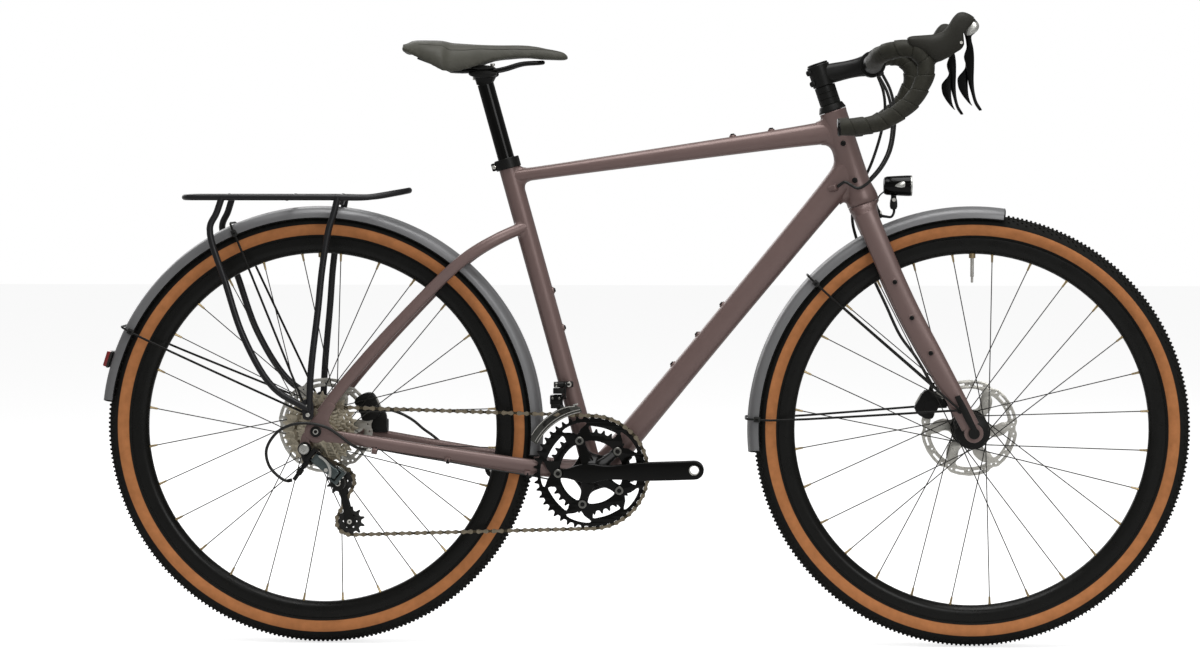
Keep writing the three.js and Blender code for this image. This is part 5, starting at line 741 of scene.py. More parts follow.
def makeRotor(name, centre, body):
    step = 360 / rotor["lobes"]
    outline = []
    for k in range(rotor["lobes"]):
        for share, radius in rotor["lobe"]:
            outline.append(polar(radius, (k + share) * step))
    holes = [circle(17.5, 36)]
    for k in range(rotor["lobes"]):
        start = k * step
        holes.append(roundedRing([polar(radius, start + angle) for radius, angle in rotor["window"]], 3))
        for share in (0.3, 0.7):
            middle = start + share * step
            slot = [polar(74.6, middle, a) for a in (-7, -3, 3, 7)] + [polar(71.6, middle, a) for a in (7, 3, -3, -7)]
            holes.append(roundedRing(slot, 2))
        for share in (0.03, 0.5, 0.12, 0.88):
            x, z = polar(70.5 if share in (0.03, 0.5) else 74, start + share * step)
            holes.append(circle(1.5, 8, x, z))
    near, far = rotor["side"] - rotor["thick"] / 2, rotor["side"] + rotor["thick"] / 2
    parts = [(plate(outline, near, far, holes, 0.15, centre), "disc" + name.title())]
    carrier = [(17.4, -3), (30, -2.2), (31, -1.4), (31, -0.95), (17.4, -0.95)]
    parts.append((lathe(carrier, centreOf(centre, rotor["side"]), across, 36), "satinBlack"))
    piece(name + "Rotor", parts, body, [name + "_rotor"], 30)


for name, centre, body, hubEnds in (("front", frontAxle, "front_wheel", (-50, (-34, 27), 50)),
                                    ("rear", rearAxle, "rear_wheel", (-25.6, (-21, 31), 71))):
    makeTyre(name, centre, body)
    makeRim(name, centre, body)
    makeHub(name, centre, body, *hubEnds)
    makeRotor(name, centre, body)
print("wheels built")


# Frame
def span(rows, side=0.0, sides=28, squareness=2.3, steps=5):
    # A form through rows of (top x, top z, bottom x, bottom z, half width).
    rings = []
    for topX, topZ, lowX, lowZ, half in smoothed(rows, steps):
        top, low = at(topX, side, topZ), at(lowX, side, lowZ)
        middle, up, ring = (top + low) / 2, (top - low) / 2, []
        for k in range(sides):
            c, s = squared(2 * math.pi * k / sides, squareness)
            ring.append(middle + up * s + across * (max(half, 0.2) / 1000 * c))
        rings.append(ring)
    return skin(rings)


def surfaceOf(mesh):
    return BVHTree.FromPolygons([v.co for v in mesh.vertices], [tuple(p.vertices) for p in mesh.polygons])


def weldRing(target, place, way, wide, high, hollow=9.0, reach=0.09):
    # The hollow curve where a tube that leaves a place along a way meets the skin of another.
    tree = surfaceOf(target)
    side = (across - way * across.dot(way)).normalized()
    up, rings = way.cross(side), []
    for k in range(60):
        turn = 2 * math.pi * k / 60

        def foot(grow):
            out = side * ((wide + grow) / 1000 * math.cos(turn)) + up * ((high + grow) / 1000 * math.sin(turn))
            return tree.ray_cast(place + out + way * reach, -way, reach * 1.6)[0]
        near, grow = foot(0), hollow
        if near is None:
            continue
        far = foot(grow)
        while grow > 0.2 and (far is None or abs((near - far).dot(way)) > 0.0012 * grow + 0.004):
            grow *= 0.85
            far = foot(grow)
        far = near if far is None else far
        out = (side * math.cos(turn) + up * math.sin(turn)).normalized()
        top = near + way * (grow / 1000)
        ring = [far - way * 0.0006]
        for t in (0.1, 0.3, 0.5, 0.7, 0.9):
            ring.append(far * (1 - t) ** 2 + near * (2 * t * (1 - t)) + top * t * t)
        rings.append(ring + [top - out * 0.0006, near - out * 0.0015 - way * 0.0015])
    return skin(rings, loop=True) if len(rings) > 40 else meshOf([], [])


seatTop = onSeatTube(503)
headJoin = onSteering(0, 0, 519)
downTop = onSteering(0, 0, 455)
downWay = (downTop - centreOf(bracket)).normalized()
downLow = centreOf(bracket) + Vector((downWay.z, 0, -downWay.x)) * 0.012
downAlong, downLength = (downTop - downLow).normalized(), (downTop - downLow).length * 1000
downAbove = Vector((-downAlong.z, 0, downAlong.x))
topAlong, topLength = (headJoin - seatTop).normalized(), (headJoin - seatTop).length * 1000
topAbove = Vector((-topAlong.z, 0, topAlong.x))

chainstayRows = [(0.03, 74, 4.5, 9, 3), (0.12, 67, 6, 9.6, 4), (0.22, 60, 8, 10.5, 5), (0.44, 49, 8.5, 11.5, 7),
                 (0.64, 39.5, 8.5, 12.5, 8), (0.78, 33.5, 8, 13, 8), (0.86, 28, 8, 13.5, 7), (0.96, 22, 9, 13.5, 3)]
seatstayTop = onSeatTube(418)
seatstayRows = [(0.025, 0.085, 74, 4.4), (0.08, 0.16, 72, 5.2), (0.15, 0.25, 69, 6), (0.37, 0.5, 60, 7),
                (0.71, 0.84, 43, 7), (0.86, 0.935, 31, 8), (1, 1, 9, 8)]


def chainstay(side):
    rows = []
    for share, out, wide, high, drop in chainstayRows:
        rows.append((at(share * bracket[0], side * out, rearAxle[1] + share * (bracket[1] - rearAxle[1]) - drop),
                     wide, high))
    return ovalTube(rows, 6, 32, 2.3)


def seatstay(side):
    rise = seatstayTop.z * 1000 - rearAxle[1]
    run = seatstayTop.x * 1000 + middleX
    rows = [(at(forward * run, side * out, rearAxle[1] + up * rise), wide, 9.5) for forward, up, out,
            wide in seatstayRows]
    return ovalTube(rows, 6, 28, 2.2)


rearEyelet, frontEyelet = (-12, 386), (1051, 396)
dropoutRing = roundedRing([polar(19, a) for a in range(130, 311, 30)] + [(16, -17.5), (30, -18), (45, -19), (47, -5),
        (33, 0), (25, 8), (21, 18), (27, 32), (32, 43), (20, 48), (10, 38), (0, 27), (-8, 19)], 3)
hangerRing = roundedRing([(-18, -1), (-12, -14), (-8.6, -28), (-11.5, -35.5), (-18, -38.3), (-25, -35.3), (-28, -28),
                          (-26.5, -18), (-23, -6)], 3)


def dropout(side):
    near, far = sorted((side * 71.3, side * 78.3))
    ends = sorted((side * 70.8, side * 78.6))
    parts = [plate(dropoutRing, near, far, [circle(6.3, 24)], 1.2, rearAxle)]
    parts.append(lathe(sleeve(6.6, 11.4, *ends, 0.4), centreOf(rearAxle), across, 32))
    parts.append(lathe(sleeve(2.6, 7, *ends, 0.6), centreOf(rearEyelet), across, 24))
    if side < 0:
        parts.append(plate(hangerRing, near + 0.6, far - 0.6, [circle(4, 20, -18.2, -28.1)], 0.9, rearAxle))
    return parts


bossGap = 64


def bossPlaces():
    # Places and outward ways of the threaded bosses on the seat tube, down tube and top tube.
    places = []
    seatForward = Vector((seatUp.z, 0, -seatUp.x))
    for k in range(2):
        places.append((onSeatTube(239.85 + bossGap * k) + seatForward * 0.0165, seatForward))
    for k in range(3):
        along = (0.335 * downLength + bossGap * k) / 1000
        places.append((downLow + downAlong * along + downAbove * 0.0208, downAbove))
    for k in range(2):
        share = 0.68 + bossGap * k / topLength
        places.append((seatTop + topAlong * (share * topLength / 1000) + topAbove * ((11 + 7 * share) / 1000),
                       topAbove))
    return places


cableStop = at(90, -64, 325.9)


def portSpot(side, forward, out):
    return onSteering(forward, side * out, 433)


def makeFrame():
    foot = centreOf(bracket)
    headTube = lathe([(15, 0.4), (25.9, 0.4), (26.5, 1.2), (26.5, 9), (26, 14), (24.6, 21), (23, 29), (22.2, 38),
                      (22, 52), (22, 156), (22.4, 157), (22.4, 159.2), (22, 159.8), (15, 159.8)],
                     onSteering(0, 0, 393), steeringUp, 64)
    seatTube = rod(foot, onSeatTube(533), 16.5, 56, 0.6)
    shell = lathe(sleeve(12.5, 23, -34, 34, 0.8), foot, across, 56)
    topRows = [(seatTop.lerp(headJoin, share), wide, high) for share, wide,
               high in ((0, 15, 11.6), (0.08, 15, 11), (0.5, 15.6, 13.6), (0.85, 16.6, 16.6), (0.95, 17, 18.6),
                        (1, 17.4, 20))]
    downRows = [(downLow.lerp(downTop, share), wide, high) for share, wide,
                high in ((0, 24, 23.5), (0.08, 23.4, 22), (0.3, 20.6, 20.6), (0.7, 20, 21), (0.92, 20, 22.6),
                         (1, 20.4, 25.5))]
    parts = [headTube, seatTube, shell, ovalTube(topRows, 6, 40, 2.4), ovalTube(downRows, 6, 44, 2.4)]
    for side in (1, -1):
        parts += [chainstay(side), seatstay(side), *dropout(side)]
        mouth, end = portSpot(side, -46, 17), portSpot(side, -33, 26)
        parts.append(rod(mouth, end, 5.2, 24, 0.8, 5.8))
    bridgeReach = 374.9
    for angle, half in ((49.3, 41), (-8.5, 36)):
        spot = aroundAxle(rearAxle, bridgeReach, angle)
        parts.append(rod(spot - across * half / 1000, spot + across * half / 1000, 6, 28))
    parts += [weldRing(headTube, headJoin, -topAlong, 17.4, 19.6, 14),
              weldRing(headTube, downTop, -downAlong, 20.3, 24.6, 14),
              weldRing(seatTube, seatTop, topAlong, 15, 11.4, 14), weldRing(shell, downLow, downAlong, 23.6, 22.8, 9),
              weldRing(shell, foot, seatUp, 16.5, 16.5, 9)]
    for side in (1, -1):
        join = seatstayTop + across * side * 0.009
        stayWay = (at(0.86 * (seatstayTop.x * 1000 + middleX), side * 31, 671) - join).normalized()
        parts.append(weldRing(seatTube, join, stayWay, 8, 9.5, 7, 0.07))
    coated = [(part, "framePaint") for part in parts]
    for place, normal in bossPlaces():
        coated.append((lathe([(0, -5), (5.7, -5), (5.7, 0.9), (5.2, 1.6), (0, 1.6)], place, normal, 24),
                       "framePaint"))
    studs = [(place + normal * 0.0014, normal) for place, normal in bossPlaces()]
    coated.append(bolts("satinBlack", studs, 3.9, 2.6))
    coated.append(bolts("satinBlack", [(at(861.3, -21.7, 829.4), -across), (at(880.5, -22.2, 769.1), -across)], 4.6,
                        2.4))
    along = (foot - centreOf(rearAxle)).normalized()
    coated.append((lathe([(2.8, 0), (5, 0), (5.4, 0.6), (5.4, 8.4), (4.6, 9), (2.8, 9)], cableStop, along, 24),
                   "framePaint"))
    coated.append((block(cableStop + along * 0.0045 + Vector((0, 0.002, 0.005)), (9, 5, 9), 1), "framePaint"))
    piece("mainFrame", coated, "frame", ["main_frame"], 38)
    cups = [(lathe([(12.4, s * 34), (20.5, s * 34), (20.5, s * 36), (19, s * 36.4), (12.4, s * 36.4)], foot, across,
                   40), "satinBlack") for s in (1, -1)]
    cups.append((lathe([(6.2, -78.9), (8.6, -78.9), (8.6, -77), (6.2, -77)], centreOf(rearAxle), across, 24),
                 "brightSteel"))
    piece("frameFittings", cups, "frame")


def makeSeatClamp():
    base = onSeatTube(517)
    ring = lathe(sleeve(16.8, 20.8, 0, 17, 0.6, 0.8), base, seatUp, 56)
    back = Vector((-seatUp.z, 0, seatUp.x))
    turn = pitched(seatAngle - 90)
    middle = base + seatUp * 0.0085 + back * 0.0225
    parts = [(ring, "satinBlack"), (block(middle, (9, 13, 13), 2, turn), "satinBlack")]
    parts.append((rod(middle - across * 0.0085, middle + across * 0.0085, 2.9, 20, 0.5), "brightSteel"))
    parts.append(bolts("brightSteel", [(middle - across * 0.0075, -across)], 3.6, 2.4))
    piece("seatClamp", parts, "frame", ["seat_clamp"])


makeFrame()
makeSeatClamp()
print("frame built")


# Fork
forkRows = [(377, -3, 38, 12, 19), (350, -1, 42, 11, 18.5), (257, 6.5, 47, 10, 18.3), (192, 14.5, 49.8, 9, 18.2),
            (129, 25.5, 52.6, 8.3, 17.8), (48, 40.6, 56.4, 7.8, 15.6), (-6, 49.2, 57.8, 7.5, 15.2)]


def forkOut(up):
    high, low = next((a, b) for a, b in zip(forkRows, forkRows[1:]) if b[0] <= up)
    share = (up - low[0]) / (high[0] - low[0])
    return [b + share * (a - b) for a, b in zip(high[1:], low[1:])]


def makeFork():
    parts, studs = [], []
    for side in (1, -1):
        rows = [(onSteering(forward, side * out, up), wide, high) for up, forward, out, wide, high in forkRows]
        parts.append(ovalTube(rows, 6, 40, 2.2))
        ends = sorted((side * 50.4, side * 65.4))
        profile = [(6.3, ends[0]), (15, ends[0]), (15.5, ends[0] + 0.8), (15.5, ends[1] - 1.4), (14.6, ends[1]),
                   (6.3, ends[1])]
        parts.append(lathe(profile, centreOf(frontAxle)))
        ends = sorted((side * 56, side * 65.4))
        parts.append(lathe(sleeve(2.4, 6, *ends, 0.6), centreOf(frontEyelet), across, 24))
        parts.append(block(at(1058, side * 60.5, 386), (12, 7, 20), 2.2, pitched(30)))
        for k in range(3):
            up = 129 + bossGap * k
            forward, out, wide, _ = forkOut(up)
            place = onSteering(forward, side * (out + wide - 0.3), up)
            parts.append(lathe([(0, -4), (5.6, -4), (5.6, 1), (5, 1.5), (0, 1.5)], place, across * side, 24))
            studs.append((place + across * (side * 0.0014), across * side))
    rings = []
    for up, wide, deep, squareness in ((351, 47, 17, 2.6), (354, 50, 19.4, 2.6), (366, 50.5, 20, 2.5),
                                       (374, 48, 20.6, 2.4), (381, 40, 22, 2.3), (386, 32, 23.6, 2.1),
                                       (390, 27.6, 25.6, 2), (392.6, 26.2, 26.2, 2)):
        ring = []
        for k in range(56):
            c, s = squared(2 * math.pi * k / 56, squareness)
            ring.append(onSteering(deep * c - (2 if up < 388 else 0), wide * s, up))
        rings.append(ring)
    parts.append(skin(rings))
    coated = [(part, "framePaint") for part in parts]
    coated.append(bolts("satinBlack", studs, 3.9, 2.6))
    coated.append((rod(onSteering(0, 0, 380), onSteering(0, 0, 628), 14.2, 32), "satinBlack"))
    piece("fork", coated, "steering", ["fork"], 38)


makeFork()


# Stem, headset and bar
stemTop = 614.5
barCentre = at(908.86, 0, 958.70)
barShares = [(0, 0, 0), (0, .28, 0), (.01, .57, .03), (.09, .78, .08), (.36, .905, .136), (.7, .948, .14),
             (.95, .958, .024), (1, .967, -.152), (.895, .976, -.328), (.737, .981, -.496), (.447, .986, -.648),
             (.04, .99, -.784), (-.434, .995, -.832), (-.796, 1, -.842)]


def barPath(side, steps=14):
    return smoothed([barCentre + Vector((0.076 * f, side * 0.212 * o, 0.125 * u)) for f, o, u in barShares], steps)


def measured(path):
    total, lengths = 0, [0]
    for a, b in zip(path, path[1:]):
        total += math.dist(a, b) * 1000
        lengths.append(total)
    return lengths


def makeStem():
    low, high = 596.7, 632.3
    cover = [(14.8, 553.4), (22.6, 553.4), (22.8, 554.6), (22.4, 556.2), (19.4, 563.6), (18.2, 564.4), (17.2, 564.6)]
    levels = [564.8, 574.9, 585, 595.9]
    for a, b in zip(levels, levels[1:]):
        cover += [(16.6, a), (17.2, a + 0.5), (17.2, b - 0.5), (16.6, b)]
    cover += [(14.8, 596.3)]
    foot = onSteering(0, 0, 0)
    piece("headsetCover", [(lathe(cover, foot, steeringUp, 56), "satinBlack")], "steering", ["headset_cover"],
          25)
    clamp = lathe(sleeve(14.4, 18.5, low, high, 0.8, 0.9), foot, steeringUp, 56)
    cap = lathe([(0, high + 0.2), (16.4, high + 0.2), (17, high + 0.9), (17, high + 2), (15.8, high + 3.1),
                 (4.4, high + 3.1), (4, high + 2), (0, high + 2)], foot, steeringUp, 48)
    start = onSteering(0, 0, stemTop)
    end = barCentre - (barCentre - start).normalized() * 0.014
    arm = ovalTube([(start.lerp(end, share), wide, tall) for share, wide,
                    tall in ((0, 16, 16.6), (0.3, 15.4, 16), (0.62, 14.6, 14.8), (0.86, 16.4, 15.4), (1, 19.6, 17))],
                   6, 40, 2.6)
    ring = sleeve(16.1, 21.4, -20.6, 20.6, 0.6)
    parts = [(shape, "satinBlack") for shape in (clamp, arm, halfRing(ring, -steeringForward, 178), cap)]
    for up in (605, 624):
        place = onSteering(-19.2, 0, up)
        parts.append((block(onSteering(-17.4, 0, up), (9, 24, 9), 2.6, Matrix.Rotation(headTilt, 3, "Y")),
                      "satinBlack"))
        parts.append(bolts("satinBlack", [(place - across * 0.0118, -across)], 3.7, 1.6))
    parts.append(bolts("satinBlack", [(onSteering(0, 0, high + 2), steeringUp)], 4.2, 1.4))
    piece("stem", parts, "steering", ["stem"], 36)
    front = steeringForward
    parts, studs = [(halfRing(ring, front, 172), "satinBlack")], []
    for side in (1, -1):
        for up in (1, -1):
            spot = barCentre + across * (side * 0.0145) + steeringUp * (up * 0.0178) + front * 0.0105
            parts.append((rod(spot - front * 0.007, spot + front * 0.0008, 4.6, 20, 0.6), "satinBlack"))
            studs.append((spot + front * 0.0006, front))
    parts.append(bolts("satinBlack", studs, 3.2, 2))
    piece("stemFaceplate", parts, "steering", ["stem_faceplate"], 36)


def halfRing(profile, way, sweep):
    # Part of a ring about the bar, open towards the other side.
    up = across.cross(way)
    rings, steps = [], 32
    for k in range(steps + 1):
        turn = math.radians(sweep) * (k / steps - 0.5)
        out = way * math.cos(turn) + up * math.sin(turn)
        rings.append([barCentre + across * (y / 1000) + out * (r / 1000) for r, y in profile])
    return skin(rings)


def makeBar():
    path = barPath(-1)[::-1] + barPath(1)[1:]
    lengths = measured(path)
    middle, thick, thin, radii = lengths[-1] / 2, 15.9, 12, []
    for length in lengths:
        share = min(max((abs(length - middle) - 34) / 26, 0), 1)
        radii.append((thick + (thin - thick) * (share * share * (3 - 2 * share)),) * 2)
    piece("handlebar", [(tube(path, radii, 32), "satinBlack")], "steering", ["handlebar"], 40)
    for side, word in ((-1, "Right"), (1, "Left")):
        path = smoothed(barPath(side, 6), 18)
        lengths = measured(path)
        tapeStart, tapeRamp = 72, 6
        first = next(i for i, length in enumerate(lengths) if length > tapeStart)
        path, lengths = path[first:], lengths[first:]
        sides, wrap, rings = 26, 25.0, []
        for (spot, _, out, up), length in zip(pathFrames(path), lengths):
            ring = []
            for k in range(sides):
                turn = 2 * math.pi * k / sides
                phase = (length / wrap + side * k / sides) % 1
                swell = (1 - phase) ** 0.8 if phase > 0.1 else phase / 0.1
                radius = 13.1 + 1.7 * swell - (0.9 if phase < 0.07 else 0) + 0.2 * math.sin(5 * turn + length / 9)
                if length < tapeStart + tapeRamp:
                    radius = 12.2 + (radius - 12.2) * (length - tapeStart) / tapeRamp
                ring.append(spot + (out * math.cos(turn) + up * math.sin(turn)) * (radius / 1000))
            rings.append(ring)
        band, end = pathFrames(path)[0], pathFrames(path)[-1]
        plug = lathe([(0, -2), (13.4, -2), (13.9, 0), (13.6, 1.6), (12, 2.6), (0, 3)], end[0], end[1], 32)
        tapeEnd = lathe([(12.1, -3), (13.3, -2.6), (13.5, 6), (12.1, 6.4)], band[0], band[1], 32)
        piece("barTape" + word, [(skin(rings), "barTape"), (plug, "glossBlack"), (tapeEnd, "darkPlastic")],
              "steering", ["bar_tape_" + word.lower()], 40)


leverPivot, leverLength, leverSide = (1054.78, 1011.83), 137, 202.46


def leverSpot(x, z):
    return (leverPivot[0] + leverLength * x, leverPivot[1] + leverLength * z)


def fromLever(rows):
    return [(*leverSpot(*row[:2]), *leverSpot(*row[2:4]), row[4]) for row in rows]


hoodRows = [(-.728, -.135, -.708, -.205, 10.5), (-.70, -.118, -.69, -.235, 14), (-.56, -.103, -.56, -.295, 16),
            (-.43, -.092, -.43, -.405, 17.4), (-.34, -.068, -.36, -.405, 17.8), (-.27, .0, -.26, -.36, 17.6),
            (-.205, .10, -.17, -.315, 17.2), (-.15, .152, -.10, -.265, 16.6), (-.09, .162, -.062, -.18, 15.6),
            (-.03, .143, -.045, -.10, 14.2), (.03, .105, -.02, -.04, 12), (.062, .078, .02, .015, 8.5),
            (.072, .066, .055, .05, 3)]
leverRows = [(-.005, .085, -.045, .07, 5.5), (.055, .066, -.066, .04, 6.8), (.088, .02, -.074, -.02, 7),
             (.08, -.04, -.08, -.07, 7), (.045, -.08, -.074, -.1, 7), (.008, -.115, -.066, -.13, 6.8),
             (.008, -.165, -.058, -.17, 6.5), (.026, -.24, -.052, -.245, 6.2), (.037, -.33, -.08, -.343, 5.4),
             (.038, -.47, -.05, -.469, 4.9), (.035, -.62, -.033, -.62, 4.9), (.046, -.75, .006, -.765, 5.2),
             (.075, -.86, .042, -.88, 5.4), (.124, -.943, .078, -.94, 4.8), (.132, -.962, .1, -.968, 2.6)]
headRows = [(.0, .075, -.05, .05, 6.6), (.058, .058, -.069, .02, 7.1), (.091, .018, -.078, -.022, 7.3),
            (.084, -.036, -.084, -.064, 7.3), (.05, -.074, -.078, -.094, 7.2), (.014, -.1, -.066, -.112, 7)]
paddleRows = [(-.05, -.39, -.058, -.4, 0.8), (-.04, -.44, -.062, -.475, 1.5), (-.034, -.5, -.13, -.565, 1.6),
              (-.03, -.57, -.148, -.61, 1.6), (-.028, -.65, -.136, -.7, 1.6), (-.024, -.74, -.098, -.775, 1.6),
              (-.012, -.82, -.058, -.83, 1.6), (.01, -.88, -.01, -.885, 1.3), (.026, -.905, .018, -.908, 0.7)]
hoodMouth = [(.3, .075), (.046, .07), (-.095, -.088), (-.08, -.22), (-.07, -.34), (.3, -.34)]
hoodSlot = [(.3, .095), (.0, .1), (-.03, .098), (-.056, .08), (-.075, .06), (-.092, .02), (-.105, -.01),
            (-.12, -.045), (-.128, -.1), (-.14, -.17), (-.165, -.23), (-.215, -.295), (-.235, -.42), (.3, -.42)]
leverHinge = (1050.67, 1014.57)


def makeHoods():
    for side, word in ((-1, "right"), (1, "left")):
        place = side * leverSide
        hood = span(fromLever(hoodRows), place, 36, 2.5, 5)
        # The mouth in front is open, and a slot behind it holds the lever at every place of its swing.
        for outline, wide in ((hoodMouth, 30), (hoodSlot, 8)):
            hood = carve(hood, plate([leverSpot(x, z) for x, z in outline], place - wide, place + wide))
        parts = [(hood, "hoodRubber")]
        for near in (-15.4, 8.4):
            pin = [(0, near), (2.4, near), (2.4, near + 7), (0, near + 7)]
            parts.append((lathe(pin, centreOf(leverSpot(-.118, -.19), place), across, 20), "brightSteel"))
        piece("hood" + word.title(), parts, "steering", ["hood_" + word], 40)
        root = lathe(sleeve(0, 4.8, -7.4, 7.4, 0.4), centreOf(leverHinge, place), across, 28)
        head = span(fromLever(headRows), place, 28, 2.8, 4)
        blade = span(fromLever(leverRows), place, 28, 2.6, 5)
        parts = [(blade, "glossBlack"), (head, "silverPlate"), (root, "boltSteel")]
        piece("brakeLever" + word.title(), parts, "brake_lever_" + word, ["brake_lever_" + word], 40)
        lo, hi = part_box("shift_lever_" + word)
        paddle = span(fromLever(paddleRows), (lo.y + hi.y) * 500, 20, 3, 5)
        piece("shiftLever" + word.title(), [(paddle, "glossBlack")], "shift_lever_" + word, ["shift_lever_" + word],
              40)


makeStem()
makeBar()
makeHoods()
print("cockpit built")


# Seatpost and saddle
railShares = [(164, 26, 971), (185, 24, 963), (225, 22, 949.5), (246, 22, 949), (290, 22, 949), (306, 21, 952),
              (334, 15, 960), (362, 8, 962), (368, 0, 962.5)]


def makeSeatpost():
    headX = 270.4
    post = rod(onSeatTube(420), onSeatTube(662), 13.6, 48)
    neck = span([(258.5, 926, 283, 922, 13.4), (256.5, 933, 285.5, 929, 14.5), (252, 940, 290, 937.6, 17),
                 (248.5, 945.3, 292.5, 945.3, 20)], 0, 36, 2.6, 4)
    parts = [(post, "glossBlack"), (neck, "glossBlack")]
    low = roundedRing([(-22.5, 0), (-22, -4.4), (-12, -8), (12, -8), (22, -4.4), (22.5, 0)], 3)
    lid = roundedRing([(-18, 0), (-16.5, 3.4), (-6, 5.2), (6, 5.2), (16.5, 3.4), (18, 0)], 3)
    for side in (1, -1):
        near, far = sorted((side * 15.5, side * 28))
        for ring, ease, level in ((low, 1, 945.8), (lid, 0.8, 952.2)):
            parts.append((plate(ring, near, far, (), ease, (headX, level)), "satinBlack"))
    parts.append((block(at(headX, 0, 954.6), (30, 34, 5), 1.6), "satinBlack"))
    for x in (headX - 14.5, headX + 14.5):
        for start, end, radius, sides, ease in ((938, 959.5, 2.4, 16, 0), (957, 961, 4, 20, 0.6),
                (934, 938.6, 4, 20, 0.6)):
            parts.append((rod(at(x, 0, start), at(x, 0, end), radius, sides, ease), "brightSteel"))
    piece("seatpost", parts, "saddle", ["seatpost"], 36)
    drawn = bothSides([(x, -y, z) for x, y, z in railShares])
    rails = tube(smoothed([at(*p) for p in drawn], 7), 3.5, 20)
    piece("saddleRails", [(rails, "glossBlack")], "saddle", ["saddle_rails"], 40)


makeSeatpost()

saddle = {"tail": 138, "length": 272, "top": 998, "half": 75}
saddleRows = [(.018, .5, 9, 19), (.03, .68, 5.5, 21.5), (.07, .88, 1.6, 24), (.17, 1, 1.5, 38), (.3, .92, 5.5, 53),
              (.42, .68, 7.5, 46), (.55, .42, 8.5, 33), (.7, .3, 9.2, 28), (.85, .26, 11.5, 30), (.95, .2, 15.5, 31),
              (.985, .14, 19, 31), (1, .07, 23.5, 29)]


def saddleShell():
    rings = []
    for along, wide, top, skirt in smoothed(saddleRows, 6):
        x, half = saddle["tail"] + along * saddle["length"], wide * saddle["half"]
        high, low = saddle["top"] - top, saddle["top"] - skirt
        dip = 2.4 * max(0, 1 - ((along - 0.35) / 0.35) ** 2)
        ring = []
        for k in range(37):
            turn = math.pi * k / 36
            c = math.cos(turn)
            drop = (1 - math.sin(turn)) ** 1.6
            ring.append((x, half * c, high - drop * (high - low) - dip * math.exp(-(half * c / 9) ** 2)))
        under = max(high - 22, low - 1)
        inner = max(half - 9, half * 0.5)
        for k in range(13):
            turn = math.pi - math.pi * k / 12
            rise = max(math.sin(turn), 0) ** 0.6
            ring.append((x, inner * math.cos(turn), low + rise * (under - low) * 0.9 - 0.2))
        rings.append([at(*p) for p in ring])
    return skin(rings)


def swollen(drawn, limit):
    # The cover is blown up a little as cloth; no point of it moves further than the limit.
    work = linked("cover", drawn)
    even = work.modifiers.new("even", "REMESH")
    even.mode, even.voxel_size = "VOXEL", 0.004
    cover = evaluatedMesh(work)
    work.modifiers.clear()
    work.data = cover
    cloth = work.modifiers.new("cloth", "CLOTH")
    cloth.settings.use_pressure, cloth.settings.uniform_pressure_force = True, 4
    cloth.settings.effector_weights.gravity = 0
    lastFrame = 20
    cloth.point_cache.frame_start, cloth.point_cache.frame_end = 1, lastFrame
    for frameNumber in range(1, lastFrame + 1):
        bpy.context.scene.frame_set(frameNumber)
    blown = evaluatedMesh(work)
    shifts = []
    for spot, end in zip(cover.vertices, blown.vertices):
        move = end.co - spot.co
        share = min(1, max(0, spot.normal.z + 0.35))
        shifts.append(move * share * min(1, limit / max(move.length, 1e-9)))
    for spot, move in zip(cover.vertices, shifts):
        spot.co += move
    work.modifiers.clear()
    ease = work.modifiers.new("ease", "SMOOTH")
    ease.factor, ease.iterations = 0.5, 3
    finer = work.modifiers.new("finer", "SUBSURF")
    finer.levels = finer.render_levels = 1
    result = evaluatedMesh(work)
    bpy.context.scene.frame_set(1)
    bpy.data.objects.remove(work)
    return result


def makeCushion():
    drawn = saddleShell()
    drawn = swollen(drawn, 0.0018)
    cushion = piece("saddleCushion", [(drawn, "saddleCover")], "saddle", ["saddle_cushion"], 50)
    surface, seams = surfaceOf(drawn), []
    for side in (-1, 1):
        for drawnLine in ([(168, 57), (205, 60), (240, 46), (275, 28), (320, 18), (370, 12), (398, 8)],
                          [(150, 20), (185, 27), (225, 22), (262, 12), (300, 7.5), (350, 6)]):
            path = []
            for x, y in smoothed([(x, side * y) for x, y in drawnLine], 8):
                hit = surface.ray_cast(at(x, y, 1100), Vector((0, 0, -1)))[0]
                if hit:
                    path.append(hit + Vector((0, 0, -0.00015)))
            seams.append((tube(path, 0.55, 8), "hoodRubber"))
    piece("saddleSeams", seams, "saddle", crease=60)


makeCushion()
print("saddle built")


# Mudguards, stays, rack and lights
guard = {"half": 28.5, "wall": 1.7}
guardSection = [(-28.4, 349), (-28, 355), (-25.6, 360.4), (-20, 364.6), (-13, 366.9), (-11.6, 366.6), (-10.2, 367.2),
                (-4, 368.2), (0, 368.4)]


def makeGuard(name, axle, start, end, body):
    outer = guardSection + [(-y, r) for y, r in reversed(guardSection[:-1])]
    inner = [(y * (1 - guard["wall"] / guard["half"]), r - guard["wall"] * (0.25 + 0.75 * (r > 352))) for y,
             r in reversed(outer)]
    rings, edges = [], {1: [], -1: []}
    count = int((end - start) / 1.6)
    for k in range(count + 1):
        angle = start + (end - start) * k / count
        near = min(k, count - k)
        share = (0.94, 0.97, 0.99)[near] if near < 3 else 1
        rings.append([aroundAxle(axle, r, angle, y * share) for y, r in outer + inner])
        for side in edges:
            edges[side].append(aroundAxle(axle, 348.9 + 2 * (1 - share), angle, side * 27.7 * share))
    parts = [(skin(rings), "guardGrey")] + [(tube(edges[side], 1.25, 8), "glossBlack") for side in edges]
    for angle in (start, end):
        lip = [aroundAxle(axle, r - 0.9, angle, y * 0.95) for y, r in outer]
        parts.append((tube(lip, 1.2, 8), "glossBlack"))
    piece(name + "Mudguard", parts, body, [name + "_mudguard"], 50)


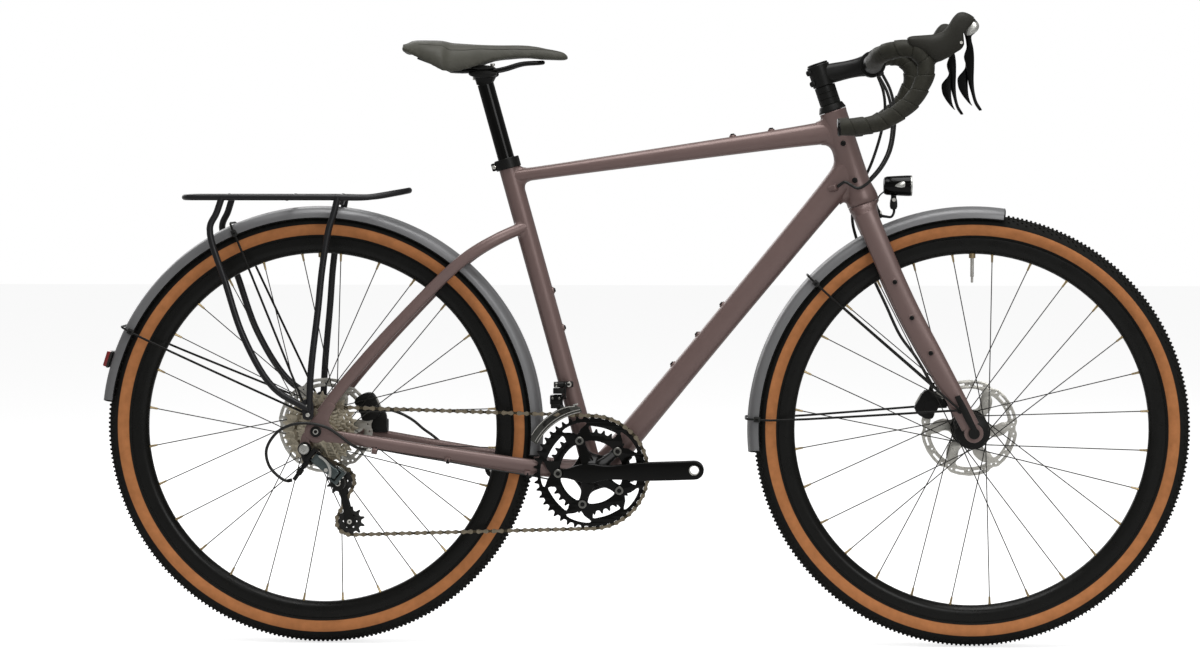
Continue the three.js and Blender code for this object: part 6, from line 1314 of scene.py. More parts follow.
def makeStays(name, axle, eyelet, eyeletSide, angles, body):
    parts, studs = [], []
    for angle in angles:
        inward = aroundAxle(axle, 358.5, angle, 31)
        start = centreOf(eyelet, eyeletSide)
        toward = (inward - start) * Vector((1, 0, 1))
        toward.normalize()
        right = [start, start + toward * 0.016] + [aroundAxle(axle, radius, angle, y) for radius,
                y in ((330, 33), (352, 31.6), (362, 31.2), (368.6, 28.6), (370.9, 22), (371, 10))]
        path = right + [Vector((p.x, -p.y, p.z)) for p in reversed(right)]
        parts.append((tube(smoothed(path, 4), 1.9, 10), "satinBlack"))
        for side in (1, -1):
            clip = aroundAxle(axle, 353, angle, side * 31.2)
            parts.append((block(clip, (9, 6.4, 11), 1.6, pitched(90 - angle)), "darkPlastic"))
            studs.append((clip + across * (side * 0.003), across * side))
    for side in (1, -1):
        ends = sorted((side * (eyeletSide - 1.7), side * (eyeletSide + 1.7)))
        parts.append((lathe(sleeve(0, 5.5, *ends, 0.5, 0.4), centreOf(eyelet), across, 24), "satinBlack"))
        if name == "front":
            studs.append((centreOf(eyelet, side * (eyeletSide + 1.6)), across * side))
    parts.append(bolts("satinBlack", studs, 2.8, 2))
    piece(name + "MudguardStays", parts, body, [name + "_mudguard_stays"], 40)


def makeRack():
    deck, rear, bend = 741, -222, 80
    right = [(rear, -31, deck), (rear + 10, -48, deck), (rear + 40, -52, deck), (bend - 60, -52, deck),
             (bend, -44, deck), (bend + 45, -23.4, deck + 7), (bend + 66, 0, deck + 11)]
    loop = smoothed([at(*p) for p in bothSides(right)], 8, loop=True)
    parts, studs = [(tube(loop, 5, 18, loop=True), "rackBlack")], []
    for x in (-162, -50, 30):
        parts.append((rod(at(x, -51, deck), at(x, 51, deck), 4, 20), "rackBlack"))
        for side in (1, -1):
            parts.append((lathe([(4.2, 44), (5.2, 46.4), (5.8, 49), (0, 49)], at(x, 0, deck), across * side, 20),
                          "rackBlack"))
    for topX, kneeX, kneeZ, shinX, shinZ in ((-157, -176, 690, -118, 510), (34, 20, 688, 4, 560)):
        for side in (1, -1):
            foot = (-10, 84.6, 394)
            leg = [(topX, 53, deck), ((topX + kneeX) / 2 + 1, 56, (deck + kneeZ) / 2), (kneeX, 60, kneeZ),
                   ((kneeX + shinX) / 2 - 2, 67, (kneeZ + shinZ) / 2), (shinX, 74, shinZ),
                   ((shinX + foot[0]) / 2 - 4, 85.4, (shinZ + foot[2]) / 2 - 22), foot]
            parts.append((tube(smoothed([at(x, side * y, z) for x, y, z in leg], 7), 5.5, 18), "rackBlack"))
    plateRing = roundedRing([(-8, -6), (0, -8.5), (8, -6), (9.5, 8), (8, 22), (2, 26), (-6, 25), (-10.5, 18),
                             (-9, 4)], 3)
    for side in (1, -1):
        near, far = sorted((side * 82.4, side * 86.8))
        parts.append((plate(plateRing, near, far, [circle(2.6, 16)], 1, rearEyelet), "rackBlack"))
        studs += [(at(rearEyelet[0], side * 86.6, rearEyelet[1] + rise), across * side) for rise in (0, 14)]
    parts.append(bolts("brightSteel", studs, 4, 2.8))
    parts.append((span([(18, 741, 18, 736, 12), (20, 738, 40, 738, 13), (22, 732, 38, 731, 13),
                        (23, 728.4, 37, 728, 13)], 0, 24, 4, 3), "rackBlack"))
    parts.append(bolts("brightSteel", [(at(30, -12.4, 733.6), -across)], 3.4, 2))
    piece("rearRack", parts, "frame", ["rear_rack"], 40)


def makeRearLight():
    angle = 162.3
    turn = pitched(-angle)
    base, red = aroundAxle(rearAxle, 371.4, angle), aroundAxle(rearAxle, 375.6, angle)
    parts = [(block(base, (4.4, 30, 28), 1.6, turn), "darkPlastic"),
             (block(red, (7.6, 28.4, 26.4), 2.4, turn), "redLens")]
    for share in (-9, 0, 9):
        parts.append((block(aroundAxle(rearAxle, 378.9, angle + share / 6.6), (1.4, 24, 1), 0.3, turn), "redLens"))
    piece("rearLight", parts, "frame", ["rear_light"])


makeGuard("front", frontAxle, 81.8, 185.6, "steering")
makeGuard("rear", rearAxle, -7, 172.7, "frame")
makeStays("rear", rearAxle, rearEyelet, 80.4, (113.5, 153), "frame")
makeStays("front", frontAxle, frontEyelet, 67.7, (136.6, 177), "steering")
makeRack()
makeRearLight()


def makeHeadlight():
    forward, lamp, hinge = Vector((1, 0, 0)), at(928, 0, 760), (945, 737)
    shell = [(0, 0.3), (10.6, 0.4), (13.6, 1.8), (15.2, 5.6), (15.8, 14), (16.5, 27), (17, 38), (17, 44.6),
             (16.6, 45), (15.4, 45), (15, 44), (14.4, 38.5), (0, 38.5)]
    collar = [(15.4, 44.4), (16.9, 44.4), (16.9, 46.4), (16.2, 47), (14.4, 47), (14, 46), (14, 44.4)]
    parts = [(lathe(shell, lamp, forward), "glossBlack"), (lathe(collar, lamp, forward), "silverPlate")]
    parts.append((block(at(hinge[0], 0, 740.5), (9, 7, 14), 1.6), "glossBlack"))
    window = plate(roundedRing([(-7, -2.4), (9, -4), (9, 4.4), (4, 5)], 3), -16.9, -15.6, (), 0.3, (953, 762))
    parts += [(window, "silverPlate"), (mirrored(window), "silverPlate")]
    parts.append((lathe(sleeve(0, 3.4, -9.6, 9.6, 0.4, 0.6), centreOf(hinge), across, 20), "brightSteel"))
    piece("headlight", parts, "headlight", ["headlight"], 30)
    dome = [(0, 0), (13.6, 0), (13.6, 6.4), (12.6, 7.4), (9, 8.2), (4, 8.6), (0, 8.7)]
    glass = lathe(dome, at(967.3, 0, 760), forward, 40)
    piece("headlightLens", [(glass, "clearLens")], "headlight", ["headlight_lens"], 24)
    foot = onSteering(18.6, 0, 369)
    arm = [foot + Vector((0.002, 0, -0.003)), foot + Vector((0.012, 0, -0.0045)), at(941, 0, 709), at(945.4, 0, 716),
           at(945.4, 0, 726)]
    sizes = ((8, 2.6), (7, 2.2), (6.5, 2), (6.8, 2), (7, 2.4))
    parts = [(ovalTube([(spot, *size) for spot, size in zip(arm, sizes)], 5, 20, 4), "satinBlack")]
    front = foot + steeringForward * 0.003
    parts.append((rod(foot - steeringForward * 0.0004, front, 8, 32, 0.8), "satinBlack"))
    parts.append(bolts("brightSteel", [(front, steeringForward)], 4, 2.2))
    for side in (1, -1):
        near, far = sorted((side * 4.2, side * 7.4))
        ear = roundedRing([(-4.5, -14), (4.5, -14), (5.4, 0), (3.4, 4.4), (-3.4, 4.4), (-5.4, 0)], 3)
        parts.append((plate(ear, near, far, (), 0.6, (945, 736)), "satinBlack"))
    cable = [at(930, -2, 751), at(922, -3, 744), at(917, -3, 732), at(920, -2, 722), at(924, 0, 716)]
    parts.append((tube(smoothed(cable, 6), 1.3, 10), "cableSleeve"))
    piece("headlightBracket", parts, "steering", ["headlight_bracket"], 36)


makeHeadlight()


# Brakes
def makeCaliper(name, axle, angle, body, foot):
    # Drawn in front of the axle and turned to its angle; the foot isn't turned.
    ahead = lambda x, z, y=0: at(axle[0] + x, y, axle[1] + z)
    turn = lambda mesh, finish: (turned(mesh, -angle, centreOf(axle)), finish)
    shape = roundedRing([(61, -16), (70, -22), (88, -22), (96, -14), (96.5, 0), (96, 14), (88, 22), (70, 22),
                         (61, 16), (64, 0)], 3)
    parts = [turn(plate(shape, near, far, (), 1.4, axle), "satinBlack") for near, far in ((31.4, 39.6), (44.4, 51.6))]
    parts.append(turn(block(ahead(89, 0, 42), (14, 12, 36), 2), "satinBlack"))
    for cap in ([(0, 50.8), (12.6, 50.8), (13, 51.4), (12, 53), (5, 53.6), (0, 53.6)],
                [(0, 32), (12.6, 32), (12, 30.4), (0, 30)]):
        parts.append(turn(lathe(cap, ahead(74, 0), across, 36), "satinBlack"))
    parts.append(turn(block(ahead(92, 0, 42), (13, 3.2, 20), 0.4), "brightSteel"))
    parts.append(turn(rod(ahead(90, 12, 33), ahead(90, 12, 50), 2.2, 16), "brightSteel"))
    socket = [(0, 50.6), (3.4, 50.6), (3.4, 52.6), (1.7, 52.6), (1.6, 51.6), (0, 51.6)]
    parts += [turn(lathe(socket, ahead(88, step), across, 20), "brightSteel") for step in (-13, 13)]
    centre, sizes = foot
    parts.append((block(at(*centre), sizes, 3), "satinBlack"))
    if name == "rear":
        bridge = [(62, 374), (66, 362), (76, 352), (100, 352), (102, 368), (99, 380), (90, 382), (70, 386)]
        parts.append((plate(roundedRing(bridge, 3), 44.6, 58, (), 1.6), "satinBlack"))
    half = Vector((0, 0, sizes[2] / 2000))
    for step in (-1, 1):
        spot = at(centre[0] + step * sizes[0] * 0.3, centre[1], centre[2])
        parts.append((rod(spot - half, spot + half + Vector((0, 0, 0.002)), 3.6, 16, 0.5), "brightSteel"))
    piece(name + "Caliper", parts, body, [name + "_caliper"], 36)


makeCaliper("rear", rearAxle, 24, "frame", ((88, 60, 357), (30, 24, 22)))
makeCaliper("front", frontAxle, 150, "steering", ((1022, 53, 404), (32, 11, 28)))


def makeAxle(name, axle, right, left, body, withLever):
    shaft = [(0, right), (7.6, right), (9, right + 0.8), (9, right + 3.6), (6, right + 4), (6, left), (4.4, left),
             (4.2, left - 3), (0, left - 3)]
    rim = [(3.1, right - 0.3), (4.4, right - 0.3), (4.6, right + 0.6), (3.1, right + 0.6)]
    parts = [(lathe(shaft, centreOf(axle), across, 36), "satinBlack"),
             (lathe(rim, centreOf(axle), across, 24), "brightSteel")]
    if withLever:
        rows = [(axle[0] + a, axle[1] + b, axle[0] + c, axle[1] + d, half) for a, b, c, d,
                half in ((-7, 9, 7, 2, 2.4), (-15, 22, -4, 26, 2.6), (-24, 42, -14, 46, 2.4), (-32, 60, -24, 63, 2))]
        knob = [(0, right - 2.4), (8, right - 2.4), (9, right - 1.6), (9, right + 1), (0, right + 1)]
        parts += [(span(rows, right - 0.2, 20, 3, 5), "satinBlack"),
                  (lathe(knob, centreOf(axle), across, 32), "satinBlack")]
    piece(name + "Axle", parts, body, [name + "_axle"], 34)


makeAxle("rear", rearAxle, -82.6, 79.3, "frame", False)
makeAxle("front", frontAxle, -69.9, 66.6, "steering", True)
print("guards, rack, lights and brakes built")


# Housings
def fromStem(forward, left, share):
    return onSteering(forward, left, share * stemTop)


def housing(points):
    path = smoothed(points, 8)
    return tube(path, 2.5, 16), path


def makeHousings():
    for side, word in ((-1, "Right"), (1, "Left")):
        mouth = portSpot(side, -33, 26)
        points = [fromStem(f, side * y, u) for f, y, u in ((91.8, 62, .9556), (96.9, 56, .9031), (94, 48, .8532),
                (83.4, 42, .7989), (64.5, 40, .7457), (35.4, 41, .7055), (-.7, 40, .684))]
        points += [mouth + Vector((0.012, side * 0.005, 0.008)), mouth + Vector((0.001, side * 0.0005, 0.0007))]
        mesh, _ = housing(points)
        made = piece("gearHousing" + word, [(mesh, "cableSleeve")], None, ["gear_housing_" + word.lower()],
                     60)
        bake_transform(made)
    hose = [fromStem(f, y, u) for f, y, u in ((91.8, 84, .9556), (92.1, 76, .9057), (82.9, 66, .8506),
            (65.2, 60, .8002), (37.6, 60, .738), (5.3, 66, .6784), (-21.3, 72, .6156), (-27, 68, .5467),
            (-23.3, 59, .4623), (-16.1, 54, .364), (-8.9, 53, .2657))]
    hose += [at(985, 52, 476), at(1003, 50, 446), at(1012, 48, 428), at(1009.4, 47, 421.8)]
    mesh, _ = housing(hose)
    ferrule = rod(hose[-1] + Vector((0, 0, -0.004)), hose[-1] + (hose[-2] - hose[-1]).normalized() * 0.012, 3.6, 20,
                  0.5)
    piece("frontBrakeHose", [(mesh, "cableSleeve"), (ferrule, "satinBlack")], "steering", ["front_brake_hose"],
          60)
    loop = [cableStop + Vector(step) for step in ((-0.0012, 0, 0.0002), (-0.009, 0, 0.0015),
            (-0.018, -0.007, 0.0035))]
    loop += [at(60, -80, 336), at(17.6, -86, 366), at(-29, -90, 372), at(-60.5, -90, 359), at(-80, -88, 330),
             at(-77, -86, 304), at(-62, -83, 285), at(-48, -81, 277), at(-39.4, -81, 278.5)]
    mesh, path = housing(loop)
    caps = [(rod(Vector(path[0]), Vector(path[8]), 3.2, 18, 0.4), "brightSteel"),
            (rod(Vector(path[-8]), Vector(path[-1]), 3.1, 18, 0.4), "satinBlack")]
    piece("rearGearHousing", [(mesh, "cableSleeve"), *caps], "frame", ["rear_gear_housing"], 60)


makeHousings()
print("housings built")


# Cable under the right chainstay and hose to the rear caliper
def makeStayLines():
    spots = [(96.7, -63.5, 331.5), (150, -59, 321.5), (213.7, -55.5, 310.5), (280, -50, 298), (344.6, -44.5, 287.6),
             (392, -38, 278)]
    parts = [(tube(smoothed([at(x, y, z - 3) for x, y, z in spots], 6), 1.3, 10), "cableSleeve")]
    for x, y, z in (spots[0], spots[2], spots[4]):
        parts.append((block(at(x, y + 0.5, z + 0.5), (9, 7, 7), 1.4, pitched(10)), "framePaint"))
        parts.append((rod(at(x + 1, y - 0.5, z + 1), at(x + 0.4, y - 0.5, z - 6.4), 2.9, 14, 0.6), "satinBlack"))
    hose = [(88, 49, 384), (104, 51, 384), (124, 53, 378), (146, 53, 366), (163, 52, 352), (180, 51.5, 340),
            (192, 51, 330)]
    parts.append((tube(smoothed([at(*p) for p in hose], 7), 2.4, 14), "cableSleeve"))
    piece("stayLines", parts, "frame", crease=50)


makeStayLines()


# Chain path, sprockets and rings
chain = {"pitch": 12.7, "line": -45.25, "links": 114, "guide": (36.6, 273.9), "spacing": 68.6, "pulley": 11,
         "ring": 46}
toothSides = (chain["line"] - 0.9, chain["line"] + 0.9)
cassetteTeeth = [12, 13, 14, 15, 17, 19, 21, 24, 27, 30]


def pitchRadius(teeth):
    return chain["pitch"] / (2 * math.sin(math.pi / teeth))


def chainStops(cageTurn):
    x, z = chain["guide"]
    tension = (x + chain["spacing"] * math.cos(cageTurn), z + chain["spacing"] * math.sin(cageTurn))
    return [(rearAxle, 19, 1), (bracket, chain["ring"], 1), (tension, chain["pulley"], 1),
            (chain["guide"], chain["pulley"], -1)]


def chainLegs(cageTurn):
    # Straight runs and wraps in turn, each with its length in links and a rule for a place on it.
    stops, runs, legs = chainStops(cageTurn), [], []
    for (here, teeth, turn), (there, others, after) in zip(stops, stops[1:] + stops[:1]):
        near, far = turn * pitchRadius(teeth), after * pitchRadius(others)
        way = math.atan2(there[1] - here[1], there[0] - here[0]) - math.asin((near - far) / math.dist(here, there))
        out = (math.cos(way + math.pi / 2), math.sin(way + math.pi / 2))
        runs.append((way, (here[0] + out[0] * near, here[1] + out[1] * near),
                     (there[0] + out[0] * far, there[1] + out[1] * far)))
    for i, (way, start, end) in enumerate(runs):
        legs.append((math.dist(start, end) / chain["pitch"], None, start, end))
        centre, teeth, turn = stops[(i + 1) % 4]
        sweep = ((way - runs[(i + 1) % 4][0]) * turn) % (2 * math.pi)
        first = math.atan2(end[1] - centre[1], end[0] - centre[0])
        legs.append((sweep * teeth / (2 * math.pi), (centre, teeth, turn), first, sweep))
    return legs


def settledCageTurn():
    low, high = math.radians(-130), math.radians(-20)
    for _ in range(50):
        middle = (low + high) / 2
        if sum(leg[0] for leg in chainLegs(middle)) > chain["links"]:
            low = middle
        else:
            high = middle
    return (low + high) / 2


cageTurn = settledCageTurn()
legs = chainLegs(cageTurn)
tensionPulley = chainStops(cageTurn)[2][0]


def chainPlace(count):
    left = count
    for length, stop, first, last in legs:
        if left <= length:
            share = left / length
            if stop is None:
                return tuple(a + (b - a) * share for a, b in zip(first, last))
            centre, teeth, turn = stop
            angle = first - turn * share * last
            return (centre[0] + pitchRadius(teeth) * math.cos(angle),
                    centre[1] + pitchRadius(teeth) * math.sin(angle))
        left -= length
    return chainPlace(0)


def rollerAngle(index):
    # Degrees of the first roller that sits in the teeth of a stop.
    passed = 0
    for i, (length, stop, first, _) in enumerate(legs):
        if i == index:
            into = math.ceil(passed) - passed
            return math.degrees(first - stop[2] * into * 2 * math.pi / stop[1])
        passed += length


def toothRing(teeth, first):
    radius, ring = pitchRadius(teeth), []
    tooth = ((-2.2, -3.5), (-3.6, -2.4), (-4.1, 0), (-3.6, 2.4), (-2.2, 3.5), (0.3, 4.4), (2.4, 5.6), (2.4, 7.1),
             (0.3, 8.3))
    for i in range(teeth):
        base = math.radians(first) + 2 * math.pi * i / teeth
        for rise, along in tooth:
            turn = base + along / radius
            ring.append(((radius + rise) * math.cos(turn), (radius + rise) * math.sin(turn)))
    return ring


def sector(inner, outer, middle, halfInner, halfOuter, steps=3):
    # A window bounded by two arcs, with soft corners.
    low = [polar(inner, middle - halfInner + 2 * halfInner * k / 4) for k in range(5)]
    high = [polar(outer, middle + halfOuter - 2 * halfOuter * k / 4) for k in range(5)]
    return roundedRing(low + high, steps)


def makeCassette():
    parts, first = [], rollerAngle(7)
    for i, teeth in enumerate(cassetteTeeth):
        side, radius = -65 + 3.95 * i, pitchRadius(teeth)
        holes = [circle(17, 32)]
        if radius > 42:
            holes += [sector(25, radius - 9.5, 60 * k + 9 * i, 13, 21) for k in range(6)]
        elif radius > 33:
            holes += [circle(3.2, 10, *polar(radius - 11, 45 * k + 7 * i)) for k in range(8)]
        parts.append((plate(toothRing(teeth, first + 5 * (i - 5)), side - 0.9, side + 0.9, holes, 0.15, rearAxle),
                      "sprocketSteel"))
        if i < 9:
            spacer = [(17, 0), (20.5, 0), (20.5, 2.15), (17, 2.15)]
            parts.append((lathe(spacer, centreOf(rearAxle, side + 0.9), segments=32), "satinBlack"))
    lock = [(9, 0), (14, 0), (17.5, 0.7), (18.6, 2.2), (18.6, 3), (9, 3)]
    parts.append((lathe(lock, centreOf(rearAxle, -68.9)), "sprocketSteel"))
    notch = small(plate([(11.2, -0.9), (14.4, -0.9), (14.4, 0.9), (11.2, 0.9)], -0.2, 0.4))
    parts.append(repeatedRound(notch, "satinBlack", 12, 0, rearAxle, -68.9))
    for side, radius, length in ((-71, 9, 3), (-68.4, 16.9, 39.9)):
        ring = [(7.4, 0), (radius, 0), (radius, length), (7.4, length)]
        parts.append((lathe(ring, centreOf(rearAxle, side), segments=32), "satinBlack"))
    piece("cassette", parts, "cassette", ["cassette"], 28)


makeCassette()


# Chain links, in two halves: the upper one rides the frame, and the lower one, from the chainring round to the
# sprocket, is left without a body
def linkUnits():
    shape = roundedRing([(10, 0), (9, 2.6), (6.35, 3.7), (3.4, 2.6), (0, 1.7), (-3.4, 2.6), (-6.35, 3.7), (-9, 2.6),
                         (-10, 0), (-9, -2.6), (-6.35, -3.7), (-3.4, -2.6), (0, -1.7), (3.4, -2.6), (6.35, -3.7),
                         (9, -2.6)], 1)
    units = []
    for kind, near, far, half, radius, sides in (("outer", 1.9, 2.6, 2.72, 1.7, 8),
            ("inner", 1.2, 1.8, 1.3, 3.8, 12)):
        form = bmesh.new()
        for side in (-1, 1):
            form.from_mesh(small(plate(shape, side * near, side * far)))
        for place in (-chain["pitch"] / 2, chain["pitch"] / 2):
            ends = [Vector((place / 1000, y / 1000, 0)) for y in (-half, half)]
            form.from_mesh(rod(*ends, radius, sides))
        units.append(asMesh(form, kind))
    return units


def makeChain():
    halves = {"upper": [], "lower": []}
    onRing, onSprocket = sum(leg[0] for leg in legs[:2]) - 1, sum(leg[0] for leg in legs[:6])
    for i in range(chain["links"]):
        a, b = chainPlace(i), chainPlace(i + 1)
        middle = ((a[0] + b[0]) / 2, (a[1] + b[1]) / 2)
        way = Vector((b[0] - a[0], 0, b[1] - a[1])).normalized()
        half = "lower" if onRing < i < onSprocket else "upper"
        halves[half].append((i % 2, (at(middle[0], chain["line"], middle[1]), way)))
    outer, inner = linkUnits()
    made = {}
    for half, rows in halves.items():
        parts = []
        for phase, unit in ((0, outer), (1, inner)):
            spots = [row for kind, row in rows if kind == phase]
            parts.append(inRow(unit.copy(), "chainDark" if phase else "chainSteel", spots, tree=rowTree))
        made[half] = parts
    piece("chainUpper", made["upper"], "frame", ["chain"], 30)
    lower = piece("chainLower", made["lower"], None, crease=30)
    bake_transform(lower)


makeChain()
print("cassette and chain built")


# Chainset
boltTurns = [38.6 + 72 * i for i in range(5)]


def ringInside(radius, tab, half):
    # The inner edge of a chainring: a circle with a tab at every bolt.
    ring = []
    for turn in boltTurns:
        ring += [polar(tab, turn, -half * 0.45), polar(tab, turn, half * 0.45), polar(tab + 3.5, turn, half),
                 polar(radius, turn + 16)]
        ring += [polar(radius, turn + 36), polar(radius, turn + 56), polar(tab + 3.5, turn + 72, -half)]
    return roundedRing(ring, 3)


def makeRings():
    corners = ((66.5, 0), (73, 6.5), (81, 15), (83.2, 13), (84, 0), (83.2, -13), (81, -15), (73, -6.5))
    triangles = [roundedRing([polar(radius, turn + off) for radius, off in corners], 3) for turn in boltTurns]
    kidneys = [sector(60.5, 75.5, turn + 36, 14, 18.5) for turn in boltTurns]
    outerRing = plate(toothRing(chain["ring"], rollerAngle(1)), *toothSides,
                      [ringInside(52, 47.6, 8), *triangles, *kidneys], 0.25, bracket)
    piece("chainringOuter", [(outerRing, "glossBlack")], "crankset", ["chainring_outer"], 30)
    innerRing = plate(toothRing(34, 4), -39.15, -37.35, [ringInside(54.5, 47.6, 8)], 0.25, bracket)
    piece("chainringInner", [(innerRing, "satinBlack")], "crankset", ["chainring_inner"], 30)


def crankSpot(side, share, out):
    reach, tilt = (1 if side < 0 else -1) * crankLength * share, math.radians(2.6)
    return at(bracket[0] + reach * math.cos(tilt), side * out, bracket[1] + reach * math.sin(tilt))


def crankArm(side):
    # The arm narrows behind its root, steps out again and ends in a round eye.
    rows = [(0, 58, 8.3, 16.5), (0.1, 59, 8.3, 13.2), (0.2, 60.5, 8.1, 12), (0.3, 63, 7.8, 12.6),
            (0.42, 66.8, 7.4, 14.6), (0.55, 71, 7.2, 15.3), (0.75, 76.4, 7.05, 15.5), (0.92, 79.4, 7, 15.5),
            (1.0, 80, 7, 15.5), (1.03, 80, 7, 14.7), (1.057, 80, 7, 12.1), (1.075, 80, 7, 9), (1.087, 80, 7, 4.6),
            (1.0911, 80, 7, 0.9)]
    if side < 0:
        rows = [(-0.27, 49.8, 2.2, 6.5), (-0.2, 51.5, 4, 9.5), (-0.1, 55.5, 7, 14.5)] + rows
    arm = ovalTube([(crankSpot(side, share, out), wide, high) for share, out, wide, high in rows], 4, 40, 5.5)
    eye = crankSpot(side, 1, 80)
    arm = carve(arm, rod(eye - across * 0.012, eye + across * 0.012, 7.9, 40))
    insert = lathe(sleeve(7.1, 8.9, -6.9, 6.9, 0.3, 0.5), eye, segments=40)
    return [(arm, "glossBlack"), (insert, "brightSteel")]


def makeCranks():
    spider = ((30.5, -36), (33, -18), (38, -11.5), (46, -9), (57, -8), (62, -4), (62.5, 0), (62, 4), (57, 8), (46, 9),
              (38, 11.5), (33, 18))
    spiderRing = [polar(radius, turn + off) for turn in boltTurns for radius, off in spider]
    parts = [(plate(roundedRing(spiderRing, 3), -44.2, -39.3, (), 0.9, bracket), "glossBlack")]
    stack = (([(3.4, 0.2), (6.9, 0.2), (6.9, 1.4), (6.2, 2), (4, 2), (3.4, 0.9)], -45.9, -across, 28, "boltSteel"),
             ([(0, 0.2), (3.6, 0.2), (3.6, 0.7), (0, 0.7)], -45.9, -across, 6, "satinBlack"),
             ([(0, 0), (5.8, 0), (5.8, 8.4), (5.4, 8.9), (0, 8.9)], -45.6, across, 20, "satinBlack"))
    for turn in boltTurns:
        spots = [(8, 53, 5.5, 13), (22, 50.5, 5, 10.5), (34, 47.5, 3.6, 8), (44, 45.2, 2, 6.6), (49, 44.2, 1, 5.4)]
        rows = [(aroundAxle(bracket, radius, turn, -out), thick, wide) for radius, out, thick, wide in spots]
        parts.append((ovalTube(rows, 4, 28, 2.8), "glossBlack"))
        for profile, side, way, sides, finish in stack:
            parts.append((lathe(profile, aroundAxle(bracket, 55, turn, side), way, sides), finish))
    hub = [(12, 0), (30, 0), (30.5, -1.5), (27, -6), (22, -11), (18.5, -15.5), (16, -17.8), (12, -18)]
    parts.append((lathe(hub, centreOf(bracket, -41.5), segments=60), "glossBlack"))
    parts.append((lathe([(0, 0), (13, 0), (13, 2.6), (0, 2.6)], centreOf(bracket, -39.4), across, 40), "satinBlack"))
    parts.append((rod(centreOf(bracket, -40), centreOf(bracket, 58), 11.9, 32), "brightSteel"))
    piece("crankRight", parts + crankArm(-1), "crankset", ["crank_right"], 35)
    hub = [(12.1, 0), (18.5, 0), (19, 1), (19, 20), (17.5, 23), (12.1, 23.4)]
    cap = [(0, 0), (11.5, 0), (11.5, 4.6), (10, 5.6), (7, 5.6), (6.4, 4), (0, 4)]
    parts = [(lathe(hub, centreOf(bracket, 36.6)), "glossBlack"),
             (lathe(cap, centreOf(bracket, 59.6), segments=36), "satinBlack")]
    for lift in (-6.5, 6.5):
        spot = crankSpot(1, 0.1, 66) + Vector((0, 0, lift / 1000))
        parts.append((rod(spot - across * 0.006, spot + across * 0.001, 3.2, 16, 0.5), "brightSteel"))
    piece("crankLeft", parts + crankArm(1), "crankset", ["crank_left"], 35)


makeRings()
makeCranks()
print("chainset built")


# Rear derailleur
mech = {"pivot": (-1, 315.5), "way": Vector((0.78, 0, -0.6258)).normalized(), "length": 44, "outer": -87,
        "inner": -69}
mechAxis = Vector((-mech["way"].z, 0, mech["way"].x))
mechTurn = Matrix((mech["way"], across, mech["way"].cross(across))).transposed()


def onLink(along, side, rise=0.0):
    # A place by its distance along the links and across them.
    return centreOf(mech["pivot"], side) + mech["way"] * (along / 1000) + mechAxis * (rise / 1000)


def clevis(along, back, finish):
    # Two cheeks that hold the links' pins, joined by a wall behind them.
    parts = [(block(onLink(along - back * 8.4, -78), (7, 28, 25.6), 2.2, mechTurn), finish)]
    for rise in (-11.2, 11.2):
        parts.append((block(onLink(along - back * 3.6, -78, rise), (14.4, 28, 3.4), 1.5, mechTurn), finish))
        for side in (mech["outer"], mech["inner"]):
            tip = 1.55 if rise > 0 else -1.55
            parts.append((rod(onLink(along, side, rise), onLink(along, side, rise + tip * 1.15), 2.3, 14, 0.3),
                          "brightSteel"))
    return parts


def mechLink(side, wide, finish):
    rows = [(onLink(-2.6, side), 2.4, 8.2), (onLink(0, side), 3.4, 8.8), (onLink(8, side), wide, 8.8),
            (onLink(22, side), wide, 8.6), (onLink(36, side), wide, 8.6), (onLink(mech["length"], side), 3.4, 8.8),
            (onLink(mech["length"] + 2.6, side), 2.4, 8.2)]
    return [(ovalTube(rows, 4, 32, 3.2), finish)]


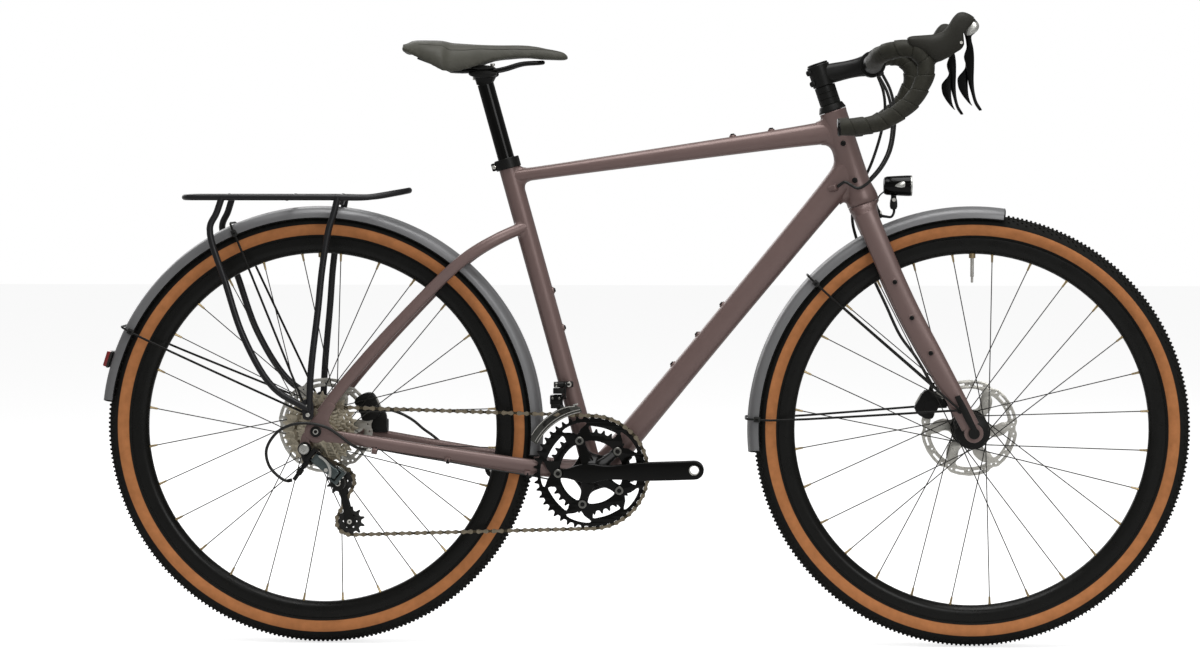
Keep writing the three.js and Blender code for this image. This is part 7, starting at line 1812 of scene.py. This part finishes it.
def makeRearDerailleur():
    hanger = at(-18.2, 0, 329.9)
    parts = [(lathe([(0, 0), (11, 0), (11, 9), (10, 10.5), (0, 10.5)], hanger + across * -0.0786, -across, 36),
              "satinBlack"), (lathe([(0, 9.5), (8.6, 9.5), (8.6, 13.8), (7.4, 15.2), (3.6, 15.3), (3.3, 12.6),
                                     (0, 12.6)], hanger + across * -0.0786, -across, 32), "silverPlate")]
    arm = ovalTube([(at(-17.6, -83, 328), 4.5, 9.5), (at(-17.4, -83, 321), 4.6, 7.2), (at(-15.6, -82, 314), 5, 7),
                    (at(-11.5, -80, 308), 6, 8.5)], 4, 24, 3.2)
    parts += [(arm, "satinBlack"), *clevis(0, 1, "satinBlack")]
    start, end = at(-14, -84, 309), at(-36, -81, 279)
    way, long = (end - start).normalized(), (end - start).length * 1000
    barrel = [(0, 0), (4.6, 0), (4.6, 11), (3.2, 12), (3.2, 15)]
    barrel += [(4.9, 15.4), (4.9, 18), (4.5, 18.4), (4.9, 18.8), (4.9, 21.4), (4.5, 21.8), (4.9, 22.2), (4.9, 24.6),
               (3.4, 26), (3.4, long), (0, long)]
    parts.append((lathe(barrel, start, way, 20), "satinBlack"))
    piece("derailleurMount", parts, "frame", ["derailleur_mount"], 35)
    arc = [(3, 8.3), (12, 9.6), (22, 8.6), (31, 4.5), (37, -2), (40, -8.2), (36, -8.6), (33, -3.5), (28, 1.5),
           (20, 5), (12, 6.2), (4, 6)]
    flat = roundedRing(arc, 3)
    rings = [[onLink(x, side, z) for x, z in flat] for side in (-90.55, -89.4)]
    outerLink = mechLink(mech["outer"], 3.1, "mechGrey") + [(skin(rings), "silverPlate")]
    clamp = onLink(27, -90.3, -3.8)
    outerLink.append((rod(clamp, clamp + across * 0.002, 3.6, 6), "brightSteel"))
    piece("derailleurOuterLink", outerLink, "derailleur_outer_link", ["derailleur_outer_link"], 35)
    piece("derailleurInnerLink", mechLink(mech["inner"], 2.2, "satinBlack"), "derailleur_inner_link",
          ["derailleur_inner_link"], 35)
    x, z = chain["guide"]
    knuckle = clevis(mech["length"], -1, "mechGrey")
    knuckle.append((lathe([(0, 0), (9.5, 0), (11.6, 1.6), (12, 4), (12, 12), (11.3, 12.6), (12, 13.2), (12, 32.8),
                           (0, 32.8)], at(x, -88, z), segments=40), "satinBlack"))
    knuckle.append((lathe([(0, 0.6), (3, 0.6), (3, -0.1), (4.6, -0.1), (4.6, 1.5), (0, 1.5)], at(x, -88, z),
                          segments=24), "brightSteel"))
    for rise in (-4, 4):
        spot = onLink(52, -89, rise)
        knuckle.append((rod(spot, spot + mech["way"] * 0.0052, 1.9, 12, 0.3), "brightSteel"))
    piece("derailleurKnuckle", knuckle, "derailleur_knuckle", ["derailleur_knuckle"], 35)
    way = (math.cos(cageTurn), math.sin(cageTurn))
    reach = chain["spacing"]
    spot = lambda share, out: (x + way[0] * reach * share - way[1] * out, z + way[1] * reach * share + way[0] * out)
    r = 9 / reach
    edge = [(-r, 4.2), (-r * 0.3, 8.6), (0.12, 8), (0.3, 5.8), (0.62, 5.6), (0.82, 7), (0.95, 8.9),
            (1 + r * 0.6, 8.2), (1 + r, 4)]
    ring = [spot(*p) for p in edge] + [spot(share, -out) for share, out in reversed(edge)]
    slot = ((0.26, 1.8), (0.5, 2.4), (0.72, 1.8), (0.75, 0), (0.72, -1.8), (0.5, -2.4), (0.26, -1.8), (0.23, 0))
    slotRing = roundedRing([spot(*p) for p in slot], 3)
    parts = [(plate(roundedRing(ring, 4), -54.2, -52.3, (), 0.4), "satinBlack"),
             (plate(roundedRing(ring, 4), -38.2, -36.3, [slotRing], 0.4), "satinBlack")]
    for centre in (chain["guide"], tensionPulley):
        parts.append((rod(centreOf(centre, -53), centreOf(centre, -37), 2.55, 16), "brightSteel"))
    parts.append((lathe([(1.5, 0), (1.5, 0.9), (2.4, 0.95), (3.9, 0.95), (4.1, 0.5), (4.1, 0)],
                        centreOf(tensionPulley, -53.35), -across, 24), "brightSteel"))
    piece("derailleurCage", parts, "derailleur_cage", ["derailleur_cage"], 30)
    for name, body, index, centre in (("guidePulley", "guide_pulley", 5, chain["guide"]),
                                      ("tensionPulley", "tension_pulley", 3, tensionPulley)):
        holes = [circle(2.7, 20)] + [circle(1.5, 10, *polar(10.6, 60 * k)) for k in range(6)]
        wheelPlate = plate(toothRing(chain["pulley"], rollerAngle(index)), *toothSides, holes, 0.2, centre)
        boss = lathe(sleeve(2.75, 6.8, 0, 13.4, 1.2), centreOf(centre, -51.95), segments=28)
        piece(name, [(wheelPlate, "darkPlastic"), (boss, "satinBlack")], body, [body], 30)


makeRearDerailleur()
print("rear derailleur built")


# Front derailleur
def makeFrontDerailleur():
    linkTop, linkFoot = 433, 413
    arm = ovalTube([(at(418, -19, linkTop), 5.2, 4.8), (at(408, -22, linkTop), 6, 4.8),
                    (at(397, -27, linkTop), 6.4, 4.8), (at(388.5, -30, linkTop), 4.6, 4.5)], 4, 24, 4)
    parts = [(arm, "satinBlack"), (rod(at(388, -31, linkTop), at(404, -31, linkTop), 4.8, 24, 0.5), "satinBlack")]
    parts.append((lathe([(0, 0), (4.6, 0), (4.6, 1.8), (3.8, 2.9), (2.2, 3), (2, 1.4), (0, 1.4)],
                        at(412, -24.6, linkTop), -across, 24), "brightSteel"))
    for lift in (-2.4, 2.4):
        parts.append((rod(at(392, -34, linkTop + lift), at(392, -35.9, linkTop + lift), 1.5, 12), "brightSteel"))
    piece("frontDerailleurMount", parts, "frame", ["front_derailleur_mount"], 35)
    link = plate(roundedRing([(-4, linkTop), (-2.8, 436.4), (0, 437.4), (2.8, 436.4), (4, linkTop), (3, 423),
                              (4, linkFoot), (2.8, 409.6), (0, 408.6), (-2.8, 409.6), (-4, linkFoot), (-3, 423)], 3),
                 -1.6, 1.6, (), 0.4)
    link.transform(Matrix.Translation(at(406.3, -31, 0)) @ Matrix.Rotation(math.pi / 2, 4,
            "Z") @ Matrix.Translation((middleX / 1000, 0, 0)))
    parts = [(link, "satinBlack"), (block(at(395.4, -31, 422.8), (18, 7, 9.6), 1.2), "satinBlack")]
    for height in (linkFoot, linkTop):
        parts.append((rod(at(404.7, -31, height), at(407.95, -31, height), 2, 14), "brightSteel"))
    piece("frontDerailleurLink", parts, "front_derailleur_link", ["front_derailleur_link"], 35)
    around = lambda radius, turn: spotAround(bracket, radius, turn)
    outline = [around(99.9, 99 + 54 * k / 12) for k in range(13)] + [around(103, 153), around(112, 152)]
    outline += [around(116.9, turn) for turn in (147, 141, 133, 126, 120, 114)] + [around(115, 108),
            around(112.5, 103), around(107, 99.6)]
    cutout = roundedRing([around(107.5, turn) for turn in (108, 118, 128, 136)] + [around(113, turn) for turn in (135,
            128, 118, 110)], 2)
    parts = []
    for side in (-50.75, -39.75):
        parts.append((plate(outline, side - 0.55, side + 0.55, [cutout] if side < -45 else (), 0.15), "mechSteel"))
    for radius in (101.2, 105.2):
        edge = [aroundAxle(bracket, radius, 100 + 3 * k, -51.1) for k in range(18)]
        parts.append((tube(edge, 0.55, 8), "brightSteel"))
    rim = [aroundAxle(bracket, radius, turn, -51.1) for radius, turn in ((112, 104), (114.6, 110), (115.8, 118),
            (115.8, 126), (115.8, 134), (115.8, 142), (115.4, 148))]
    parts.append((tube(smoothed(rim, 4), 0.7, 8), "brightSteel"))
    for radius, turn, wide in ((114.6, 103, 8), (110, 150, 4)):
        middle, tilt = aroundAxle(bracket, radius, turn, chain["line"]), pitched(90 - turn)
        parts.append((block(middle, (wide, 10.6, 2.4), 0.5, tilt), "silverPlate"))
    arm = ovalTube([(at(396, -31, linkFoot), 4.2, 6.6), (at(396, -33.4, 405), 4.6, 6.6),
                    (at(397, -37, 399.5), 3.2, 6.4), (at(400, -39.4, 393), 1.6, 6.2)], 4, 24, 3.4)
    parts += [(arm, "satinBlack"), (rod(at(388.2, -31, linkFoot), at(403.8, -31, linkFoot), 3.9, 24, 0.4),
                                    "satinBlack")]
    parts.append((block(at(392, -34, 408.3), (21, 13.6, 16), 2.4), "glossBlack"))
    parts.append((block(at(391, -36, 398.5), (16, 14, 8), 1.6), "satinBlack"))
    for x in (386, 397):
        parts.append((rod(at(x, -40.2, 411), at(x, -41.8, 411), 2.1, 14, 0.3), "boltSteel"))
    piece("frontDerailleurCage", parts, "front_derailleur_cage", ["front_derailleur_cage"], 35)


makeFrontDerailleur()
print("front derailleur built")
